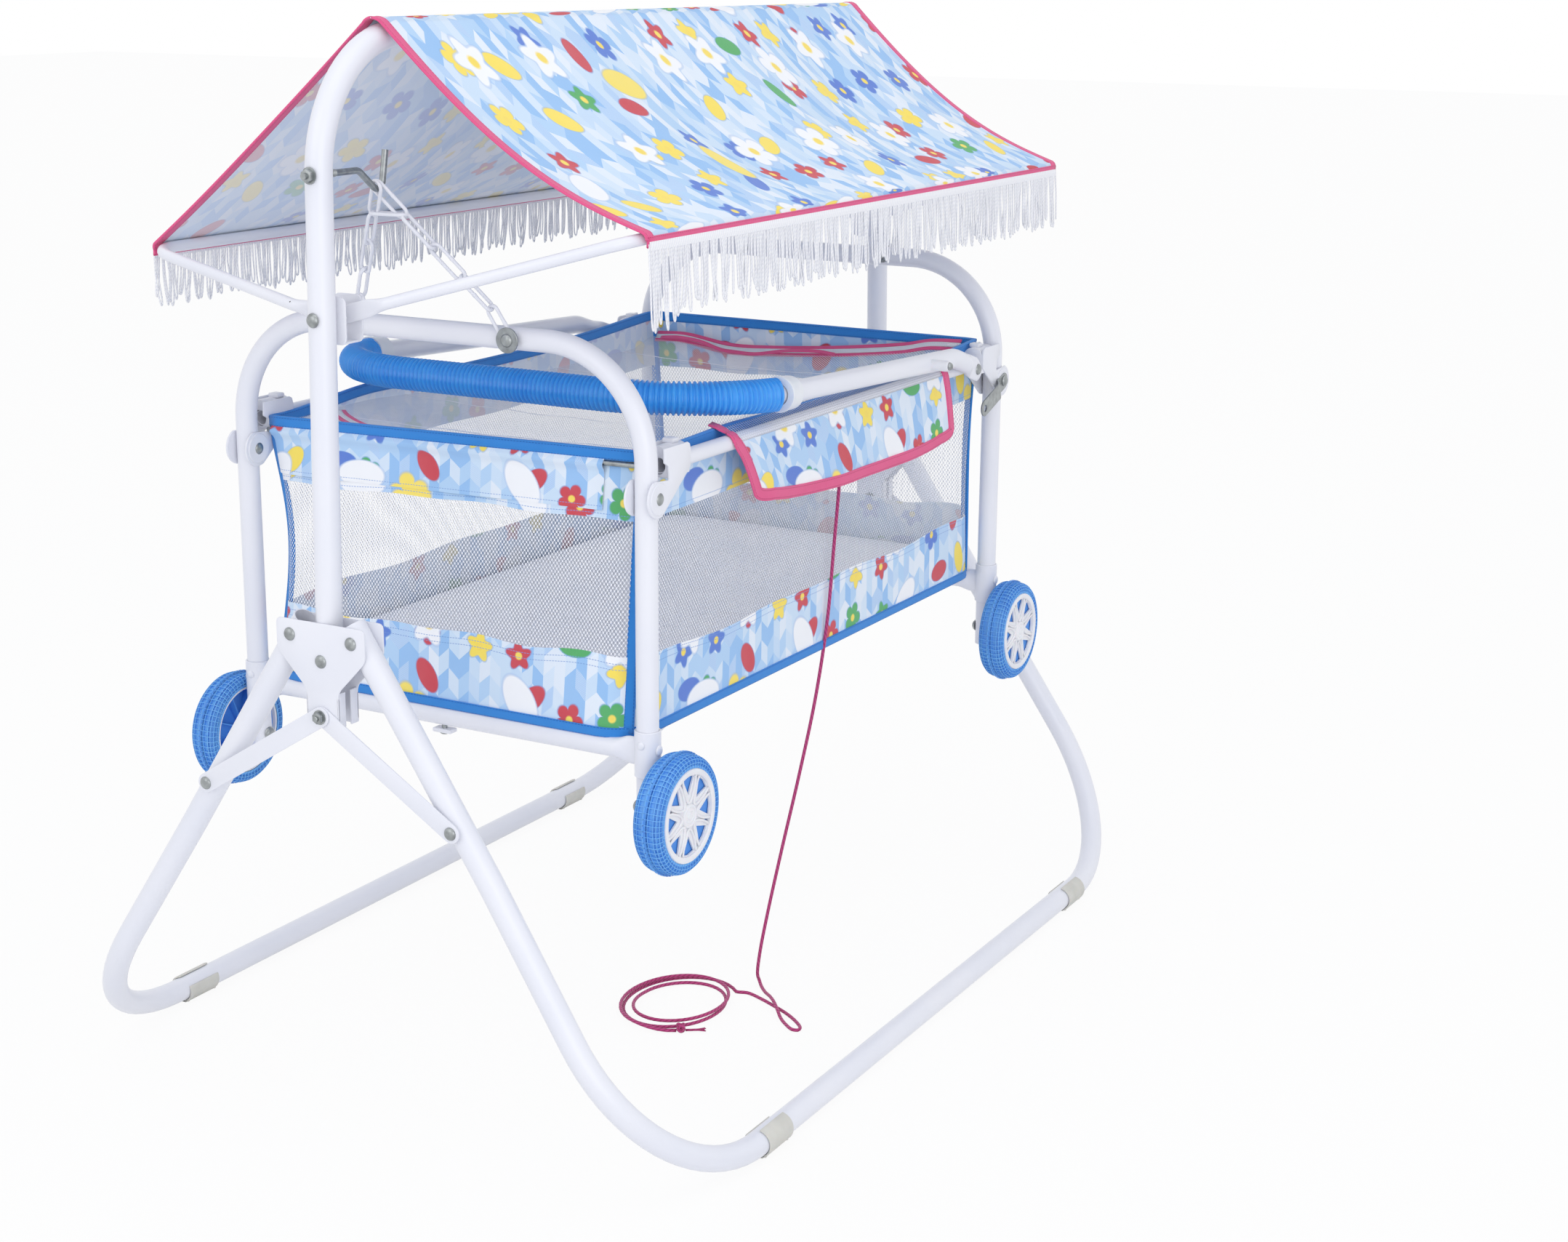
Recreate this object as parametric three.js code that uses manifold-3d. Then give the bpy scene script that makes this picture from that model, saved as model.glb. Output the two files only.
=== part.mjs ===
// Swing cradle with mosquito net, canopy and pull cord. Millimetres, +Z up.
// The origin is on the floor under the middle of the stand. X runs along the cradle with the near end at -X,
// and the right side, where the flap and the pull cord hang, is at -Y.
import * as THREE from 'three';
import { mergeVertices } from 'three/addons/utils/BufferGeometryUtils.js';
import Module from 'manifold-3d';

const wasm = await Module();
wasm.setup();

// Clearances
const seatGap = 0.3;
const boreClearance = 0.3;
const cutOverrun = 2;
const weldOverlap = 0.2;
const simplifyTolerance = 0.04;

// Stand: overhead tube
const standTubeRadius = 12.7;
const standTubeWall = 1.2;
const postHubX = 566;
const postHeadX = 553.5;
const ridgeHeight = 1061;
const ridgeBendRadius = 125;

// Stand: hubs, with drops measured down from the hub's top
const hubTopHeight = 530;
const hubRivetDrop = 15;
const hubSideDrop = 31;
const postRivetDrop = 37;
const postFootDrop = 50;
const hubNeckDrop = 65;
const braceBoltDrop = 90;
const hubFootDrop = 102;
const hubRivetHalfSpacing = 36;
const hubPlateThickness = 2;
const hubHalfWidth = 52;
const hubNeckHalfWidth = 19;
const hubFlangeDepth = 9;
const hubCornerRadius = 6;
const rivetShankRadius = 3;
const rivetHeadRadius = 6.5;
const rivetHeadHeight = 3;

// Stand: leg frames
const legTopOverhang = 16;
const legStraightLength = 260;
const legFootHalfLength = 577;
const legFrameHalfWidth = 369;
const legBendRadius = 173;
const floorBarEndX = 376;
const clipLength = 46;
const clipWall = 2.3;
const clipOpeningAngle = 1.25;
const clipOpeningTilt = 0.5;
const clipClearance = 0.4;

// Stand: braces
const braceBoltRadius = 3;
const braceNutRadius = 5.8;
const braceNutLength = 5;
const braceRivetAlongLeg = 198;
const braceWidth = 19;
const braceThickness = 2;
const braceSpacerRadius = 5;

// Stand: hooks for the chains
const hookRodRadius = 3.15;
const hookHeight = 940;
const hookBendX = 500;
const hookLowX = 467;
const hookLowHeight = 914.5;
const hookTipX = 459;
const hookTipHeight = 956;
const hookBendRadius = 12;
const hookTipBendRadius = 9;
const hookThreadLength = 9;
const hookNutRadius = 6.4;
const hookNutLength = 5.5;

// Canopy: brackets and wing tubes
const wingBoltHeight = 811;
const wingBoltRadius = 3;
const wingBracketDepth = 26;
const wingBracketHalfWidth = 16;
const wingBracketTop = 830;
const wingBracketFoot = 786;
const wingBracketPlate = 2;
const wingTubeRadius = 5.6;
const wingTubeWall = 0.9;
const wingReach = 288;
const wingAngleLeft = 7.3;
const wingAngleRight = 15.8;
const wingEaveHalfLength = 468;
const wingCornerRadius = 42;
const wingTabThickness = 3.4;
const wingTabWidening = 1.3;
const wingTabLength = 26;
const wingTabOverhang = 9;

// Canopy: cloth and fringe
const clothThickness = 1.6;
const canopyRidgeHalfLength = 474;
const canopyEaveHalfLength = 458;
const canopySag = 26;
const canopyFoldDepth = 5;
const canopyFoldCount = 3;
const canopyRidgeAngle = 0.85;
const canopyEaveAngle = 0.42;
const canopyColumns = 12;
const canopyRows = 8;
const fringeLength = 56;
const fringeDepth = 1.6;
const fringeWave = 1.8;
const fringeWaveCount = 12;

// Cradle: arches, just outside the basket's ends
const archOutsideBasket = 19.5;
const archTubeRadius = 11.1;
const archTubeWall = 1.1;
const archHalfWidth = 241;
const archTopHeight = 779.5;
const archFootDrop = 21;
const archShoulderRadius = 108;
const chainBoltY = 97;
const chainBoltRadius = 3;
const chainWasherRadius = 12.3;
const chainWasherThickness = 2;
const axleRadius = 4;
const axleNutRadius = 6.5;
const axleNutLength = 6;

// Cradle: rails and their brackets, with drops measured down from the arches' tops
const bracketTopDrop = 92.5;
const bandRodDrop = 101.5;
const railDrop = 111.5;
const bracketFootDrop = 122.5;
const hingeRivetDrop = 138.5;
const railRadius = 8;
const railWall = 1;
const railEndGap = 24;
const bracketBlockGap = 20;
const bracketBlockLength = 38;
const bracketEarThickness = 2.5;
const bracketBossRadius = 18.5;
const bracketCornerCut = 3;
const bandRodRadius = 2.6;
const bandRodOutsideBasket = 3.5;

// Cradle: end bars
const endBarRadius = 10;
const endBarWall = 1;
const endBarHeight = 391;
const endBarSleeveHeight = 46;
const endBarSleeveWall = 1.6;
const endBarCrimpLength = 20;
const endBarCrimpThinning = 0.42;
const endBarCrimpWidening = 1.4;
const endBarTabLength = 22;
const endBarTabWidth = 12;
const endBarTabThickness = 4;
const endBarTabDrop = 3.5;
const endBarDrainRadius = 1.6;
const axleUnderEndBar = 56;

// Wheels
const wheelRadius = 59;
const wheelWidth = 32;
const wheelGap = 4.8;
const tyreInnerRadius = 46.8;
const tyreShoulder = 7;
const treadNotchCount = 8;
const treadNotchDepth = 2.4;
const rimBarrelWall = 2.4;
const rimWebThickness = 4;
const rimHubRadius = 11;
const rimRecessRadius = 8.6;
const rimRecessDepth = 6;
const rimSegments = 12;
const rimSetBack = 2;
const wheelEdgeSetBack = 1;
const petalWidthShare = 1.5;
const petalCount = 8;
const petalInnerRadius = 15;
const petalOuterRadius = 40.5;

// Carrying handle and grip
const handleTubeRadius = 11.1;
const handleTubeWall = 1.1;
const handlePivotFromArch = 72.5;
const handlePivotUnderRail = 3.5;
const handlePivotRadius = 2.5;
const handleArmY = 257;
const handleKneeFromPivot = 74.5;
const handleKneeLift = 18.5;
const handleCrossX = 280;
const handleCrossLift = 56.5;
const handleCornerRadius = 92;
const handleSideGap = 1.2;
const handleFlatThickness = 5;
const handleFlatWidening = 1.2;
const handleTipNarrowing = 0.5;
const handleFlatLength = 28;
const handleOverhang = 11.5;
const gripStartX = 118;
const gripRadius = 17.2;
const gripGrooveDepth = 1.7;
const gripBoreRadius = 12.2;
const gripRibCount = 32;
const gripSides = 8;
const collarLength = 26;
const collarRadius = 18.2;
const knobRadius = 6.2;
const knobLength = 20;
const knobX = 169;
const knobScrewRadius = 4.6;
const knobScrewLength = 5;

// Lock link
const lockLinkThickness = 2;
const lockLinkWidth = 19;
const lockLinkLength = 70;
const lockLinkJoggle = 6;
const lockLinkDroopAngle = 19;
const lockHoleRadius = 4;

// Chains
const chainWireRadius = 1.55;
const chainInnerWidth = 7.4;
const chainLinksPerSide = 5;
const chainWeldOverlap = 0.5;
const chainSaddleGap = 1.15;

// Basket, mattress, net and flap
const basketTopHalfLength = 372.5;
const basketFootSpread = 23.5;
const basketHalfWidth = 226;
const basketTopDrop = 93.5;
const basketWall = 2.5;
const basketTopCorner = 5;
const basketFootCorner = 42;
const rimSag = 9;
const mattressThickness = 38;
const mattressCrown = 9;
const mattressInset = 9;
const netThickness = 1.4;
const netInset = 0.9;
const netUnderRim = 7;
const netSag = 11;
const netFarDrop = 28;
const netColumns = 3;
const netRows = 4;
const netStrand = 12;
const flapThickness = 1.4;
const flapTopNearX = -245;
const flapTopFarX = 172;
const flapFootNearX = -176;
const flapFootFarX = 292;
const flapDrop = 83;
const flapFoldDepth = 3;
const flapFoldCount = 3;
const flapRailShare = 0.32;
const flapCornerShare = 0.18;
const flapSpreadPower = 0.7;
const flapCornerPower = 6;

// Pull cord
const cordRadius = 1.9;
const coilX = -126;
const coilY = -113;
const coilHalfLength = 70;
const coilHalfWidth = 56;
const coilTurns = 2.71;
const coilStartAngle = -0.7;
const coilOuterShare = 1.12;
const coilInnerShare = 0.8;
const coilLayerGap = 0.9;
const coilStepsPerTurn = 17;
const knotRadius = 5.2;
const knotLength = 10;
const tailLength = 26;
const tailFlare = 3;

const roundSides = 8;
const boreSides = 6;
const slimBoreSides = 5;
const rodSides = 6;
const cordSides = 6;
const bendSteps = 3;

// Places that several pieces share
const hubRivetHeight = hubTopHeight - hubRivetDrop;
const hubSideHeight = hubTopHeight - hubSideDrop;
const postRivetHeight = hubTopHeight - postRivetDrop;
const postFootHeight = hubTopHeight - postFootDrop;
const hubNeckHeight = hubTopHeight - hubNeckDrop;
const braceBoltHeight = hubTopHeight - braceBoltDrop;
const hubFootHeight = hubTopHeight - hubFootDrop;
const archX = basketTopHalfLength + archOutsideBasket;
const bandRodX = basketTopHalfLength + bandRodOutsideBasket;
const basketFootHalfLength = basketTopHalfLength + basketFootSpread;
const railHalfLength = archX - railEndGap;
const bracketBlockNearX = archX - bracketBlockGap;
const bracketBlockFarX = bracketBlockNearX - bracketBlockLength;
const bracketBlockTop = archTopHeight - bracketTopDrop;
const bracketBlockFoot = archTopHeight - bracketFootDrop;
const basketTop = archTopHeight - basketTopDrop;
const bandRodHeight = archTopHeight - bandRodDrop;
const railHeight = archTopHeight - railDrop;
const hingeRivetHeight = archTopHeight - hingeRivetDrop;
const axleHeight = endBarHeight - axleUnderEndBar;
const archFootHeight = axleHeight - archFootDrop;
const handlePivotX = archX - handlePivotFromArch;
const handlePivotHeight = railHeight - handlePivotUnderRail;
const handleKneeX = handlePivotX - handleKneeFromPivot;
const handleKneeHeight = handlePivotHeight + handleKneeLift;
const handleCrossHeight = handlePivotHeight + handleCrossLift;
const netTop = basketTop - netUnderRim;
const flapFoot = railHeight - flapDrop;
const floorBarHeight = standTubeRadius + clipWall;
const legSlope = Math.atan2(legFrameHalfWidth - hubRivetHalfSpacing, hubRivetHeight - floorBarHeight);
const legLength = Math.hypot(legFrameHalfWidth - hubRivetHalfSpacing, hubRivetHeight - floorBarHeight);
const plateInnerGap = standTubeRadius + seatGap;
const hubOuterFace = plateInnerGap + hubPlateThickness;
const legSurface = archHalfWidth + archTubeRadius;
const earInnerFace = legSurface + seatGap;
const earOuterFace = earInnerFace + bracketEarThickness;
const earInsideOuterFace = archHalfWidth - archTubeRadius - seatGap;
const earInsideFace = earInsideOuterFace - bracketEarThickness;
const wheelInnerY = legSurface + wheelGap + seatGap;
const wheelOuterY = wheelInnerY + wheelWidth;
const basketFoot = endBarHeight + endBarRadius + seatGap;
const degree = Math.PI / 180;

function material(color, roughness, metalness) {
  return new THREE.MeshStandardMaterial({ color, roughness, metalness });
}

const whitePaint = material(0xeceef5, 0.35, 0.0);
const whitePlastic = material(0xf2f2f4, 0.45, 0.0);
const clipPlastic = material(0xd6d5cd, 0.55, 0.0);
const zinc = material(0xaab0b2, 0.35, 0.9);
const gripBlue = material(0x2d87e1, 0.45, 0.0);
const tyreBlue = material(0x5fa0e6, 0.6, 0.0);
const printCloth = material(0x9fc6f0, 0.85, 0.0);
const whiteCord = material(0xf4f4f6, 0.9, 0.0);
const whiteNet = material(0xf4f5f8, 0.85, 0.0);
const mattressCloth = material(0xe1e4f0, 0.9, 0.0);
const pinkCord = material(0xb93c7d, 0.85, 0.0);

// Solids: joining and cutting

function solidOf(geometry) {
  const bare = geometry.index ? geometry.toNonIndexed() : geometry.clone();
  for (const name of Object.keys(bare.attributes)) {
    if (name !== 'position') bare.deleteAttribute(name);
  }
  const merged = mergeVertices(bare, 1e-4);
  const corners = merged.index.array;
  const kept = [];
  for (let i = 0; i < corners.length; i += 3) {
    const [a, b, c] = [corners[i], corners[i + 1], corners[i + 2]];
    if (a !== b && b !== c && c !== a) kept.push(a, b, c);
  }
  return new wasm.Manifold(new wasm.Mesh({
    numProp: 3,
    vertProperties: merged.attributes.position.array,
    triVerts: new Uint32Array(kept),
  }));
}

function geometryOf(solid) {
  const mesh = solid.asOriginal().simplify(simplifyTolerance).getMesh();
  const geometry = new THREE.BufferGeometry();
  geometry.setAttribute('position', new THREE.BufferAttribute(new Float32Array(mesh.vertProperties), 3));
  geometry.setIndex(new THREE.BufferAttribute(new Uint32Array(mesh.triVerts), 1));
  return geometry;
}

function joined(...geometries) {
  return geometryOf(geometries.map(solidOf).reduce((whole, next) => whole.add(next)));
}

function cut(geometry, ...tools) {
  return geometryOf(tools.map(solidOf).reduce((whole, tool) => whole.subtract(tool), solidOf(geometry)));
}

// Routes: a list of stations, each a place and the way the tube runs there

class StationCurve extends THREE.Curve {
  constructor(stations, side) {
    super();
    this.stations = stations;
    this.side = new THREE.Vector3(...side);
  }

  getSpacedPoints() {
    return this.stations.map((station) => station.at.clone());
  }

  computeFrenetFrames() {
    const tangents = this.stations.map((station) => station.along);
    const normals = [];
    let side = this.side;
    for (const along of tangents) {
      side = side.clone().addScaledVector(along, -side.dot(along)).normalize();
      normals.push(side);
    }
    const binormals = tangents.map((along, i) => along.clone().cross(normals[i]));
    return { tangents, normals, binormals };
  }
}

function route(corners, radii, steps = bendSteps) {
  const points = corners.map((corner) => new THREE.Vector3(...corner));
  const ways = points.slice(1).map((point, i) => point.clone().sub(points[i]).normalize());
  const stations = [{ at: points[0], along: ways[0] }];
  for (let i = 1; i < points.length - 1; i++) {
    const [before, after] = [ways[i - 1], ways[i]];
    const turn = before.angleTo(after);
    const radius = radii[i - 1];
    if (radius === 0) {
      stations.push({ at: points[i], along: before.clone().add(after).normalize() });
      continue;
    }
    const start = points[i].clone().addScaledVector(before, -radius * Math.tan(turn / 2));
    const inward = after.clone().sub(before).normalize();
    const centre = points[i].clone().addScaledVector(inward, radius / Math.cos(turn / 2));
    const axis = before.clone().cross(after).normalize();
    for (let k = 0; k <= steps; k++) {
      const angle = turn * k / steps;
      const at = start.clone().sub(centre).applyAxisAngle(axis, angle).add(centre);
      stations.push({ at, along: before.clone().applyAxisAngle(axis, angle) });
    }
  }
  stations.push({ at: points.at(-1), along: ways.at(-1) });
  return stations;
}

function roundShape(radius, sides, boreRadius = 0, holeSides = boreSides) {
  const ring = (r, count) => Array.from({ length: count }, (_, k) => {
    const angle = 2 * Math.PI * k / count;
    return new THREE.Vector2(r * Math.cos(angle), r * Math.sin(angle));
  });
  const shape = new THREE.Shape(ring(radius, sides));
  if (boreRadius > 0) shape.holes.push(new THREE.Path(ring(boreRadius, holeSides)));
  return shape;
}

function sweep(stations, shape, side) {
  const extrudePath = new StationCurve(stations, side);
  return new THREE.ExtrudeGeometry(shape, { extrudePath, steps: stations.length - 1 });
}

function tube(stations, radius, wall, side) {
  return sweep(stations, roundShape(radius, roundSides, radius - wall), side);
}

// How much of its flat form a tube's end has at this depth from the end
function endShare(depth, length) {
  return 1 - THREE.MathUtils.smoothstep(depth, length, 2 * length);
}

// Moves each point by its share towards the place that it has on the flattened end
function flatten(geometry, shareAt, flatPlace) {
  const position = geometry.attributes.position;
  const point = new THREE.Vector3();
  for (let i = 0; i < position.count; i++) {
    point.fromBufferAttribute(position, i);
    point.lerp(flatPlace(point), shareAt(point));
    position.setXYZ(i, point.x, point.y, point.z);
  }
  return geometry;
}

// Simple forms

function bar(from, to, radius, sides = roundSides) {
  const start = new THREE.Vector3(...from);
  const end = new THREE.Vector3(...to);
  const geometry = new THREE.CylinderGeometry(radius, radius, start.distanceTo(end), sides);
  const turn = new THREE.Quaternion().setFromUnitVectors(
    new THREE.Vector3(0, 1, 0), end.clone().sub(start).normalize());
  geometry.applyQuaternion(turn);
  const middle = start.clone().add(end).multiplyScalar(0.5);
  return geometry.translate(middle.x, middle.y, middle.z);
}

// A cutting bar that leaves the named clearance round a pin of this radius, corners and all
function hole(from, to, radius, sides = rodSides) {
  return bar(from, to, (radius + boreClearance) / Math.cos(Math.PI / sides), sides);
}

function rivetHead(at, way, radius, height) {
  const domeShares = [[1, 0], [0.8, 0.62], [0, 1]];
  const profile = [new THREE.Vector2(0, 0)];
  for (const [across, up] of domeShares) profile.push(new THREE.Vector2(across * radius, up * height));
  const geometry = new THREE.LatheGeometry(profile, rodSides);
  const turn = new THREE.Quaternion().setFromUnitVectors(
    new THREE.Vector3(0, 1, 0), new THREE.Vector3(...way).normalize());
  geometry.applyQuaternion(turn);
  return geometry.translate(...at);
}

function box(minimum, maximum) {
  const size = maximum.map((value, i) => value - minimum[i]);
  const geometry = new THREE.BoxGeometry(...size);
  return geometry.translate(...maximum.map((value, i) => (value + minimum[i]) / 2));
}

// A flat plate drawn in the YZ plane, filling the given span of X
function plateAcrossX(outline, fromX, toX) {
  const shape = new THREE.Shape(outline.map(([y, z]) => new THREE.Vector2(y, z)));
  const geometry = new THREE.ExtrudeGeometry(shape, { depth: toX - fromX, bevelEnabled: false });
  const turn = new THREE.Matrix4().makeBasis(
    new THREE.Vector3(0, 1, 0), new THREE.Vector3(0, 0, 1), new THREE.Vector3(1, 0, 0));
  return geometry.applyMatrix4(turn).translate(fromX, 0, 0);
}

// A flat plate drawn in the XZ plane, filling the given span of Y
function plateAcrossY(outline, fromY, toY) {
  const shape = new THREE.Shape(outline.map(([x, z]) => new THREE.Vector2(x, z)));
  const geometry = new THREE.ExtrudeGeometry(shape, { depth: toY - fromY, bevelEnabled: false });
  return geometry.rotateX(Math.PI / 2).translate(0, toY, 0);
}

function roundedOutline(corners, radius, steps = 2) {
  const points = corners.map(([x, y]) => new THREE.Vector2(x, y));
  const outline = [];
  points.forEach((corner, i) => {
    const before = points.at(i - 1).clone().sub(corner).normalize();
    const after = points[(i + 1) % points.length].clone().sub(corner).normalize();
    const start = corner.clone().addScaledVector(before, radius);
    const end = corner.clone().addScaledVector(after, radius);
    const curve = new THREE.QuadraticBezierCurve(start, corner, end);
    for (const point of curve.getPoints(steps)) outline.push([point.x, point.y]);
  });
  return outline;
}

// A strip with round ends between two points of the YZ plane
function stripOutline(from, to, width, steps = 4) {
  const start = new THREE.Vector2(...from);
  const end = new THREE.Vector2(...to);
  const heading = Math.atan2(end.y - start.y, end.x - start.x);
  const outline = [];
  for (const [centre, base] of [[end, heading - Math.PI / 2], [start, heading + Math.PI / 2]]) {
    for (let k = 0; k <= steps; k++) {
      const angle = base + Math.PI * k / steps;
      outline.push([centre.x + width / 2 * Math.cos(angle), centre.y + width / 2 * Math.sin(angle)]);
    }
  }
  return outline;
}

// Rings of equal counts, joined in order and closed at both ends by fans
function loft(rings) {
  const count = rings[0].length;
  const vertices = rings.flat();
  const middle = (ring) => ring.reduce((sum, p) => sum.add(p), new THREE.Vector3()).divideScalar(count);
  vertices.push(middle(rings[0]), middle(rings.at(-1)));
  const index = [];
  for (let r = 0; r < rings.length - 1; r++) {
    for (let k = 0; k < count; k++) {
      const a = r * count + k;
      const b = r * count + (k + 1) % count;
      index.push(a, b, b + count, a, b + count, a + count);
    }
  }
  const lastRing = (rings.length - 1) * count;
  for (let k = 0; k < count; k++) {
    const next = (k + 1) % count;
    index.push(vertices.length - 2, next, k);
    index.push(vertices.length - 1, lastRing + k, lastRing + next);
  }
  return indexed(vertices, index);
}

function indexed(vertices, index) {
  const geometry = new THREE.BufferGeometry().setFromPoints(vertices);
  geometry.setIndex(index);
  return geometry;
}

// A ring round a station, in the plane square to the route
function ringAt(at, along, side, radius, sides) {
  const across = side.clone().addScaledVector(along, -side.dot(along)).normalize();
  const up = along.clone().cross(across);
  return Array.from({ length: sides }, (_, k) => {
    const angle = 2 * Math.PI * k / sides;
    const [out, over] = [radius * Math.cos(angle), radius * Math.sin(angle)];
    return at.clone().addScaledVector(across, out).addScaledVector(up, over);
  });
}

function roundedRectangle(halfX, halfY, corner, z, steps = 3) {
  const ring = [];
  const middles = [[1, 1, 0], [-1, 1, 1], [-1, -1, 2], [1, -1, 3]];
  for (const [signX, signY, quarter] of middles) {
    for (let k = 0; k <= steps; k++) {
      const angle = Math.PI / 2 * (quarter + k / steps);
      const x = signX * (halfX - corner) + corner * Math.cos(angle);
      const y = signY * (halfY - corner) + corner * Math.sin(angle);
      ring.push(new THREE.Vector3(x, y, z));
    }
  }
  return ring;
}

// A sheet of even thickness over a surface of two shares; its second face lies behind the first
function sheet(surface, columns, rows, thickness) {
  const step = 1e-3;
  const normalAt = (u, v) => {
    const alongU = surface(u + step, v).sub(surface(u - step, v));
    const alongV = surface(u, v + step).sub(surface(u, v - step));
    return alongU.cross(alongV).normalize();
  };
  const vertices = [];
  for (const depth of [0, thickness]) {
    for (let i = 0; i <= columns; i++) {
      for (let j = 0; j <= rows; j++) {
        const [u, v] = [i / columns, j / rows];
        vertices.push(surface(u, v).addScaledVector(normalAt(u, v), -depth));
      }
    }
  }
  const width = rows + 1;
  const back = (columns + 1) * width;
  const index = [];
  const quad = (a, b, c, d) => index.push(a, b, c, a, c, d);
  for (let i = 0; i < columns; i++) {
    for (let j = 0; j < rows; j++) {
      const a = i * width + j;
      quad(a, a + width, a + width + 1, a + 1);
      quad(back + a, back + a + 1, back + a + width + 1, back + a + width);
    }
    const [low, high] = [i * width, i * width + rows];
    quad(low, back + low, back + low + width, low + width);
    quad(high, high + width, back + high + width, back + high);
  }
  for (let j = 0; j < rows; j++) {
    const [near, far] = [j, columns * width + j];
    quad(near, near + 1, back + near + 1, back + near);
    quad(far, back + far, back + far + 1, far + 1);
  }
  return indexed(vertices, index);
}

// The group and its pieces. Pieces of the far end are the near end's, turned half round the Z axis.
const cradle = new THREE.Group();
const nearEnd = new THREE.Group();
const farEnd = new THREE.Group();
farEnd.rotation.z = Math.PI;
cradle.add(nearEnd, farEnd);

function piece(parent, name, geometry, finish) {
  const mesh = new THREE.Mesh(geometry, finish);
  mesh.name = name;
  parent.add(mesh);
  return mesh;
}

function twoEnds(name, geometry, finish) {
  piece(nearEnd, `${name}_near`, geometry, finish);
  piece(farEnd, `${name}_far`, geometry, finish);
}

// The post leans in above its upright foot: its axis at a height, at the near end
function postX(height) {
  const share = (height - hubTopHeight) / (ridgeHeight - hubTopHeight);
  return -THREE.MathUtils.lerp(postHubX, postHeadX, Math.max(share, 0));
}

function overheadTube() {
  const corners = [
    [-postHubX, 0, postFootHeight], [-postHubX, 0, hubTopHeight], [-postHeadX, 0, ridgeHeight],
    [postHeadX, 0, ridgeHeight], [postHubX, 0, hubTopHeight], [postHubX, 0, postFootHeight],
  ];
  const radii = [0, ridgeBendRadius, ridgeBendRadius, 0];
  const bent = tube(route(corners, radii, 4), standTubeRadius, standTubeWall, [0, 1, 0]);
  const holes = [];
  for (const sign of [-1, 1]) {
    for (const [height, radius] of [
      [postRivetHeight, rivetShankRadius], [hookHeight, hookRodRadius], [wingBoltHeight, wingBoltRadius],
    ]) {
      const x = -sign * postX(height);
      const reach = standTubeRadius + cutOverrun;
      holes.push(hole([x - reach, 0, height], [x + reach, 0, height], radius));
    }
  }
  return cut(bent, ...holes);
}

// Hubs: two plates with folded necks. The outer one carries the three rivets and the brace bolt.

function hubOutline() {
  return roundedOutline([
    [-hubHalfWidth, hubTopHeight], [-hubHalfWidth, hubSideHeight], [-hubNeckHalfWidth, hubNeckHeight],
    [-hubNeckHalfWidth, hubFootHeight], [hubNeckHalfWidth, hubFootHeight], [hubNeckHalfWidth, hubNeckHeight],
    [hubHalfWidth, hubSideHeight], [hubHalfWidth, hubTopHeight],
  ], hubCornerRadius, 1);
}

// One hub plate; way is -1 for the outer plate and 1 for the inner one
function hubPlate(way) {
  const face = -postHubX + way * plateInnerGap;
  const back = face + way * hubPlateThickness;
  const flangeEdge = face - way * hubFlangeDepth;
  const plate = plateAcrossX(hubOutline(), Math.min(face, back), Math.max(face, back));
  const flanges = [-1, 1].map((side) => {
    const outside = side * hubNeckHalfWidth;
    const inside = side * (hubNeckHalfWidth - hubPlateThickness);
    return box(
      [Math.min(flangeEdge, back), Math.min(outside, inside), hubFootHeight + hubCornerRadius],
      [Math.max(flangeEdge, back), Math.max(outside, inside), hubNeckHeight - hubCornerRadius]);
  });
  return joined(plate, ...flanges);
}

const hubRivetPlaces = [
  [-hubRivetHalfSpacing, hubRivetHeight], [hubRivetHalfSpacing, hubRivetHeight], [0, postRivetHeight],
];

function hubOuter() {
  const outside = -postHubX - hubOuterFace;
  const inside = -postHubX + hubOuterFace + seatGap;
  const pieces = [hubPlate(-1)];
  for (const [y, z] of hubRivetPlaces) {
    pieces.push(bar([outside, y, z], [inside + weldOverlap, y, z], rivetShankRadius, rodSides));
    pieces.push(rivetHead([outside + weldOverlap, y, z], [-1, 0, 0], rivetHeadRadius, rivetHeadHeight));
    pieces.push(rivetHead([inside, y, z], [1, 0, 0], rivetHeadRadius, rivetHeadHeight));
  }
  const stack = 2 * braceThickness + 3 * seatGap;
  const nutStart = outside - stack;
  const nutEnd = nutStart - braceNutLength;
  const boltEnd = nutEnd - braceNutLength;
  const z = braceBoltHeight;
  pieces.push(bar([boltEnd, 0, z], [inside + weldOverlap, 0, z], braceBoltRadius, rodSides));
  pieces.push(bar([nutEnd, 0, z], [nutStart, 0, z], braceNutRadius, 6));
  pieces.push(bar([inside, 0, z], [inside + braceNutLength, 0, z], braceNutRadius, 6));
  return joined(...pieces);
}

function hubInner() {
  const [from, to] = [-postHubX, -postHubX + hubOuterFace + cutOverrun];
  const holes = hubRivetPlaces.map(([y, z]) => (
    hole([from, y, z], [to, y, z], rivetShankRadius)));
  holes.push(hole([from, 0, braceBoltHeight], [to, 0, braceBoltHeight], braceBoltRadius));
  return cut(hubPlate(1), ...holes);
}

// Leg frames: each lies in a sloping plane through its hub rivets, s counting down the slope from them

function inLegFrame(x, s, side) {
  const y = side * (hubRivetHalfSpacing + s * Math.sin(legSlope));
  return [x, y, hubRivetHeight - s * Math.cos(legSlope)];
}

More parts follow.
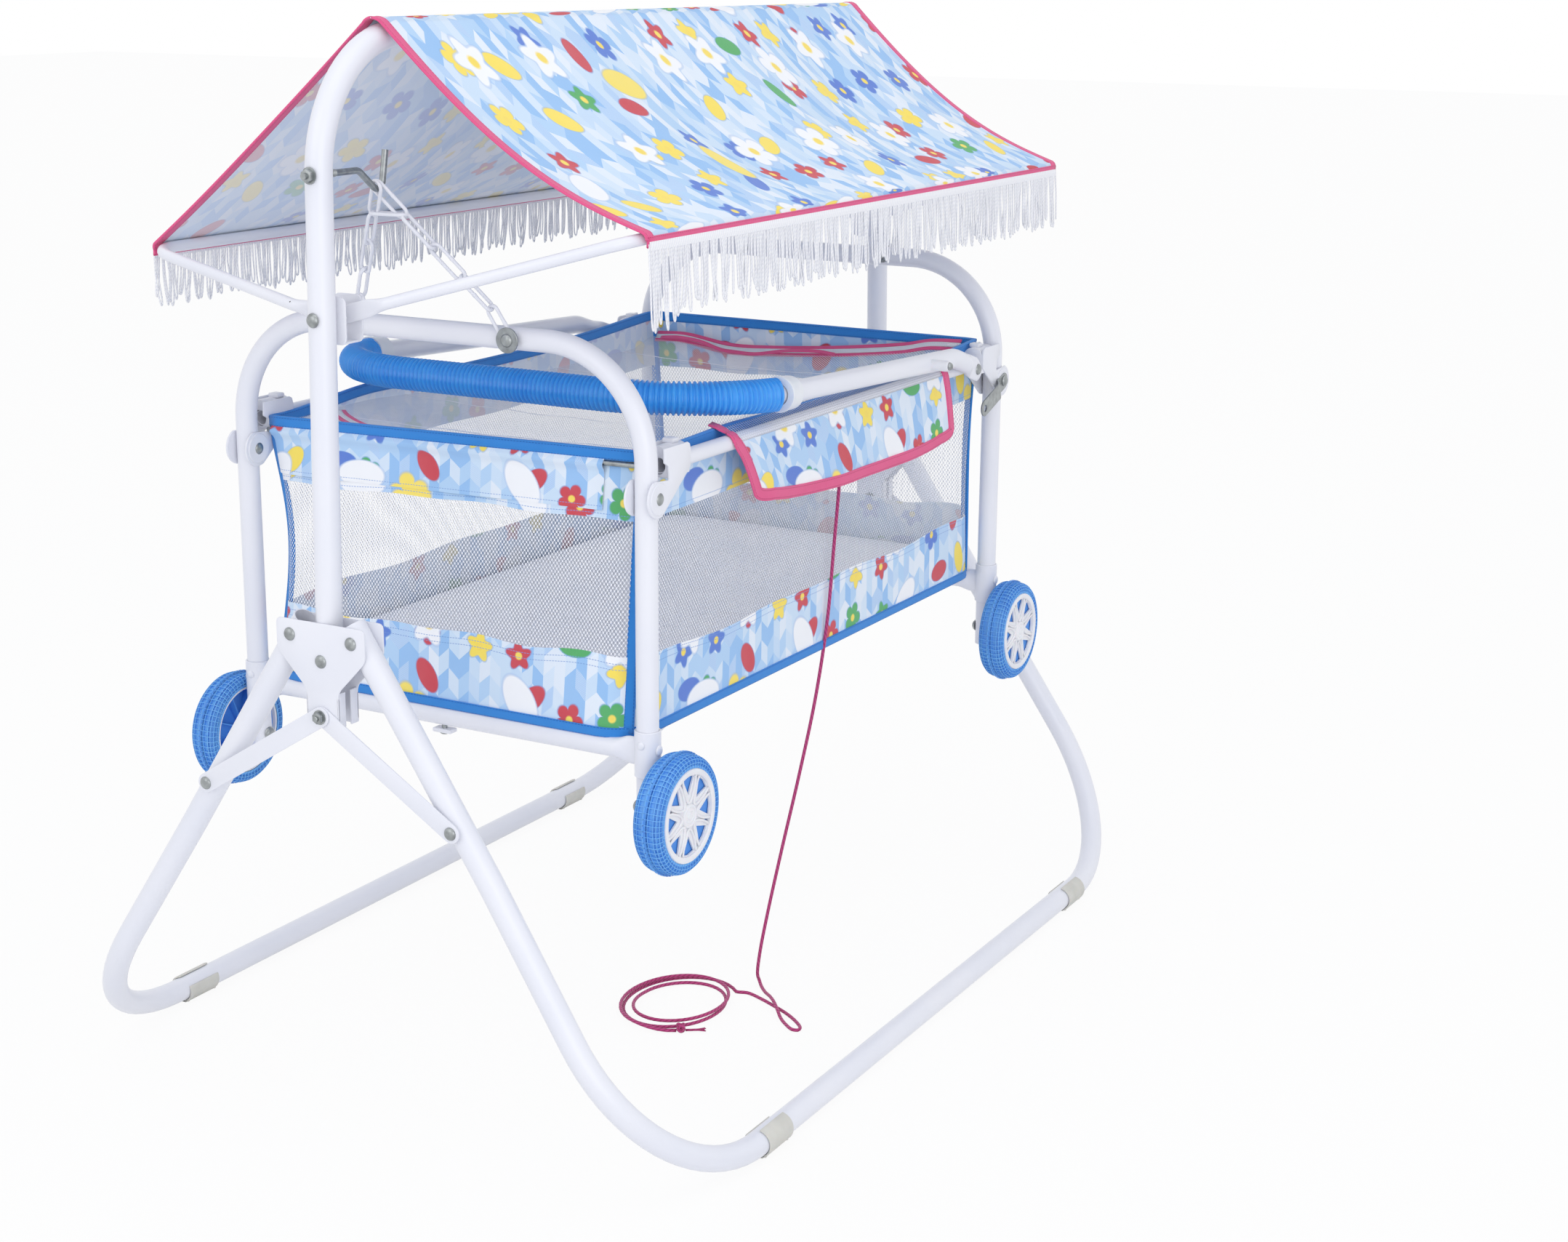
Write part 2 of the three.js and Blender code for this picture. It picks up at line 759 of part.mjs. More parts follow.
function legTube(end, side) {
  const corners = [
    inLegFrame(end * postHubX, -legTopOverhang, side),
    inLegFrame(end * postHubX, legStraightLength, side),
    inLegFrame(end * legFootHalfLength, legLength, side),
    inLegFrame(end * (floorBarEndX + seatGap / 2), legLength, side),
  ];
  const normal = [0, side * Math.cos(legSlope), Math.sin(legSlope)];
  const bent = tube(route(corners, [0, legBendRadius]), standTubeRadius, standTubeWall, normal);
  const [, y, z] = inLegFrame(0, 0, side);
  const reach = standTubeRadius + cutOverrun;
  const x = end * postHubX;
  return cut(bent, hole([x - reach, y, z], [x + reach, y, z], rivetShankRadius));
}

function floorBar(side) {
  const half = floorBarEndX - seatGap / 2;
  const corners = [inLegFrame(-half, legLength, side), inLegFrame(half, legLength, side)];
  return tube(route(corners, []), standTubeRadius, standTubeWall, [0, 1, 0]);
}

// A clip open at its top inner side, with a flat under it to stand on
function footClip(end, side) {
  const steps = 11;
  const inner = (standTubeRadius + clipClearance) / Math.cos((2 * Math.PI - clipOpeningAngle) / steps / 2);
  const outer = standTubeRadius + clipWall;
  const opening = Math.PI / 2 + side * clipOpeningTilt;
  const outline = [];
  for (let k = 0; k <= steps; k++) {
    const angle = opening + clipOpeningAngle / 2 + (2 * Math.PI - clipOpeningAngle) * k / steps;
    outline.push([outer * Math.cos(angle), outer * Math.sin(angle)]);
  }
  for (let k = steps; k >= 0; k--) {
    const angle = opening + clipOpeningAngle / 2 + (2 * Math.PI - clipOpeningAngle) * k / steps;
    outline.push([inner * Math.cos(angle), inner * Math.sin(angle)]);
  }
  const middle = end * floorBarEndX;
  const [, y, z] = inLegFrame(0, legLength, side);
  const placed = outline.map(([across, up]) => [y + across, z + up]);
  const ring = plateAcrossX(placed, middle - clipLength / 2, middle + clipLength / 2);
  const sole = clipWall * 2;
  const pad = box(
    [middle - clipLength / 2, y - sole, 0], [middle + clipLength / 2, y + sole, clipWall - seatGap]);
  return joined(ring, pad);
}

// Braces: a strip from the hub's lower bolt out to the leg, with a rivet whose shank ends at the leg's face
function brace(side, layer) {
  const outerFace = -postHubX - hubOuterFace - seatGap - layer * (braceThickness + seatGap);
  const [, y, z] = inLegFrame(0, braceRivetAlongLeg, side);
  const strip = plateAcrossX(
    stripOutline([0, braceBoltHeight], [y, z], braceWidth), outerFace - braceThickness, outerFace);
  const boltHole = hole(
    [outerFace - cutOverrun - braceThickness, 0, braceBoltHeight],
    [outerFace + cutOverrun, 0, braceBoltHeight], braceBoltRadius);
  const legFace = -postHubX - standTubeRadius - seatGap;
  const spacer = bar([outerFace - weldOverlap, y, z], [legFace, y, z], braceSpacerRadius, rodSides);
  const headSeat = outerFace - braceThickness + weldOverlap;
  const head = rivetHead([headSeat, y, z], [-1, 0, 0], rivetHeadRadius, rivetHeadHeight);
  return joined(cut(strip, boltHole), spacer, head);
}

// Hooks: a threaded rod through the post, dipping to the chain and turned up at its tip
const hookNutSeat = postX(hookHeight) - standTubeRadius - seatGap;

const hookStations = route([
  [hookNutSeat - hookThreadLength, 0, hookHeight], [-hookBendX, 0, hookHeight],
  [-hookLowX, 0, hookLowHeight], [-hookTipX, 0, hookTipHeight],
], [hookBendRadius, hookTipBendRadius], 3);

function hook() {
  const rod = sweep(hookStations, roundShape(hookRodRadius, rodSides), [0, 1, 0]);
  const nut = bar(
    [hookNutSeat - hookNutLength, 0, hookHeight], [hookNutSeat, 0, hookHeight], hookNutRadius, 6);
  return joined(rod, nut);
}

// Canopy brackets: a channel behind each post, whose bolt runs through the post and both wings
const wingBracketBack = postX(wingBoltHeight) + standTubeRadius + 2 * seatGap;
const wingBracketFront = wingBracketBack + wingBracketDepth;

function wingBracket() {
  const outline = roundedOutline([
    [-wingBracketHalfWidth, wingBracketTop], [-wingBracketHalfWidth, wingBracketFoot],
    [wingBracketHalfWidth, wingBracketFoot], [wingBracketHalfWidth, wingBracketTop],
  ], hubCornerRadius);
  const back = plateAcrossX(outline, wingBracketBack, wingBracketBack + wingBracketPlate);
  const front = plateAcrossX(outline, wingBracketFront - wingBracketPlate, wingBracketFront);
  const floor = box(
    [wingBracketBack, -wingBracketHalfWidth + hubCornerRadius, wingBracketFoot],
    [wingBracketFront, wingBracketHalfWidth - hubCornerRadius, wingBracketFoot + wingBracketPlate]);
  const headFace = postX(wingBoltHeight) - standTubeRadius - 2 * seatGap;
  const z = wingBoltHeight;
  const bolt = bar(
    [headFace - weldOverlap, 0, z], [wingBracketFront + weldOverlap, 0, z], wingBoltRadius, rodSides);
  const head = rivetHead([headFace, 0, z], [-1, 0, 0], rivetHeadRadius, rivetHeadHeight);
  const nut = bar(
    [wingBracketFront - weldOverlap, 0, z], [wingBracketFront + braceNutLength, 0, z], braceNutRadius, 6);
  return joined(back, front, floor, bolt, head, nut);
}

// Wing tubes: out from the brackets and along the eave. The near tabs of both wings share one bolt.
function wingRise(side) {
  return (side > 0 ? wingAngleLeft : wingAngleRight) * degree;
}

function onWing(x, reach, side) {
  const rise = wingRise(side);
  return [x, side * reach * Math.cos(rise), wingBoltHeight + reach * Math.sin(rise)];
}

function wingTabX(side) {
  const third = (wingBracketDepth - 2 * wingBracketPlate) / 3;
  return -wingBracketBack - wingBracketPlate - third * (side > 0 ? 1 : 2);
}

function wingTube(side) {
  const tab = wingTabX(side);
  const corners = [
    onWing(-tab, -wingTabOverhang, side), onWing(-tab, wingTabLength, side),
    onWing(-tab, 2 * wingTabLength, side), onWing(-wingEaveHalfLength, wingReach, side),
    onWing(wingEaveHalfLength, wingReach, side), onWing(tab, 2 * wingTabLength, side),
    onWing(tab, wingTabLength, side), onWing(tab, -wingTabOverhang, side),
  ];
  const radii = [0, 0, wingCornerRadius, wingCornerRadius, 0, 0];
  const rise = wingRise(side);
  const normal = [0, -side * Math.sin(rise), Math.cos(rise)];
  const section = roundShape(wingTubeRadius, rodSides, wingTubeRadius - wingTubeWall, slimBoreSides);
  const level = sweep(route(corners, radii), section, normal).rotateX(-side * rise);
  const tabEnd = new THREE.Vector3(...onWing(0, -wingTabOverhang, side));
  tabEnd.applyAxisAngle(new THREE.Vector3(1, 0, 0), -side * rise);
  const thinness = wingTabThickness / (2 * wingTubeRadius);
  flatten(level, (point) => endShare(side * (point.y - tabEnd.y), wingTabLength), (point) => {
    const middle = Math.sign(point.x) * tab;
    return new THREE.Vector3(
      middle + (point.x - middle) * thinness, point.y, tabEnd.z + (point.z - tabEnd.z) * wingTabWidening);
  });
  const reach = wingTabThickness + cutOverrun;
  const holes = [-tab, tab].map((x) => (
    hole([x - reach, 0, wingBoltHeight], [x + reach, 0, wingBoltHeight], wingBoltRadius)));
  return cut(level.rotateX(side * rise), ...holes);
}

// Canopy cloth: one panel from the ridge down to each eave, round both tubes and sagging between them
function canopyPanel(side) {
  const [, eaveY, eaveZ] = onWing(0, wingReach, side);
  const overRidge = standTubeRadius + seatGap + clothThickness;
  const overEave = wingTubeRadius + seatGap + clothThickness;
  const onTube = (y, z, radius, angle) => [y + radius * Math.sin(angle), z + radius * Math.cos(angle)];
  const ridgeEdge = onTube(0, ridgeHeight, overRidge, canopyRidgeAngle);
  const eaveEdge = onTube(Math.abs(eaveY), eaveZ, overEave, canopyEaveAngle);
  const ridgeShare = 2 / canopyRows;
  const eaveShare = 1 - ridgeShare;
  const profile = (u, v) => {
    if (v < ridgeShare) {
      const firstTurn = seatGap / (2 * overRidge);
      const angle = THREE.MathUtils.lerp(firstTurn, canopyRidgeAngle, v / ridgeShare);
      return onTube(0, ridgeHeight, overRidge, angle);
    }
    if (v > eaveShare) {
      const angle = THREE.MathUtils.lerp(canopyEaveAngle, Math.PI / 2, (v - eaveShare) / ridgeShare);
      return onTube(Math.abs(eaveY), eaveZ, overEave, angle);
    }
    const share = (v - ridgeShare) / (eaveShare - ridgeShare);
    const hang = Math.sin(Math.PI * share);
    const fold = canopyFoldDepth * hang * Math.sin(2 * Math.PI * canopyFoldCount * u);
    const z = THREE.MathUtils.lerp(ridgeEdge[1], eaveEdge[1], share) - canopySag * hang + fold;
    return [THREE.MathUtils.lerp(ridgeEdge[0], eaveEdge[0], share), z];
  };
  const surface = (u, v) => {
    const [y, z] = profile(u, v);
    const halfLength = THREE.MathUtils.lerp(canopyRidgeHalfLength, canopyEaveHalfLength, v);
    return new THREE.Vector3(side * halfLength * (2 * u - 1), side * y, z);
  };
  return sheet(surface, canopyColumns, canopyRows, clothThickness);
}

// Fringe: a waved strip that hangs from the hem on each eave's outer side
function fringe(side) {
  const [, eaveY, eaveZ] = onWing(0, wingReach, side);
  const face = eaveY + side * (wingTubeRadius + seatGap + fringeDepth);
  const waves = (u) => Math.sin(2 * Math.PI * fringeWaveCount * u);
  const surface = (u, v) => new THREE.Vector3(
    side * canopyEaveHalfLength * (2 * u - 1), face + side * fringeWave * v * (1 + waves(u)) / 2,
    eaveZ - seatGap - fringeLength * v);
  return sheet(surface, 2 * fringeWaveCount, 1, fringeDepth);
}

// Arches: the tube with its chain bolts and washers, wheel axles and hinge rivets
function archTube() {
  const corners = [
    [-archX, -archHalfWidth, archFootHeight], [-archX, -archHalfWidth, archTopHeight],
    [-archX, archHalfWidth, archTopHeight], [-archX, archHalfWidth, archFootHeight],
  ];
  const radii = [archShoulderRadius, archShoulderRadius];
  return tube(route(corners, radii), archTubeRadius, archTubeWall, [1, 0, 0]);
}

const chainSeatX = -archX - archTubeRadius - seatGap - chainWireRadius;
const washerFace = chainSeatX - chainWireRadius - seatGap;

function arch(lockLinkSide) {
  const pieces = [archTube()];
  for (const side of [-1, 1]) {
    const y = side * chainBoltY;
    const washerEnd = washerFace - chainWasherThickness;
    const top = archTopHeight;
    pieces.push(bar([washerEnd, y, top], [-archX, y, top], chainBoltRadius, rodSides));
    pieces.push(bar([washerEnd, y, top], [washerFace, y, top], chainWasherRadius, roundSides));
    pieces.push(rivetHead([washerEnd + weldOverlap, y, top], [-1, 0, 0], rivetHeadRadius, rivetHeadHeight));
    const nutStart = wheelOuterY - rimRecessDepth + seatGap;
    const axleStart = [-archX, side * (archHalfWidth - archTubeRadius + archTubeWall / 2), axleHeight];
    const axleEnd = [-archX, side * (nutStart + weldOverlap), axleHeight];
    pieces.push(bar(axleStart, axleEnd, axleRadius, rodSides));
    pieces.push(rivetHead([-archX, side * nutStart, axleHeight], [0, side, 0], axleNutRadius, axleNutLength));
    const extra = side === lockLinkSide ? lockLinkThickness + seatGap : 0;
    const headStart = earOuterFace + seatGap + extra;
    const inner = earInsideFace - seatGap;
    const z = hingeRivetHeight;
    const ends = [side * (inner - weldOverlap), side * (headStart + weldOverlap)];
    pieces.push(bar([-archX, ends[0], z], [-archX, ends[1], z], rivetShankRadius, rodSides));
    pieces.push(rivetHead([-archX, side * headStart, z], [0, side, 0], rivetHeadRadius, rivetHeadHeight));
    pieces.push(rivetHead([-archX, side * inner, z], [0, -side, 0], rivetHeadRadius, rivetHeadHeight));
  }
  return joined(...pieces);
}

// Rails and the moulded brackets that hang them on the arches

function rail(side) {
  const y = side * archHalfWidth;
  const stations = route([[-railHalfLength, y, railHeight], [railHalfLength, y, railHeight]], []);
  const [x, z] = [handlePivotX, handlePivotHeight];
  const reach = railRadius + cutOverrun;
  const pivotHole = hole(
    [x, side * (archHalfWidth - reach), z], [x, side * (archHalfWidth + reach), z], handlePivotRadius);
  return cut(tube(stations, railRadius, railWall, [0, 1, 0]), pivotHole);
}

function railBracket(side) {
  const boss = [];
  const steps = 5;
  const [bossStart, bossTurn] = [Math.PI * 0.62, Math.PI * 1.02];
  for (let k = 0; k <= steps; k++) {
    const angle = bossStart + bossTurn * k / steps;
    const [across, up] = [bracketBossRadius * Math.cos(angle), bracketBossRadius * Math.sin(angle)];
    boss.push([-archX + across, hingeRivetHeight + up]);
  }
  const farX = -bracketBlockFarX;
  const neckX = -archX + archTubeRadius;
  const outline = [
    ...boss, [farX, bracketBlockFoot + railRadius], [farX, bracketBlockTop - bracketCornerCut],
    [farX - bracketCornerCut, bracketBlockTop], [neckX, bracketBlockTop],
    [neckX, bandRodHeight - 2 * bandRodRadius],
    [-bracketBlockNearX, bandRodHeight - 3 * bandRodRadius], [-bracketBlockNearX, bracketBlockFoot],
  ];
  const span = (from, to) => [Math.min(side * from, side * to), Math.max(side * from, side * to)];
  const outer = plateAcrossY(outline, ...span(earInnerFace, earOuterFace));
  const inner = plateAcrossY(outline, ...span(earInsideFace, earInsideOuterFace));
  const [low, high] = span(earInsideFace, earOuterFace);
  const block = box([-bracketBlockNearX, low, bracketBlockFoot], [-bracketBlockFarX, high, bracketBlockTop]);
  const bore = bar(
    [-bracketBlockNearX - cutOverrun, side * archHalfWidth, railHeight],
    [-bracketBlockFarX + cutOverrun, side * archHalfWidth, railHeight], railRadius + boreClearance);
  const rivetHole = hole(
    [-archX, low - cutOverrun, hingeRivetHeight], [-archX, high + cutOverrun, hingeRivetHeight],
    rivetShankRadius);
  return cut(joined(outer, inner, block), bore, rivetHole);
}

function bandRod() {
  const reach = earInsideFace - seatGap;
  return bar([-bandRodX, -reach, bandRodHeight], [-bandRodX, reach, bandRodHeight], bandRodRadius, rodSides);
}

// End bars: a tube crimped at both ends into sleeves that wrap the arch legs, with a tab screwed under it
function endBar() {
  const sleeveRadius = archTubeRadius + seatGap + endBarSleeveWall;
  const reach = archHalfWidth - archTubeRadius - seatGap - weldOverlap;
  const crimp = endBarCrimpLength;
  const stations = route([
    [-archX, -reach, endBarHeight], [-archX, crimp / 2 - reach, endBarHeight],
    [-archX, 2 * crimp - reach, endBarHeight], [-archX, reach - 2 * crimp, endBarHeight],
    [-archX, reach - crimp / 2, endBarHeight], [-archX, reach, endBarHeight],
  ], [0, 0, 0, 0]);
  const crossTube = tube(stations, endBarRadius, endBarWall, [1, 0, 0]);
  flatten(crossTube, (point) => endShare(reach - Math.abs(point.y), crimp / 2), (point) => new THREE.Vector3(
    -archX + (point.x + archX) * endBarCrimpThinning, point.y,
    endBarHeight + (point.z - endBarHeight) * endBarCrimpWidening));
  const sleeves = [-1, 1].map((side) => {
    const [low, high] = [endBarHeight - endBarSleeveHeight / 2, endBarHeight + endBarSleeveHeight / 2];
    const y = side * archHalfWidth;
    const outer = bar([-archX, y, low], [-archX, y, high], sleeveRadius);
    const inner = bar(
      [-archX, y, low - cutOverrun], [-archX, y, high + cutOverrun], archTubeRadius + seatGap);
    const head = rivetHead(
      [-archX, side * (archHalfWidth + sleeveRadius - weldOverlap), endBarHeight], [0, side, 0],
      rivetHeadRadius, rivetHeadHeight / 2);
    return { outer, inner, head };
  });
  const tabTop = endBarHeight - endBarRadius - endBarTabDrop + weldOverlap;
  const tab = box(
    [-archX - endBarTabWidth / 2, -endBarTabLength / 2, tabTop - endBarTabThickness],
    [-archX + endBarTabWidth / 2, endBarTabLength / 2, tabTop]);
  const screw = bar(
    [-archX, 0, tabTop - endBarTabThickness], [-archX, 0, endBarHeight - endBarRadius + endBarWall / 2],
    rivetShankRadius, rodSides);
  const drainY = reach - 2 * crimp;
  const drain = bar(
    [-archX, drainY, endBarHeight - endBarRadius - cutOverrun], [-archX, drainY, endBarHeight],
    endBarDrainRadius, rodSides);
  const whole = joined(crossTube, ...sleeves.flatMap(({ outer, head }) => [outer, head]), tab, screw);
  return cut(whole, ...sleeves.map(({ inner }) => inner), drain);
}

// Wheels: a moulded rim with petal openings and a notched tyre; both are drawn about Y through the axle

function wheelPlace(side) {
  return new THREE.Matrix4().makeTranslation(-archX, side * wheelInnerY, axleHeight)
    .multiply(new THREE.Matrix4().makeRotationX(-side * Math.PI / 2));
}

function revolve(points, segments) {
  const profile = points.map(([radius, along]) => new THREE.Vector2(radius, along));
  profile.push(profile[0].clone());
  return new THREE.LatheGeometry(profile, segments).rotateX(Math.PI / 2);
}

function wheelRim(side) {
  const outer = tyreInnerRadius - boreClearance;
  const inner = outer - rimBarrelWall;
  const bore = (axleRadius + boreClearance) / Math.cos(Math.PI / rimSegments);
  const web = wheelWidth - rimWebThickness;
  const body = revolve([
    [bore, wheelEdgeSetBack], [rimHubRadius, wheelEdgeSetBack], [rimHubRadius, web], [inner, web],
    [inner, rimSetBack], [outer, rimSetBack], [outer, wheelWidth], [rimRecessRadius, wheelWidth],
    [rimRecessRadius, wheelWidth - rimRecessDepth], [bore, wheelWidth - rimRecessDepth],
  ], rimSegments);
  const petals = [];
  const middle = (petalInnerRadius + petalOuterRadius) / 2;
  const petalShares = [[-1, 0], [0.5, 0.38], [1, 0], [0.5, -0.38]];
  const reach = (petalOuterRadius - petalInnerRadius) / 2;
  for (let k = 0; k < petalCount; k++) {
    const shape = new THREE.Shape(petalShares.map(([out, across]) => (
      new THREE.Vector2(middle + out * reach, across * reach * petalWidthShare))));
    const depth = rimWebThickness + 2 * cutOverrun;
    const petal = new THREE.ExtrudeGeometry(shape, { depth, bevelEnabled: false });
    petals.push(petal.translate(0, 0, web - cutOverrun).rotateZ(2 * Math.PI * k / petalCount));
  }
  return cut(body, ...petals).applyMatrix4(wheelPlace(side));
}

function tyre(side) {
  const steps = treadNotchCount * 2;
  const inner = tyreInnerRadius / Math.cos(Math.PI / steps);
  const section = [
    [inner, wheelEdgeSetBack], [wheelRadius - tyreShoulder, 0], [wheelRadius, tyreShoulder],
    [wheelRadius, wheelWidth - tyreShoulder], [wheelRadius - tyreShoulder, wheelWidth],
    [inner, wheelWidth - wheelEdgeSetBack],
  ];
  const vertices = [];
  for (let k = 0; k < steps; k++) {
    const angle = 2 * Math.PI * k / steps;
    section.forEach(([radius, along], i) => {
      const notched = k % 2 === 0 && (i === 2 || i === 3) ? radius - treadNotchDepth : radius;
      vertices.push(new THREE.Vector3(notched * Math.cos(angle), notched * Math.sin(angle), along));
    });
  }
  const count = section.length;
  const index = [];
  for (let k = 0; k < steps; k++) {
    for (let i = 0; i < count; i++) {
      const a = k * count + i;
      const b = k * count + (i + 1) % count;
      const c = ((k + 1) % steps) * count + i;
      const d = ((k + 1) % steps) * count + (i + 1) % count;
      index.push(a, c, d, a, d, b);
    }
  }
  return indexed(vertices, index).applyMatrix4(wheelPlace(side));
}

// Carrying handle: a bent tube pivoted on the far ends of the rails, with collars that hold the ribbed grip

const handleArmSlope = (handleKneeHeight - handlePivotHeight) / (handlePivotX - handleKneeX);
const handleEndX = handlePivotX + handleOverhang;

function handleArmHeight(x) {
  return handlePivotHeight + (handlePivotX - x) * handleArmSlope;
}

function handleStations() {
  const armXs = [handleEndX, handleEndX - handleFlatLength / 4, handleEndX - handleFlatLength];
  const arm = (side) => armXs.map((x) => [x, side * handleArmY, handleArmHeight(x)]);
  const corners = [
    ...arm(-1), [handleKneeX, -handleArmY, handleKneeHeight], [-handleCrossX, -handleArmY, handleCrossHeight],
    [-handleCrossX, handleArmY, handleCrossHeight], [handleKneeX, handleArmY, handleKneeHeight],
    ...arm(1).reverse(),
  ];
  return route(corners, [0, 0, 0, handleCornerRadius, handleCornerRadius, 0, 0, 0], 4);
}

// The height of the arm's middle between its knee and the corner at the near end
function handleHeightAt(x) {
  return THREE.MathUtils.mapLinear(x, handleKneeX, -handleCrossX, handleKneeHeight, handleCrossHeight);
}

// The handle's stations between the grip's two ends, with the distance run at each
function gripRun() {
  const inside = handleStations().filter(({ at }) => at.x < -gripStartX);
  const endAt = (side, along) => (
    { at: new THREE.Vector3(-gripStartX, side * handleArmY, handleHeightAt(-gripStartX)), along });
  const stations = [endAt(-1, inside[0].along), ...inside, endAt(1, inside.at(-1).along)];
  let run = 0;
  stations.forEach((station, i) => {
    if (i > 0) run += station.at.distanceTo(stations[i - 1].at);
    station.run = run;
  });
  return stations;
}

function alongRun(stations, run) {
  let i = 1;
  while (i < stations.length - 1 && stations[i].run < run) i++;
  const [from, to] = [stations[i - 1], stations[i]];
  const share = THREE.MathUtils.clamp((run - from.run) / (to.run - from.run), 0, 1);
  const at = from.at.clone().lerp(to.at, share);
  return { at, along: from.along.clone().lerp(to.along, share).normalize() };
}

// The arm ends are pressed flat against the rails, narrowing at the tip
function flattenHandle(bent) {
  const thinness = handleFlatThickness / (2 * handleTubeRadius);
  const flatY = archHalfWidth + railRadius + handleSideGap + handleFlatThickness / 2;
  const tipLength = handleFlatLength / 4;
  return flatten(bent, (point) => endShare(handleEndX - point.x, handleFlatLength), (point) => {
    const side = Math.sign(point.y);
    const middle = handleArmHeight(point.x);
    const taper = THREE.MathUtils.clamp((handleEndX - point.x) / tipLength, 0, 1);
    const width = THREE.MathUtils.lerp(handleTipNarrowing, handleFlatWidening, taper);
    const y = side * (flatY + (Math.abs(point.y) - handleArmY) * thinness);
    return new THREE.Vector3(point.x, y, middle + (point.z - middle) * width);
  });
}

function handleTube() {
  const pieces = [flattenHandle(tube(handleStations(), handleTubeRadius, handleTubeWall, [0, 0, 1]))];
  const stations = gripRun();
  for (const [from, to] of [[stations[0], -1], [stations.at(-1), 1]]) {
    const away = from.along.clone().multiplyScalar(to);
    const start = from.at.clone().addScaledVector(away, seatGap);
    const end = start.clone().addScaledVector(away, collarLength);
    const wall = collarRadius - handleTubeRadius + handleTubeWall / 2;
    pieces.push(tube(route([start.toArray(), end.toArray()], []), collarRadius, wall, [0, 0, 1]));
  }
  for (const side of [-1, 1]) pieces.push(stopKnob(side), handlePivot(side));
  return joined(...pieces);
}

// The pivot rivet through an arm's flat end and the rail
function handlePivot(side) {
  const outside = archHalfWidth + railRadius + handleSideGap + handleFlatThickness;
  const inside = archHalfWidth - railRadius - seatGap;
  const [x, z] = [handlePivotX, handlePivotHeight];
  const shank = bar(
    [x, side * (inside - weldOverlap), z], [x, side * outside, z], handlePivotRadius, rodSides);
  const outerSeat = [x, side * (outside - weldOverlap), z];
  const outerHead = rivetHead(outerSeat, [0, side, 0], rivetHeadRadius, rivetHeadHeight);
  const innerHead = rivetHead([x, side * inside, z], [0, -side, 0], 2 * handlePivotRadius, rivetHeadHeight);
  return joined(shank, outerHead, innerHead);
}

// A stop knob that stands out sideways from each arm, with its screw's head at the end
function stopKnob(side) {
  const z = handleHeightAt(knobX);
  const start = handleArmY + handleTubeRadius - handleTubeWall / 2;
  const end = handleArmY + handleTubeRadius + knobLength;
  const body = bar([knobX, side * start, z], [knobX, side * end, z], knobRadius, roundSides);
  const screwSeat = [knobX, side * (end - weldOverlap), z];
  const screw = rivetHead(screwSeat, [0, side, 0], knobScrewRadius, knobScrewLength);
  return joined(body, screw);
}

// Ribbed grip: crests and grooves at a steady pitch along the handle's bent end, with an open bore
function handleGrip() {
  const stations = gripRun();
  const length = stations.at(-1).run;
  const side = new THREE.Vector3(0, 0, 1);
  const ring = (run, radius) => {
    const { at, along } = alongRun(stations, run);
    return ringAt(at, along, side, radius, gripSides);
  };
  const grooveRadius = gripRadius - gripGrooveDepth;
  const pitch = length / gripRibCount;
  const outerRings = [ring(0, grooveRadius)];
  for (let k = 0; k < gripRibCount; k++) {
    outerRings.push(ring((k + 0.3) * pitch, gripRadius), ring((k + 0.8) * pitch, grooveRadius));
  }
  outerRings.push(ring(length, grooveRadius));
  const boreRings = stations.map(({ run }) => ring(run, gripBoreRadius));
  return closedRun([...outerRings, ...boreRings.reverse()]);
}

// Rings joined in order and the last to the first: a closed link, or the wall of an open tube
function closedRun(rings) {
  const count = rings[0].length;
  const index = [];
  rings.forEach((_, r) => {
    const next = (r + 1) % rings.length;
    for (let k = 0; k < count; k++) {
      const [a, b] = [r * count + k, r * count + (k + 1) % count];
      const [c, d] = [next * count + k, next * count + (k + 1) % count];
      index.push(a, b, d, a, d, c);
    }
  });
  return indexed(rings.flat(), index);
}

// Lock link: a joggled strip on the far right hinge rivet, hanging towards the middle, with a hole at its tip
function lockLink() {
  const thickness = lockLinkThickness;
  const face = earOuterFace + seatGap;
  const joggleShares = [[-0.16, 0], [0.22, 0], [0.36, 1], [1.14, 1]];
  const outline = [];
  for (const [along, out] of joggleShares) {
    outline.push([along * lockLinkLength, face + out * lockLinkJoggle]);
  }
  for (const [along, out] of [...joggleShares].reverse()) {
    outline.push([along * lockLinkLength, face + thickness + out * lockLinkJoggle]);
  }
  const shape = new THREE.Shape(outline.map(([along, out]) => new THREE.Vector2(along, -out)).reverse());
  const strip = new THREE.ExtrudeGeometry(shape, { depth: lockLinkWidth, bevelEnabled: false });
  strip.translate(0, 0, -lockLinkWidth / 2);
  const [low, high] = [-face - 4 * lockLinkJoggle, -face + cutOverrun];
  const trim = plateAcrossY(stripOutline([0, 0], [lockLinkLength, 0], lockLinkWidth), low, high);
  const rounded = geometryOf(solidOf(strip).intersect(solidOf(trim)));
  const holes = [
    hole([0, low, 0], [0, high, 0], rivetShankRadius),
    hole([lockLinkLength, low, 0], [lockLinkLength, high, 0], lockHoleRadius),
  ];
  return cut(rounded, ...holes);
}

// Chains: from each hook two runs of links spread to the arch's bolts, with one link across under the hook

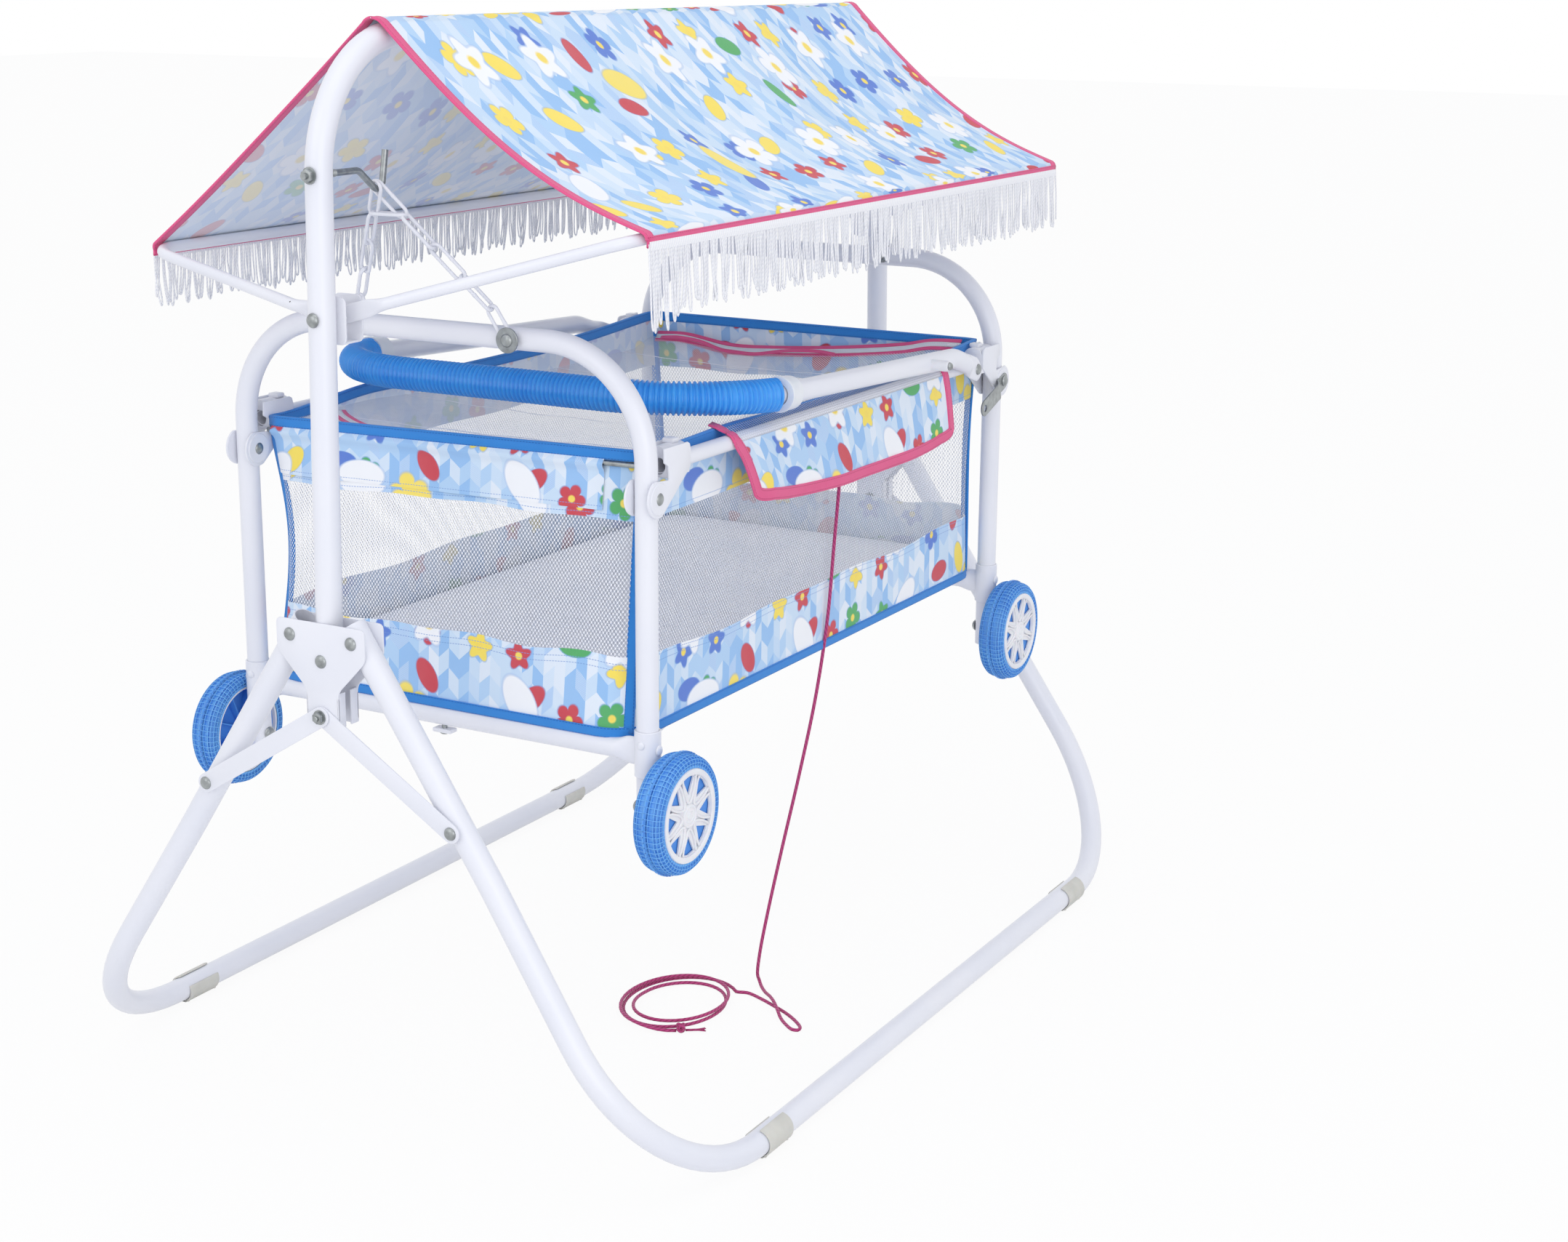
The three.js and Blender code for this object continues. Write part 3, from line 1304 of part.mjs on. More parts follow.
// One link between the two places where its inner ends bear
function chainLink(from, to, normal) {
  const way = to.clone().sub(from).normalize();
  const across = normal.clone().cross(way).normalize();
  const half = chainInnerWidth / 2 + chainWireRadius;
  const bend = half - chainWireRadius;
  const rings = [];
  const steps = 2;
  const wireSides = 4;
  for (const [bearing, facing] of [[to, 1], [from, -1]]) {
    const middle = bearing.clone().addScaledVector(way, -facing * bend);
    for (let k = 0; k <= steps; k++) {
      const angle = Math.PI * k / steps;
      const out = across.clone().multiplyScalar(facing * Math.cos(angle))
        .addScaledVector(way, facing * Math.sin(angle));
      const along = out.clone().cross(normal).normalize();
      const at = middle.clone().addScaledVector(out, half);
      rings.push(ringAt(at, along, normal, chainWireRadius, wireSides));
    }
  }
  return closedRun(rings);
}

// The bearings of one side's links: four in line from the hook's dip, and the last upright on the arch's bolt
function chainBearings(side) {
  const dip = hookStations.reduce((lowest, { at }) => (at.z < lowest.z ? at : lowest), hookStations[0].at);
  const saddle = dip.clone().setX(dip.x + seatGap - side * (chainWireRadius + seatGap));
  const bolt = new THREE.Vector3(chainSeatX, side * chainBoltY, archTopHeight);
  const upright = saddle.clone().sub(bolt).setX(0).normalize();
  const foot = bolt.addScaledVector(upright, -(chainBoltRadius + seatGap) * Math.SQRT2);
  const seatDepth = (hookRodRadius + chainSaddleGap) * Math.SQRT2;
  const top = saddle.addScaledVector(foot.clone().sub(saddle).normalize(), -seatDepth);
  const span = top.clone().sub(foot);
  const rise = span.dot(upright);
  const inLine = chainLinksPerSide - 1;
  const spread = inLine ** 2 - 1;
  const pitch = (Math.sqrt(rise ** 2 + spread * span.lengthSq()) - rise) / spread;
  const lastJoint = foot.clone().addScaledVector(upright, pitch);
  const joint = (k) => top.clone().lerp(lastJoint, k / inLine);
  const bearings = Array.from({ length: inLine }, (_, k) => [joint(k), joint(k + 1)]);
  bearings.push([lastJoint, foot]);
  const lap = chainWeldOverlap / 2;
  return bearings.map(([from, to], k) => {
    const way = to.clone().sub(from).normalize();
    const start = k === 0 ? from : from.clone().addScaledVector(way, lap);
    const end = k === inLine ? to : to.clone().addScaledVector(way, -lap);
    return [start, end];
  });
}

function chain() {
  const links = [];
  const crossways = new THREE.Vector3(1, 0, 0);
  const runs = [-1, 1].map(chainBearings);
  for (const run of runs) {
    run.forEach(([from, to], k) => {
      const way = to.clone().sub(from).normalize();
      const flat = crossways.clone().addScaledVector(way, -way.x).normalize();
      links.push(chainLink(from, to, k % 2 === 0 ? flat : way.clone().cross(flat)));
    });
  }
  const [right, left] = runs.map(([[, to]]) => to.clone());
  links.push(chainLink(right, left, new THREE.Vector3(0, 0, 1)));
  return joined(...links);
}

// Basket: a fabric tub with an open top, its rim dipping a little along the sides, wider at its foot
function basket() {
  const dip = (ring, sag) => ring.map((p) => {
    const share = 1 - (p.x / basketTopHalfLength) ** 2;
    return new THREE.Vector3(p.x, p.y, p.z - sag * Math.max(share, 0));
  });
  const height = basketTop - basketFoot;
  const outerAt = (share, lift = 0) => roundedRectangle(
    THREE.MathUtils.lerp(basketFootHalfLength, basketTopHalfLength, share) - lift, basketHalfWidth - lift,
    THREE.MathUtils.lerp(basketFootCorner, basketTopCorner, share) - lift, basketFoot + height * share);
  const turnShare = 0.06;
  return loft([
    outerAt(0, basketWall), outerAt(turnShare), dip(outerAt(1), rimSag),
    dip(outerAt(1, basketWall), rimSag), outerAt(turnShare, basketWall),
    outerAt(0, basketWall * 2).map((p) => p.setZ(p.z + basketWall)),
  ]);
}

// Mattress: soft sides drawn in at the seams and a crowned top
function mattress() {
  const foot = basketFoot + basketWall + seatGap;
  const halfX = basketFootHalfLength - basketWall - mattressInset;
  const halfY = basketHalfWidth - basketWall - mattressInset;
  const corner = basketFootCorner;
  const layerShares = [[0.965, 0], [1, 0.2], [0.995, 0.7], [0.955, 1]];
  const rings = layerShares.map(([width, up]) => (
    roundedRectangle(halfX * width, halfY * width, corner * width, foot + mattressThickness * up)));
  const crownShares = [[0.72, 0.5], [0.35, 0.9]];
  for (const [width, up] of crownShares) {
    const z = foot + mattressThickness + mattressCrown * up;
    rings.push(roundedRectangle(halfX * width, halfY * width, corner * width, z));
  }
  return loft(rings);
}

// Mosquito net: a coarse flat net inside the rim, dipping towards its middle and lower at the far end
function netCover() {
  const halfX = basketTopHalfLength - basketWall - netInset;
  const halfY = basketHalfWidth - basketWall - netInset;
  const edgesOf = (half, gaps) => Array.from({ length: gaps + 1 }, (_, k) => {
    const start = -half + (2 * half - netStrand) * k / gaps;
    return [start, start + netStrand];
  }).flat();
  const [xs, ys] = [edgesOf(halfX, netColumns), edgesOf(halfY, netRows)];
  const heightAt = (x, y) => (
    netTop - netSag * (1 - (x / halfX) ** 2) - netSag * (1 - (y / halfY) ** 2) / 2
    - netFarDrop * (x + halfX) / (2 * halfX));
  const vertices = [];
  for (const depth of [0, netThickness]) {
    for (const x of xs) {
      for (const y of ys) vertices.push(new THREE.Vector3(x, y, heightAt(x, y) - depth));
    }
  }
  const back = xs.length * ys.length;
  const at = (i, j) => i * ys.length + j;
  const solid = (i, j) => (
    i >= 0 && j >= 0 && i < xs.length - 1 && j < ys.length - 1 && (i % 2 === 0 || j % 2 === 0));
  const index = [];
  const quad = (a, b, c, d) => index.push(a, b, c, a, c, d);
  const wall = (a, b) => quad(a, back + a, back + b, b);
  for (let i = 0; i < xs.length - 1; i++) {
    for (let j = 0; j < ys.length - 1; j++) {
      if (!solid(i, j)) continue;
      const [a, b, c, d] = [at(i, j), at(i + 1, j), at(i + 1, j + 1), at(i, j + 1)];
      quad(a, b, c, d);
      quad(back + a, back + d, back + c, back + b);
      if (!solid(i, j - 1)) wall(a, b);
      if (!solid(i + 1, j)) wall(b, c);
      if (!solid(i, j + 1)) wall(c, d);
      if (!solid(i - 1, j)) wall(d, a);
    }
  }
  return indexed(vertices, index);
}

// Side flap: cloth from the rim out over the right rail and down its outer side
function sideFlap() {
  const overRail = railRadius + seatGap + flapThickness;
  const start = archHalfWidth - basketHalfWidth - seatGap;
  const surface = (u, v) => {
    const t = THREE.MathUtils.clamp((v - flapRailShare) / (1 - flapRailShare), 0, 1);
    const near = THREE.MathUtils.lerp(flapTopNearX, flapFootNearX, t ** flapSpreadPower);
    const far = THREE.MathUtils.lerp(flapTopFarX, flapFootFarX, t ** flapSpreadPower);
    const x = THREE.MathUtils.lerp(near, far, u);
    if (v < flapRailShare) {
      const angle = Math.PI / 2 * (1 - v / flapRailShare);
      const y = archHalfWidth + overRail * Math.cos(angle);
      const z = railHeight + overRail * Math.sin(angle);
      return new THREE.Vector3(x, -Math.max(y, archHalfWidth - start), z);
    }
    const corner = 1 - (2 * u - 1) ** flapCornerPower;
    const fold = flapFoldDepth * t * Math.sin(2 * Math.PI * flapFoldCount * u);
    const drop = (railHeight - flapFoot) * t * (1 - flapCornerShare * (1 - corner));
    return new THREE.Vector3(x, -(archHalfWidth + overRail + Math.max(fold, 0)), railHeight - drop);
  };
  return sheet(surface, 10, 5, flapThickness);
}

// Pull cord: from the right rail down to the floor and out to a small loop, then the coil
const cordRoute = [
  [2, -241, 659.6], [2.3, -241, 640], [2.6, -240.5, 612], [2.7, -238.7, 580], [1.6, -234, 513],
  [-4, -230.4, 434], [-11, -220.7, 345], [-17.5, -204.5, 253], [-27, -189, 167], [-36, -176.4, 91],
  [-39, -168.4, 42], [-35, -163.5, 14], [-30, -163, 5], [-38, -170, 2.6], [-52, -183, 3], [-66, -197, 6],
  [-79, -209, 7.4], [-92, -220.5, 6], [-106, -233, 3], [-117, -246, 2.2], [-124, -257, 2.2],
  [-122.5, -263, 2.2], [-116, -262.5, 2.2], [-104, -251, 2.2], [-90, -231, 2.2], [-78, -207, 2.2],
  [-69.5, -188, 2.2], [-62.5, -166, 2.2],
];

function coilPoint(share) {
  const angle = coilStartAngle + 2 * Math.PI * coilTurns * share;
  const spiral = Math.abs(2 * share - 1);
  const size = THREE.MathUtils.lerp(coilInnerShare, coilOuterShare, spiral);
  const halfTurn = 0.5 / coilTurns;
  const climb = THREE.MathUtils.smoothstep(share, 0.5 - halfTurn / 2, 0.5 + halfTurn / 2);
  const settle = 1 - THREE.MathUtils.smoothstep(share, 1 - 0.14 / coilTurns, 1);
  const z = cordRadius + seatGap + (2 * cordRadius + coilLayerGap) * climb * settle;
  return new THREE.Vector3(
    coilX + coilHalfLength * size * Math.cos(angle), coilY + coilHalfWidth * size * Math.sin(angle), z);
}

function leastGap(points, radius, skip) {
  let least = Infinity;
  for (let i = 0; i < points.length; i++) {
    for (let j = i + skip; j < points.length; j++) least = Math.min(least, points[i].distanceTo(points[j]));
  }
  return least - 2 * radius;
}

function cordRun() {
  const end = coilPoint(0);
  const way = coilPoint(0.01).sub(end).normalize();
  const points = cordRoute.map((point) => new THREE.Vector3(...point));
  points.push(end.clone().addScaledVector(way, -seatGap));
  const curve = new THREE.CatmullRomCurve3(points, false, 'centripetal');
  const steps = 40;
  const stations = Array.from({ length: steps + 1 }, (_, k) => (
    { at: curve.getPointAt(k / steps), along: curve.getTangentAt(k / steps) }));
  stations.at(-1).along = way;
  stations[0].along = new THREE.Vector3(0, 0, -1);
  return sweep(stations, roundShape(cordRadius, cordSides), [1, 0, 0]);
}

function cordCoil() {
  const steps = Math.round(coilTurns * coilStepsPerTurn);
  const points = Array.from({ length: steps + 1 }, (_, k) => coilPoint(k / steps));
  console.log(`coil: least gap between loops ${leastGap(points, cordRadius, 8).toFixed(2)} mm`);
  const radii = points.map(() => cordRadius);
  const way = points.at(-1).clone().sub(points.at(-2)).setZ(0).normalize();
  const last = points.at(-1);
  for (const [distance, radius] of [
    [knotLength * 0.25, knotRadius], [knotLength * 0.75, knotRadius], [knotLength, cordRadius],
    [knotLength + tailLength * 0.6, cordRadius], [knotLength + tailLength, tailFlare],
  ]) {
    const at = last.clone().addScaledVector(way, distance);
    at.z = radius + seatGap;
    points.push(at);
    radii.push(radius);
  }
  const side = new THREE.Vector3(0, 0, 1);
  const rings = points.map((at, k) => {
    const before = k === 0 ? coilPoint(0) : points[k - 1];
    const after = k === 0 ? coilPoint(0.01) : points[Math.min(k + 1, points.length - 1)];
    return ringAt(at, after.clone().sub(before).normalize(), side, radii[k], cordSides);
  });
  return loft(rings);
}

// Assembly of the stand

piece(cradle, 'overhead_tube', overheadTube(), whitePaint);
twoEnds('hub_outer', hubOuter(), whitePaint);
twoEnds('hub_inner', hubInner(), whitePaint);
twoEnds('hook', hook(), zinc);
twoEnds('wing_bracket', wingBracket(), whitePaint);
for (const [sideName, side] of [['right', -1], ['left', 1]]) {
  piece(cradle, `floor_bar_${sideName}`, floorBar(side), whitePaint);
  for (const [endName, end] of [['near', -1], ['far', 1]]) {
    piece(cradle, `leg_${endName}_${sideName}`, legTube(end, side), whitePaint);
    piece(cradle, `foot_clip_${endName}_${sideName}`, footClip(end, side), clipPlastic);
  }
  piece(nearEnd, `brace_near_${sideName}`, brace(side, side > 0 ? 1 : 0), whitePaint);
  piece(farEnd, `brace_far_${sideName}`, brace(-side, side > 0 ? 0 : 1), whitePaint);
  piece(cradle, `wing_tube_${sideName}`, wingTube(side), whitePaint);
  piece(cradle, `canopy_panel_${sideName}`, canopyPanel(side), printCloth);
  piece(cradle, `fringe_${sideName}`, fringe(side), whiteCord);
}

// Assembly of the hanging cradle. The far end is turned round, so its right side is the near end's left.

piece(nearEnd, 'arch_near', arch(0), whitePaint);
piece(farEnd, 'arch_far', arch(1), whitePaint);
twoEnds('end_bar', endBar(), whitePaint);
twoEnds('band_rod', bandRod(), zinc);
twoEnds('chain', chain(), whitePaint);
for (const [sideName, side] of [['right', -1], ['left', 1]]) {
  piece(cradle, `rail_${sideName}`, rail(side), whitePaint);
  for (const [endName, parent, turned] of [['near', nearEnd, side], ['far', farEnd, -side]]) {
    piece(parent, `rail_bracket_${endName}_${sideName}`, railBracket(turned), whitePlastic);
    piece(parent, `wheel_rim_${endName}_${sideName}`, wheelRim(turned), whitePlastic);
    piece(parent, `tyre_${endName}_${sideName}`, tyre(turned), tyreBlue);
  }
}
piece(cradle, 'handle_tube', handleTube(), whitePaint);
piece(cradle, 'handle_grip', handleGrip(), gripBlue);
const link = piece(cradle, 'lock_link', lockLink(), zinc);
link.position.set(archX, 0, hingeRivetHeight);
link.rotation.y = Math.PI - lockLinkDroopAngle * degree;
piece(cradle, 'basket', basket(), printCloth);
piece(cradle, 'mattress', mattress(), mattressCloth);
piece(cradle, 'net_cover', netCover(), whiteNet);
piece(cradle, 'side_flap', sideFlap(), printCloth);
piece(cradle, 'cord_run', cordRun(), pinkCord);
piece(cradle, 'cord_coil', cordCoil(), pinkCord);

export default cradle;
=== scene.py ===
"""The looks of a swing cradle: a cloth basket on chains under a pitched canopy, on a folding tubular stand.

Sizes are written in millimetres and made metres by mm(). The near end is at -X and the cord's side at -Y.
"""
import logging
import math
import random
from dataclasses import dataclass, field
from enum import Enum
from typing import Callable, Sequence

import bpy
from mathutils import Matrix, Vector


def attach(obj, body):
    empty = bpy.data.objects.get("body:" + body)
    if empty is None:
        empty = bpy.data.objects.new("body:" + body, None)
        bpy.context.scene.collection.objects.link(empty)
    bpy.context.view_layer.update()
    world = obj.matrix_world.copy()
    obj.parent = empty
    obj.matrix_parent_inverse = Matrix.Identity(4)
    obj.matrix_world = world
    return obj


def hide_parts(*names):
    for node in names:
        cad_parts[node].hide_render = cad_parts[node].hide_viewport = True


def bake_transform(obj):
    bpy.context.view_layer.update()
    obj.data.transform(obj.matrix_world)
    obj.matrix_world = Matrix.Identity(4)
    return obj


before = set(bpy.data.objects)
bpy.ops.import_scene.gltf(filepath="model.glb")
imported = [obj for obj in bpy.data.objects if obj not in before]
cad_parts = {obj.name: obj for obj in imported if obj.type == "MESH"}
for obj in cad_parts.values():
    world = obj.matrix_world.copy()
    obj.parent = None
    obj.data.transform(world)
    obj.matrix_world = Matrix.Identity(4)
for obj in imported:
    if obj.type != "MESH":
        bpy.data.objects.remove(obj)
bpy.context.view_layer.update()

LOG = logging.getLogger("cradle")
MM = 0.001
TURN = Matrix.Rotation(math.pi, 4, "Z")
FLIP_SIDE = Matrix.Scale(-1, 4, (0, 1, 0))
X_WAY = Vector((1, 0, 0))
Y_WAY = Vector((0, 1, 0))
Z_WAY = Vector((0, 0, 1))
X_BACK = Vector((-1, 0, 0))
Y_BACK = Vector((0, -1, 0))
Z_BACK = Vector((0, 0, -1))
HARD_CREASE = 32
SOFT_CREASE = 60
Colour = tuple[float, float, float, float]
Surface = Callable[[float, float], Vector]


class Side(Enum):
    """The cradle's two long sides, by the sign of Y."""

    RIGHT = -1
    LEFT = 1

    @property
    def label(self) -> str:
        """The side in a piece's name."""
        return self.name.lower()


class End(Enum):
    """The cradle's two ends, by the sign of X."""

    NEAR = -1
    FAR = 1

    @property
    def label(self) -> str:
        """The end in a piece's name."""
        return self.name.lower()


def corner_label(end: End, side: Side) -> str:
    """A corner of the cradle in a piece's name."""
    return f"{end.label}_{side.label}"


def mm(x: float, y: float, z: float) -> Vector:
    """A place given in millimetres, in metres."""
    return Vector((x, y, z)) * MM


def paint(red: float, green: float, blue: float) -> Colour:
    """A colour as seen, of 0 to 255, in the linear values that shaders take."""
    def straight(value: float) -> float:
        """One part of the colour in linear values."""
        share = value / 255
        return share / 12.92 if share <= 0.04045 else ((share + 0.055) / 1.055) ** 2.4
    return (straight(red), straight(green), straight(blue), 1.0)


def lerp(start: float, end: float, share: float) -> float:
    """The value at this share of the way from start to end."""
    return start + (end - start) * share


def smoothstep(share: float) -> float:
    """A share that starts and ends gently."""
    share = min(max(share, 0.0), 1.0)
    return share * share * (3 - 2 * share)


def take(*pieces: bpy.types.Object) -> None:
    """Selects these pieces alone, the first of them active."""
    active = bpy.context.view_layer.objects.active
    if active is not None and active.mode != "OBJECT":
        bpy.ops.object.mode_set(mode="OBJECT")
    bpy.ops.object.select_all(action="DESELECT")
    for piece in pieces:
        piece.select_set(True)
    if pieces:
        bpy.context.view_layer.objects.active = pieces[0]


def named(name: str) -> bpy.types.Object:
    """Gives the piece that was just added its name, and returns it.

    Args:
        name: The piece's name.

    Returns:
        The piece.
    """
    piece = bpy.context.view_layer.objects.active
    piece.name = name
    piece.data.name = name
    return piece


def finish_with(piece: bpy.types.Object, kind: str, **settings: object) -> bpy.types.Object:
    """Adds a modifier to a piece and applies it.

    Args:
        piece: The piece.
        kind: The modifier's kind.
        settings: Its values by name.

    Returns:
        The piece.
    """
    take(piece)
    bpy.ops.object.modifier_add(type=kind)
    modifier = piece.modifiers[-1]
    for name, value in settings.items():
        setattr(modifier, name, value)
    bpy.ops.object.modifier_apply(modifier=modifier.name)
    return piece


def smoothed(piece: bpy.types.Object, angle: float = HARD_CREASE) -> bpy.types.Object:
    """Shades a piece smooth, but for edges sharper than the angle in degrees.

    Args:
        piece: The piece.
        angle: The sharpest angle that is shaded smooth, in degrees.

    Returns:
        The piece.
    """
    take(piece)
    bpy.ops.object.shade_smooth_by_angle(angle=math.radians(angle))
    return piece


def tidied(piece: bpy.types.Object) -> bpy.types.Object:
    """Merges a piece's doubled corners and points its faces outwards.

    Args:
        piece: The piece.

    Returns:
        The piece.
    """
    take(piece)
    bpy.ops.object.mode_set(mode="EDIT")
    bpy.ops.mesh.select_all(action="SELECT")
    bpy.ops.mesh.remove_doubles(threshold=1e-6)
    bpy.ops.mesh.normals_make_consistent(inside=False)
    bpy.ops.object.mode_set(mode="OBJECT")
    return piece


def moved(piece: bpy.types.Object, matrix: Matrix) -> bpy.types.Object:
    """Moves a piece in its own mesh, and keeps its faces outwards when the move mirrors it.

    Args:
        piece: The piece.
        matrix: The move.

    Returns:
        The piece.
    """
    piece.data.transform(matrix)
    if matrix.determinant() < 0:
        piece.data.flip_normals()
    return piece


def copied(piece: bpy.types.Object, name: str, matrix: Matrix = Matrix()) -> bpy.types.Object:
    """A copy of a piece with its own mesh.

    Args:
        piece: The piece to copy.
        name: The copy's name.
        matrix: The move that puts the copy in its place.

    Returns:
        The copy.
    """
    twin = piece.copy()
    twin.data = piece.data.copy()
    twin.name = name
    twin.data.name = name
    bpy.context.scene.collection.objects.link(twin)
    return moved(twin, matrix)


def joined(name: str, pieces: Sequence[bpy.types.Object]) -> bpy.types.Object:
    """Joins pieces into one, which keeps their finishes.

    Args:
        name: The piece's name.
        pieces: The pieces, which are used up.

    Returns:
        The joined piece.
    """
    take(*pieces)
    if len(pieces) > 1:
        bpy.ops.object.join()
    return named(name)


def basis(at: Vector, right: Vector, up: Vector) -> Matrix:
    """The move from a form's own X, Y and Z to right, up and the way square to both, at a place.

    Args:
        at: The place in metres.
        right: The way that the form's own X takes.
        up: The way that its own Y takes.

    Returns:
        The move.
    """
    out = right.cross(up)
    matrix = Matrix((right, up, out)).transposed().to_4x4()
    return Matrix.Translation(at) @ matrix


def facing(at: Vector, way: Vector) -> Matrix:
    """The move that stands a form turned about Z on a place, its top pointing the given way."""
    return Matrix.Translation(at) @ Z_WAY.rotation_difference(way).to_matrix().to_4x4()


def stood(piece: bpy.types.Object, at: Vector) -> bpy.types.Object:
    """Stands a plate that was drawn flat at a place, so that it is seen along X."""
    return moved(piece, basis(at, Y_WAY, Z_WAY))


def bent(corners: Sequence[Vector], radii: Sequence[float], step: float = 7) -> list[Vector]:
    """The points of a line that turns each inner corner on its radius.

    Args:
        corners: The line's corners in metres.
        radii: The bend radius in millimetres at each inner corner, or 0 to keep the corner.
        step: The most that the line turns between two points, in degrees.

    Returns:
        The points in order.
    """
    points = [corners[0].copy()]
    for before, corner, after, radius in zip(corners, corners[1:], corners[2:], radii):
        arrive, leave = (corner - before).normalized(), (after - corner).normalized()
        turn = arrive.angle(leave)
        if radius == 0 or turn < 1e-4:
            points.append(corner.copy())
            continue
        start = corner - arrive * radius * MM * math.tan(turn / 2)
        centre = corner + (leave - arrive).normalized() * radius * MM / math.cos(turn / 2)
        axis = arrive.cross(leave).normalized()
        count = max(2, math.ceil(math.degrees(turn) / step))
        for k in range(count + 1):
            points.append(centre + Matrix.Rotation(turn * k / count, 3, axis) @ (start - centre))
    points.append(corners[-1].copy())
    return points


def pipe(name: str, points: Sequence[Vector], radius: float, wall: float = 0,
         sides: int = 24) -> bpy.types.Object:
    """A round tube or rod along a line.

    Args:
        name: The piece's name.
        points: The line in metres.
        radius: The outer radius in millimetres.
        wall: The wall in millimetres, or 0 for a solid rod.
        sides: The number of flats round it.

    Returns:
        The piece, smooth.
    """
    take()
    bpy.ops.curve.primitive_nurbs_path_add()
    line = named(name)
    line.data.splines.clear()
    spline = line.data.splines.new("POLY")
    spline.points.add(len(points) - 1)
    for knot, place in zip(spline.points, points):
        knot.co = (*place, 1.0)
    line.data.bevel_depth = radius * MM
    line.data.bevel_resolution = sides // 2 - 2
    line.data.use_fill_caps = wall == 0
    take(line)
    bpy.ops.object.convert(target="MESH")
    piece = tidied(named(name))
    if wall:
        finish_with(piece, "SOLIDIFY", thickness=wall * MM, offset=-1.0)
    return smoothed(piece, 40)


def turned(name: str, profile: Sequence[tuple[float, float]], steps: int = 32,
           ring: bool = False) -> bpy.types.Object:
    """A form turned about Z.

    Args:
        name: The piece's name.
        profile: Its radius and height at each corner in millimetres.
        steps: The number of flats round it.
        ring: Whether the profile closes on itself.

    Returns:
        The piece, closed and smooth.
    """
    take()
    bpy.ops.mesh.primitive_circle_add(vertices=len(profile), fill_type="NOTHING")
    piece = named(name)
    for vertex, (radius, height) in zip(piece.data.vertices, profile):
        vertex.co = mm(radius, 0, height)
    last = len(profile) - 1
    bpy.ops.object.mode_set(mode="EDIT")
    if not ring:
        bpy.ops.mesh.select_mode(type="EDGE")
        bpy.ops.mesh.select_all(action="DESELECT")
        bpy.ops.object.mode_set(mode="OBJECT")
        for edge in piece.data.edges:
            edge.select = set(edge.vertices) == {0, last}
        bpy.ops.object.mode_set(mode="EDIT")
        bpy.ops.mesh.delete(type="EDGE")
        bpy.ops.mesh.select_mode(type="VERT")
    bpy.ops.mesh.select_all(action="SELECT")
    bpy.ops.mesh.spin(steps=steps, angle=math.tau, center=(0, 0, 0), axis=(0, 0, 1))
    return smoothed(tidied(piece))


def plate(name: str, outline: Sequence[tuple[float, float]], depth: float,
          edge: float = 0.4) -> bpy.types.Object:
    """A flat plate in the XY plane, from z = 0 up, with eased edges.

    Args:
        name: The piece's name.
        outline: Its corners in millimetres, in order round it.
        depth: Its thickness in millimetres.
        edge: How far its edges are eased, in millimetres.

    Returns:
        The piece.
    """
    take()
    bpy.ops.mesh.primitive_circle_add(vertices=len(outline), fill_type="NGON")
    piece = named(name)
    for vertex, (x, y) in zip(piece.data.vertices, outline):
        vertex.co = mm(x, y, 0)
    bpy.ops.object.mode_set(mode="EDIT")
    bpy.ops.mesh.select_all(action="SELECT")
    bpy.ops.mesh.extrude_region_move(TRANSFORM_OT_translate={"value": (0, 0, depth * MM)})
    bpy.ops.mesh.select_all(action="SELECT")
    bpy.ops.mesh.normals_make_consistent(inside=False)
    bpy.ops.object.mode_set(mode="OBJECT")
    if edge:
        finish_with(piece, "BEVEL", width=edge * MM, segments=2, limit_method="ANGLE",
                    angle_limit=math.radians(40))
    return smoothed(piece)


def block(name: str, low: Vector, high: Vector, edge: float = 0.6) -> bpy.types.Object:
    """A block between two corners in metres, its edges eased by so many millimetres.

    Args:
        name: The piece's name.
        low: Its lowest corner in metres.
        high: Its highest corner in metres.
        edge: The width of its eased edges in millimetres.

    Returns:
        The piece.
    """
    take()
    bpy.ops.mesh.primitive_cube_add(size=1)
    piece = named(name)
    piece.data.transform(Matrix.Translation((low + high) / 2) @ Matrix.Diagonal((*(high - low), 1)))
    finish_with(piece, "BEVEL", width=edge * MM, segments=3, limit_method="ANGLE")
    return smoothed(piece)


def bored(piece: bpy.types.Object, *tools: bpy.types.Object) -> bpy.types.Object:
    """Cuts tools out of a piece and takes them away."""
    for tool in tools:
        finish_with(piece, "BOOLEAN", object=tool, operation="DIFFERENCE", solver="EXACT")
        bpy.data.objects.remove(tool)
    return smoothed(piece)


def rounded(corners: Sequence[tuple[float, float]], radius: float,
            steps: int = 5) -> list[tuple[float, float]]:
    """An outline with its corners rounded off, in millimetres.

    Args:
        corners: The outline's corners in turn.
        radius: The radius of each corner.
        steps: The number of steps round each.

    Returns:
        The outline.
    """
    points = [Vector(corner) for corner in corners]
    outline = []
    for i, corner in enumerate(points):
        before = (points[i - 1] - corner).normalized() * radius
        after = (points[(i + 1) % len(points)] - corner).normalized() * radius
        for k in range(steps + 1):
            share = k / steps
            place = corner + before * (1 - share) ** 2 + after * share ** 2
            outline.append((place.x, place.y))
    return outline


def strip(start: tuple[float, float], end: tuple[float, float], width: float,
          steps: int = 10) -> list[tuple[float, float]]:
    """The outline of a strip with round ends between two places, in millimetres.

    Args:
        start: The middle of its first end.
        end: The middle of its second end.
        width: Its width.
        steps: The number of steps round each end.

    Returns:
        The outline.
    """
    heading = math.atan2(end[1] - start[1], end[0] - start[0])
    outline = []
    for centre, base in ((end, heading - math.pi / 2), (start, heading + math.pi / 2)):
        for k in range(steps + 1):
            angle = base + math.pi * k / steps
            outline.append((centre[0] + width / 2 * math.cos(angle),
                            centre[1] + width / 2 * math.sin(angle)))
    return outline


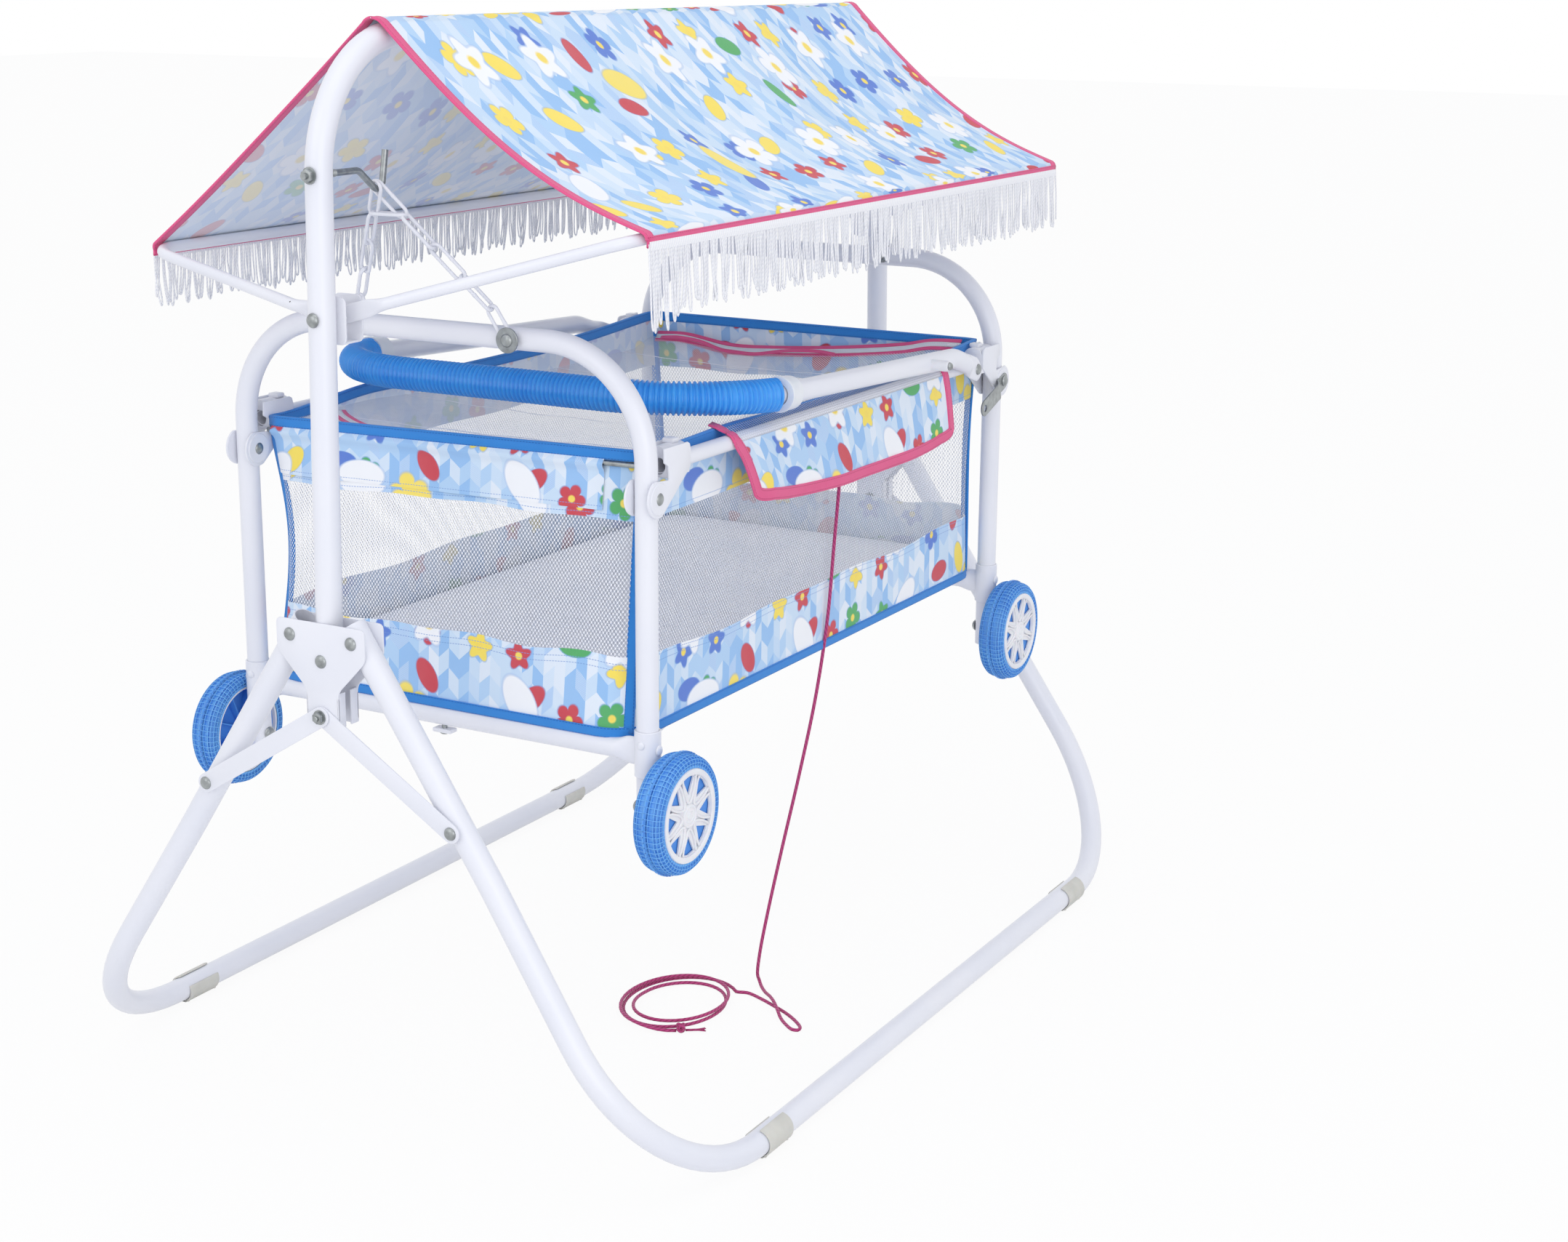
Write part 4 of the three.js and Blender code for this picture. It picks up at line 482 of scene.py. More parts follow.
def woven(name: str, points: Sequence[Vector], faces: Sequence[tuple[int, ...]],
          marks: Sequence[tuple[float, float]], smooth: bool) -> bpy.types.Object:
    """A mesh from its parts.

    Args:
        name: The piece's name.
        points: Its points in metres.
        faces: The points of each face, by number.
        marks: The place on the UV map of each face's corners in turn.
        smooth: Whether the faces are shaded smooth.

    Returns:
        The piece.
    """
    mesh = bpy.data.meshes.new(name)
    mesh.from_pydata(points, [], faces)
    layer = mesh.uv_layers.new(name="Cloth")
    layer.data.foreach_set("uv", [value for mark in marks for value in mark])
    if smooth:
        mesh.polygons.foreach_set("use_smooth", [True] * len(faces))
    piece = bpy.data.objects.new(name, mesh)
    bpy.context.scene.collection.objects.link(piece)
    return piece


def knit(name: str, rows: Sequence[Sequence[Vector]], across: Sequence[float], along: Sequence[float],
         tube: bool = False, caps: bool = True, smooth: bool = False) -> bpy.types.Object:
    """A mesh through rows of points, with its place on the cloth in metres as its UV map.

    Args:
        name: The piece's name.
        rows: The points in metres, row by row.
        across: Each column's place on the UV map.
        along: Each row's place on the UV map.
        tube: Whether each row closes on itself; across then has one more value.
        caps: Whether a tube's two ends are closed.
        smooth: Whether the faces are shaded smooth.

    Returns:
        The piece.
    """
    width = len(rows[0])
    points = [place for row in rows for place in row]
    faces, marks = [], []
    for j in range(len(rows) - 1):
        for i in range(width if tube else width - 1):
            right = (i + 1) % width
            faces.append((j * width + i, j * width + right, (j + 1) * width + right, (j + 1) * width + i))
            marks += [(across[i], along[j]), (across[i + 1], along[j]), (across[i + 1], along[j + 1]),
                      (across[i], along[j + 1])]
    if tube and caps:
        faces += [tuple(reversed(range(width))), tuple(range((len(rows) - 1) * width, len(rows) * width))]
        marks += [(across[i], along[0]) for i in reversed(range(width))]
        marks += [(across[i], along[-1]) for i in range(width)]
    return woven(name, points, faces, marks, smooth)


def runs(points: Sequence[Vector]) -> list[float]:
    """The distance run along a line at each of its points, in metres.

    Args:
        points: The line's points in metres.

    Returns:
        The distance at each point.
    """
    distance = [0.0]
    for before, after in zip(points, points[1:]):
        distance.append(distance[-1] + (after - before).length)
    return distance


def heading(line: Sequence[Vector], i: int) -> Vector:
    """The way that a line runs at one of its points."""
    return (line[min(i + 1, len(line) - 1)] - line[max(i - 1, 0)]).normalized()


def ring_at(place: Vector, first: Vector, second: Vector, radius: float, sides: int) -> list[Vector]:
    """The corners of a ring round a place, in the plane of two ways, with its radius in millimetres."""
    angles = [math.tau * k / sides for k in range(sides)]
    return [place + (first * math.cos(angle) + second * math.sin(angle)) * radius * MM for angle in angles]


def strand(name: str, points: Sequence[Vector], radii: Sequence[float],
           sides: int = 12) -> bpy.types.Object:
    """A round cord along a line, with its run and its turn as its UV map.

    Args:
        name: The piece's name.
        points: The line in metres.
        radii: Its radius in millimetres at each point.
        sides: The number of flats round it.

    Returns:
        The piece, smooth.
    """
    rows = []
    side = Z_WAY if abs((points[1] - points[0]).normalized().z) < 0.9 else X_WAY
    for i, place in enumerate(points):
        way = heading(points, i)
        side = (side - way * side.dot(way)).normalized()
        rows.append(ring_at(place, side, way.cross(side), radii[i], sides))
    return knit(name, rows, [k / sides for k in range(sides + 1)], runs(points), tube=True, smooth=True)


def tape(name: str, points: Sequence[Vector], faces: Sequence[Vector], width: float,
         thickness: float = 2.2) -> bpy.types.Object:
    """A folded binding tape along a cloth's edge.

    Args:
        name: The piece's name.
        points: The middle line of the tape in metres.
        faces: The way that the cloth faces at each point.
        width: The tape's width in millimetres.
        thickness: Its thickness over the cloth, in millimetres.

    Returns:
        The piece, with its run and its distance from the middle as its UV map.
    """
    half, thick = width / 2 * MM, thickness / 2 * MM
    upper = [(-1, 0.0), (-0.93, 0.72), (-0.72, 1), (-0.3, 0.82), (0.3, 0.82), (0.72, 1), (0.93, 0.72)]
    section = upper + [(-x, -y) for x, y in upper]
    rows = []
    for i, place in enumerate(points):
        way = heading(points, i)
        face = (faces[i] - way * faces[i].dot(way)).normalized()
        over = face.cross(way)
        rows.append([place + over * half * x + face * thick * y for x, y in section])
    across = [x * half for x, _ in section] + [section[0][0] * half]
    return knit(name, rows, across, runs(points), tube=True, smooth=True)


def cloth(name: str, surface: Surface, columns: int, rows: int, size: tuple[float, float],
          thickness: float = 0.0) -> bpy.types.Object:
    """A sheet of cloth modelled from a grid, with its place on the cloth in metres as its UV map.

    Args:
        name: The piece's name.
        surface: Gives the place in metres at two shares, across and along.
        columns: The grid's columns.
        rows: The grid's rows.
        size: The flat width and length in metres.
        thickness: The cloth's thickness in millimetres, or 0 for netting.

    Returns:
        The piece, smooth, its second face in a second finish slot.
    """
    take()
    bpy.ops.mesh.primitive_grid_add(x_subdivisions=columns, y_subdivisions=rows, size=1, calc_uvs=True)
    piece = named(name)
    layer = piece.data.uv_layers[0]
    for loop, mark in zip(piece.data.loops, layer.data):
        place = piece.data.vertices[loop.vertex_index].co
        mark.uv = ((place.x + 0.5) * size[0], (place.y + 0.5) * size[1])
    for vertex in piece.data.vertices:
        vertex.co = surface(vertex.co.x + 0.5, vertex.co.y + 0.5)
    if thickness:
        piece.data.materials.append(None)
        piece.data.materials.append(None)
        finish_with(piece, "SOLIDIFY", thickness=thickness * MM, offset=-1.0, material_offset=1,
                    material_offset_rim=1)
    return smoothed(piece, SOFT_CREASE)


@dataclass(frozen=True)
class Coat:
    """A finish, with the slot that it belongs to."""

    material: bpy.types.Material
    slot: str


def dress(piece: bpy.types.Object, coat: Coat, body: str | None = None, stands_for: Sequence[str] = (),
          back: Coat | None = None) -> bpy.types.Object:
    """Gives a piece its finish and its body, and hides the model's nodes that it stands for.

    Args:
        piece: The piece.
        coat: Its finish.
        body: The body that it rides on, or None where it bends between two.
        stands_for: The nodes that it stands for.
        back: The finish of a sheet's second face.

    Returns:
        The piece.
    """
    layers = [coat.material] if back is None else [coat.material, back.material]
    faces = [min(polygon.material_index, len(layers) - 1) for polygon in piece.data.polygons]
    piece.data.materials.clear()
    for layer in layers:
        piece.data.materials.append(layer)
    piece.data.polygons.foreach_set("material_index", faces)
    if stands_for:
        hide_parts(*stands_for)
    if body is not None:
        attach(piece, body)
    LOG.info("%s: %d faces", piece.name, len(piece.data.polygons))
    return piece


def dress_both(near: bpy.types.Object, coat: Coat, body: str, nodes: Sequence[str] = (),
               far_name: str = "") -> None:
    """Dresses a piece and its twin, which is turned half round Z.

    Args:
        near: The first piece.
        coat: Their finish.
        body: The body that they ride on.
        nodes: The nodes that the first and the twin stand for, or none.
        far_name: The twin's name, unless it is the first's with far for near.
    """
    far = copied(near, far_name or near.name.replace("near", "far"), TURN)
    dress(near, coat, body, nodes[:1])
    dress(far, coat, body, nodes[1:])


class Finish:
    """A material while its nodes are being laid out."""

    def __init__(self, name: str) -> None:
        """Starts a material with its plain shader.

        Args:
            name: The material's name.
        """
        self.material = bpy.data.materials.new(name)
        self.material.use_nodes = True
        self.tree = self.material.node_tree
        self.shader = self.tree.nodes["Principled BSDF"]

    def add(self, kind: str, feeds: Sequence[object] = (), **settings: object) -> bpy.types.Node:
        """Adds a node.

        Args:
            kind: The node's type name, without its ShaderNode start.
            feeds: What goes into its inputs in order: an output, a value or None.
            settings: Its other values by name.

        Returns:
            The node.
        """
        node = self.tree.nodes.new("ShaderNode" + kind)
        for name, value in settings.items():
            setattr(node, name, value)
        for socket, value in zip(node.inputs, feeds):
            if isinstance(value, bpy.types.NodeSocket):
                self.tree.links.new(value, socket)
            elif value is not None:
                socket.default_value = value
        return node

    def calc(self, operation: str, *values: object, clamp: bool = False) -> bpy.types.NodeSocket:
        """The result of a math node."""
        return self.add("Math", values, operation=operation, use_clamp=clamp).outputs[0]

    def times(self, first: object, second: object, clamp: bool = False) -> bpy.types.NodeSocket:
        """Two values multiplied."""
        return self.calc("MULTIPLY", first, second, clamp=clamp)

    def plus(self, first: object, second: object) -> bpy.types.NodeSocket:
        """Two values added."""
        return self.calc("ADD", first, second)

    def minus(self, first: object, second: object) -> bpy.types.NodeSocket:
        """The second value taken from the first."""
        return self.calc("SUBTRACT", first, second)

    def mix(self, share: object, first: object, second: object) -> bpy.types.NodeSocket:
        """Two colours mixed by a share.

        Args:
            share: The second colour's share.
            first: The first colour.
            second: The second colour.

        Returns:
            The colour's socket.
        """
        node = self.add("Mix", (), data_type="RGBA", clamp_factor=True)
        for name, value in (("Factor_Float", share), ("A_Color", first), ("B_Color", second)):
            socket = next(entry for entry in node.inputs if entry.identifier == name)
            if isinstance(value, bpy.types.NodeSocket):
                self.tree.links.new(value, socket)
            else:
                socket.default_value = value
        return next(entry for entry in node.outputs if entry.identifier == "Result_Color")

    def ramp(self, share: object, stops: Sequence[tuple[float, Colour]],
             stepped: bool = False) -> bpy.types.NodeSocket:
        """A colour read off a row of stops.

        Args:
            share: Where the colour is read.
            stops: The share and colour of each stop.
            stepped: Whether each colour holds up to the next stop.

        Returns:
            The colour's socket.
        """
        node = self.add("ValToRGB", (share,))
        node.color_ramp.interpolation = "CONSTANT" if stepped else "LINEAR"
        while len(node.color_ramp.elements) < len(stops):
            node.color_ramp.elements.new(0.5)
        for element, (place, colour) in zip(node.color_ramp.elements, stops):
            element.position = place
            element.color = colour
        return node.outputs[0]

    def body_space(self) -> bpy.types.NodeSocket:
        """Places on the object in metres."""
        return self.add("TexCoord").outputs["Object"]

    def cloth_space(self) -> tuple[bpy.types.NodeSocket, bpy.types.NodeSocket, bpy.types.NodeSocket]:
        """Places on the cloth in metres: as one vector, across and along."""
        place = self.add("UVMap").outputs[0]
        parts = self.add("SeparateXYZ", (place,))
        return place, parts.outputs[0], parts.outputs[1]

    def noise(self, place: object, scale: float, detail: float = 2) -> bpy.types.NodeSocket:
        """Soft noise of so many grains per metre.

        Args:
            place: Where it is read.
            scale: Its grains per metre.
            detail: How many finer layers it has.

        Returns:
            The value's socket.
        """
        node = self.add("TexNoise", (place,))
        node.inputs["Scale"].default_value = scale
        node.inputs["Detail"].default_value = detail
        return node.outputs["Fac"]

    def feed(self, name: str, source: object) -> None:
        """Feeds one of the shader's sockets, or sets it."""
        if isinstance(source, bpy.types.NodeSocket):
            self.tree.links.new(source, self.shader.inputs[name])
        else:
            self.shader.inputs[name].default_value = source

    def emboss(self, height: object, depth: float, strength: float = 1.0) -> None:
        """Raises the surface by a height map of so many millimetres.

        Args:
            height: The height map.
            depth: Its depth in millimetres.
            strength: How strongly it shows.
        """
        node = self.add("Bump")
        node.inputs["Strength"].default_value = strength
        node.inputs["Distance"].default_value = depth * MM
        self.tree.links.new(height, node.inputs["Height"])
        self.feed("Normal", node.outputs[0])


@dataclass(frozen=True)
class PowderCoat:
    """White paint baked on steel: a faint orange peel, a little uneven, chipped in a few specks."""

    colour: Colour = paint(234, 235, 242)
    chip: Colour = paint(70, 66, 64)
    gloss: float = 0.3

    def make(self, name: str) -> bpy.types.Material:
        """Lays out the paint.

        Args:
            name: The material's name.

        Returns:
            The material.
        """
        work = Finish(name)
        place = work.body_space()
        patches = work.noise(place, 9, 3)
        shade = work.ramp(patches, [(0.3, paint(229, 231, 240)), (0.7, self.colour)])
        grain = work.noise(place, 260, 2)
        cells = work.add("TexVoronoi", (place,), voronoi_dimensions="3D")
        cells.inputs["Scale"].default_value = 26
        rare = work.calc("GREATER_THAN", work.add("SeparateXYZ", (cells.outputs["Color"],)).outputs[0], 0.9)
        near = work.calc("LESS_THAN", work.plus(cells.outputs["Distance"], work.times(grain, 0.03)), 0.034)
        work.feed("Base Color", work.mix(work.times(rare, near), shade, self.chip))
        work.feed("Roughness", work.plus(self.gloss, work.times(patches, 0.12)))
        work.feed("Coat Weight", 0.25)
        work.feed("Coat Roughness", 0.18)
        work.emboss(work.noise(place, 620, 2), 0.06, 0.5)
        return work.material


@dataclass(frozen=True)
class ZincPlate:
    """Zinc plated steel, cloudy and finely scratched."""

    colour: Colour = paint(176, 181, 182)

    def make(self, name: str) -> bpy.types.Material:
        """Lays out the plating.

        Args:
            name: The material's name.

        Returns:
            The material.
        """
        work = Finish(name)
        place = work.body_space()
        clouds = work.noise(place, 140, 4)
        work.feed("Base Color", work.ramp(clouds, [(0.3, paint(138, 142, 144)), (0.7, self.colour)]))
        work.feed("Metallic", 1.0)
        work.feed("Roughness", work.plus(0.24, work.times(clouds, 0.22)))
        work.emboss(work.noise(place, 1400, 3), 0.05, 0.5)
        return work.material


@dataclass(frozen=True)
class MouldedPlastic:
    """Injection moulded plastic with a faint grain and handling marks."""

    colour: Colour
    shade: Colour
    roughness: float = 0.4
    grain: float = 0.04

    def make(self, name: str) -> bpy.types.Material:
        """Lays out the plastic.

        Args:
            name: The material's name.

        Returns:
            The material.
        """
        work = Finish(name)
        place = work.body_space()
        clouds = work.noise(place, 32, 4)
        work.feed("Base Color", work.ramp(clouds, [(0.35, self.shade), (0.65, self.colour)]))
        work.feed("Roughness", work.plus(self.roughness, work.times(clouds, 0.1)))
        work.feed("Subsurface Weight", 0.06)
        work.feed("Subsurface Scale", 0.002)
        work.emboss(work.noise(place, 900, 2), self.grain, 0.6)
        return work.material


@dataclass(frozen=True)
class Print:
    """Woven cotton printed with slanted blue tiles, strewn with plain flowers, ovals and stars."""

    tile_width: float = 13.0
    tile_height: float = 20.5
    reverse: bool = False
    stitch_rows: tuple[float, ...] = ()

    def tiles(self, work: Finish, u: object, v: object) -> bpy.types.NodeSocket:
        """The lattice's colour.

        Args:
            work: The material that it is laid out in.
            u: The place along the cloth.
            v: The place across the cloth.

        Returns:
            The colour's socket.
        """
        width, height = self.tile_width * MM, self.tile_height * MM
        slant = work.times(work.calc("PINGPONG", u, width), 0.85)
        row = work.calc("FLOOR", work.calc("DIVIDE", work.plus(v, slant), height))
        column = work.calc("FLOOR", work.calc("DIVIDE", u, width))
        cell = work.add("CombineXYZ", (column, row, 0.0)).outputs[0]
        chance = work.add("TexWhiteNoise", (cell,), noise_dimensions="3D")
        base = work.ramp(chance.outputs["Value"], [
            (0.0, paint(204, 226, 248)), (0.27, paint(148, 194, 242)), (0.55, paint(178, 212, 246)),
            (0.78, paint(226, 237, 250))], stepped=True)
        stripes = work.calc("SINE", work.times(work.plus(u, v), math.tau / 0.0021))
        hatched = work.calc("GREATER_THAN", work.add(
            "SeparateXYZ", (chance.outputs["Color"],)).outputs[1], 0.6)
        share = work.times(hatched, work.calc("MULTIPLY_ADD", stripes, 0.3, 0.3, clamp=True))
        return work.mix(share, base, paint(236, 243, 252))

    def motifs(self, work: Finish, place: object, under: object, pitch: float, radius: float, seldom: float,
               fills: Sequence[tuple[float, Colour]], offset: float) -> bpy.types.NodeSocket:
        """Strews one kind of motif over a colour.

        Args:
            work: The material.
            place: Places on the cloth.
            under: The colour below.
            pitch: The spacing in millimetres.
            radius: A motif's radius as a share of the spacing.
            seldom: The share of places left empty.
            fills: The motifs' colours by chance.
            offset: A shift that keeps layers apart, in spacings.

        Returns:
            The colour with the motifs on it.
        """
        scaled = work.add("VectorMath", (place, (1 / (pitch * MM),) * 3, (offset, offset * 0.7, 0.0)),
                          operation="MULTIPLY_ADD").outputs[0]
        cells = work.add("TexVoronoi", (scaled,), voronoi_dimensions="2D")
        cells.inputs["Scale"].default_value = 1.0
        cells.inputs["Randomness"].default_value = 0.5
        away = work.add("VectorMath", (scaled, cells.outputs["Position"]), operation="SUBTRACT").outputs[0]
        chance = work.add("SeparateXYZ", (cells.outputs["Color"],)).outputs
        spun = work.add("VectorRotate", (away,), rotation_type="Z_AXIS")
        work.tree.links.new(work.times(chance[0], math.tau), spun.inputs["Angle"])
        parts = work.add("SeparateXYZ", (spun.outputs[0],))
        x, y = parts.outputs[0], parts.outputs[1]
        length = work.calc("SQRT", work.plus(work.times(x, x), work.times(y, y)))
        angle = work.calc("ARCTAN2", y, x)
        lobes = work.calc("ABSOLUTE", work.calc("COSINE", work.times(angle, 2.5)))
        flower = work.times(work.calc("MULTIPLY_ADD", work.calc("POWER", lobes, 0.6), 0.42, 0.58), radius)
        rays = work.calc("COSINE", work.times(angle, 5.0))
        star = work.times(work.calc("MULTIPLY_ADD", rays, 0.17, 0.78), radius)
        squeezed = work.times(y, 1.75)
        oval = work.calc("SQRT", work.plus(work.times(x, x), work.times(squeezed, squeezed)))
        is_oval = work.calc("GREATER_THAN", chance[1], 0.62)
        is_star = work.calc("LESS_THAN", chance[1], 0.2)
        edge = work.calc("MULTIPLY_ADD", is_star, work.minus(star, flower), flower)
        edge = work.calc("MULTIPLY_ADD", is_oval, work.minus(radius * 1.15, edge), edge)
        reach = work.calc("MULTIPLY_ADD", is_oval, work.minus(oval, length), length)
        shown = work.calc("GREATER_THAN", chance[2], seldom)
        inside = work.times(shown, work.times(work.minus(edge, reach), 30.0, clamp=True))
        rim = work.times(shown,
                         work.times(work.minus(work.plus(edge, 0.9 / pitch), reach), 30.0, clamp=True))
        heart = work.times(inside,
                           work.times(work.minus(0.27 * radius,
                                                 work.calc("MULTIPLY_ADD", is_oval, 1.0, length)), 40.0,
                                      clamp=True))
        mark = work.calc("FRACT", work.times(work.plus(chance[0], chance[2]), 7.31))
        colour = work.mix(rim, under, paint(120, 168, 226))
        colour = work.mix(inside, colour, work.ramp(mark, fills, stepped=True))
        return work.mix(heart, colour, paint(250, 222, 84))

    def make(self, name: str) -> bpy.types.Material:
        """Lays out the printed cloth.

        Args:
            name: The material's name.

        Returns:
            The material.
        """
        work = Finish(name)
        place, u, v = work.cloth_space()
        colour = self.tiles(work, u, v)
        colour = self.motifs(work, place, colour, 62, 0.29, 0.06, [
            (0.0, paint(205, 44, 62)), (0.27, paint(76, 120, 212)), (0.5, paint(252, 226, 80)),
            (0.76, paint(70, 172, 92))], 0.0)
        colour = self.motifs(work, place, colour, 112, 0.25, 0.14, [
            (0.0, paint(247, 249, 253)), (0.72, paint(252, 228, 96))], 0.43)
        threads = work.times(work.calc("SINE", work.times(u, math.tau / 0.0007)),
                             work.calc("SINE", work.times(v, math.tau / 0.0007)))
        tone = work.noise(place, 18, 3)
        drawn = work.calc("LESS_THAN", work.calc("FRACT", work.calc("DIVIDE", u, 0.0034)), 0.7)
        for row in self.stitch_rows:
            beside = work.calc("ABSOLUTE", work.minus(v, row * MM))
            on_row = work.times(work.calc("LESS_THAN", beside, 0.4 * MM), drawn)
            colour = work.mix(work.times(on_row, 0.75), colour, paint(104, 148, 214))
        if self.reverse:
            colour = work.mix(0.62, colour, paint(240, 243, 250))
        work.feed("Base Color", work.mix(work.times(tone, 0.12), colour, paint(238, 243, 251)))
        work.feed("Roughness", 0.85)
        work.feed("Sheen Weight", 0.15)
        work.feed("Sheen Roughness", 0.5)
        work.emboss(threads, 0.08, 0.5)
        return work.material


@dataclass(frozen=True)
class BindingTape:
    """Bias binding: a fine twill with two rows of stitches."""

    colour: Colour
    thread: Colour
    stitch_at: float = 4.2
    stitch_length: float = 3.6

    def make(self, name: str) -> bpy.types.Material:
        """Lays out the tape.

        Args:
            name: The material's name.

        Returns:
            The material.
        """
        work = Finish(name)
        _, across, along = work.cloth_space()
        twill = work.calc("SINE", work.times(work.plus(across, along), math.tau / 0.0011))
        beside = work.calc("ABSOLUTE", work.minus(work.calc("ABSOLUTE", across), self.stitch_at * MM))
        on_row = work.calc("LESS_THAN", beside, 0.42 * MM)
        drawn = work.calc("LESS_THAN",
                          work.calc("FRACT", work.calc("DIVIDE", along, self.stitch_length * MM)), 0.72)
        stitch = work.times(on_row, drawn)
        worn = work.noise(work.body_space(), 70, 3)
        ground = work.mix(work.times(worn, 0.22), self.colour, self.thread)
        work.feed("Base Color", work.mix(stitch, ground, self.thread))
        work.feed("Roughness", 0.8)
        work.feed("Sheen Weight", 0.2)
        pulled = work.times(work.calc("LESS_THAN", beside, 0.9 * MM), -3.0)
        work.emboss(work.plus(twill, pulled), 0.12, 0.7)
        return work.material


@dataclass(frozen=True)
class Netting:
    """Knitted mesh: oval holes in staggered rows, with denser rows where it is seamed."""

    pitch: float = 4.2
    hole: float = 0.27
    seam: float = 0.0

    def make(self, name: str) -> bpy.types.Material:
        """Lays out the mesh.

        Args:
            name: The material's name.

        Returns:
            The material.
        """
        work = Finish(name)
        place, u, v = work.cloth_space()
        step = self.pitch * MM

        def nearness(shift: float) -> bpy.types.NodeSocket:
            """The distance from the nearest hole of one set of rows.

            Args:
                shift: The shift of the rows.

            Returns:
                The distance's socket.
            """
            x = work.minus(work.calc("FRACT", work.calc("MULTIPLY_ADD", u, 1 / step, shift)), 0.5)
            y = work.minus(work.calc("FRACT", work.calc("MULTIPLY_ADD", v, 0.72 / step, shift)), 0.5)
            return work.calc("SQRT", work.plus(work.times(x, x), work.times(y, y)))

        least = work.calc("MINIMUM", nearness(0.0), nearness(0.5))
        yarn = work.times(work.minus(least, self.hole), 9.0, clamp=True)
        if self.seam:
            row = work.calc("ABSOLUTE", work.minus(work.calc(
                "FRACT", work.calc("DIVIDE", u, self.seam * MM)), 0.5))
            yarn = work.calc("MAXIMUM", yarn, work.calc("LESS_THAN", row, 0.012))
        work.feed("Alpha", yarn)
        work.feed("Base Color", work.ramp(work.noise(place, 40, 2), [
            (0.3, paint(232, 235, 244)), (0.7, paint(245, 246, 250))]))
        work.feed("Roughness", 0.75)
        work.emboss(yarn, 0.2, 0.5)
        return work.material


@dataclass(frozen=True)
class TwistedCord:
    """Twisted cord: slanting strands of fine fibre, with painted shade in the grooves between the strands."""

    colour: Colour
    # The darker colour: of the darker fibres, and of the painted shade in the grooves between strands.
    shade: Colour
    lay: float = 0.006
    strands: int = 3

    def make(self, name: str) -> bpy.types.Material:
        """Lays out the cord.

        Args:
            name: The material's name.

        Returns:
            The material.
        """
        work = Finish(name)
        place, around, along = work.cloth_space()
        turn = work.plus(work.times(around, math.tau * self.strands),
                         work.times(along, math.tau / self.lay))
        ridge = work.calc("MULTIPLY_ADD", work.calc("SINE", turn), 0.5, 0.5)
        fibre = work.noise(work.body_space(), 900, 3)
        # The fibres' random tone, and the twist, which darkens the grooves between strands towards the shade
        # colour as painted shade.
        tone = work.calc("MULTIPLY_ADD", fibre, 0.35, work.times(ridge, 0.65))
        work.feed("Base Color", work.ramp(tone, [(0.15, self.shade), (0.6, self.colour)]))
        work.feed("Roughness", 0.78)
        work.feed("Sheen Weight", 0.3)
        work.emboss(tone, 0.3, 0.8)
        return work.material


@dataclass(frozen=True)
class Ticking:
    """Pale mattress cloth: a fine rib with soft creases, painted darker in their hollows as shade."""

    colour: Colour = paint(248, 249, 253)

    def make(self, name: str) -> bpy.types.Material:
        """Lays out the ticking.

        Args:
            name: The material's name.

        Returns:
            The material.
        """
        work = Finish(name)
        place = work.body_space()
        rib = work.add("TexWave", (place,), bands_direction="DIAGONAL")
        rib.inputs["Scale"].default_value = 120
        crease_and_shade = work.noise(place, 22, 4)
        # The creases' height also darkens the colour in their hollows: painted shade.
        work.feed("Base Color", work.ramp(crease_and_shade, [(0.3, paint(240, 243, 250)), (0.7, self.colour)]))
        work.feed("Roughness", 0.9)
        work.feed("Sheen Weight", 0.2)
        work.emboss(work.calc("MULTIPLY_ADD", crease_and_shade, 8.0, rib.outputs["Fac"]), 0.25, 0.6)
        return work.material


Recipe = PowderCoat | ZincPlate | MouldedPlastic | Print | BindingTape | Netting | TwistedCord | Ticking


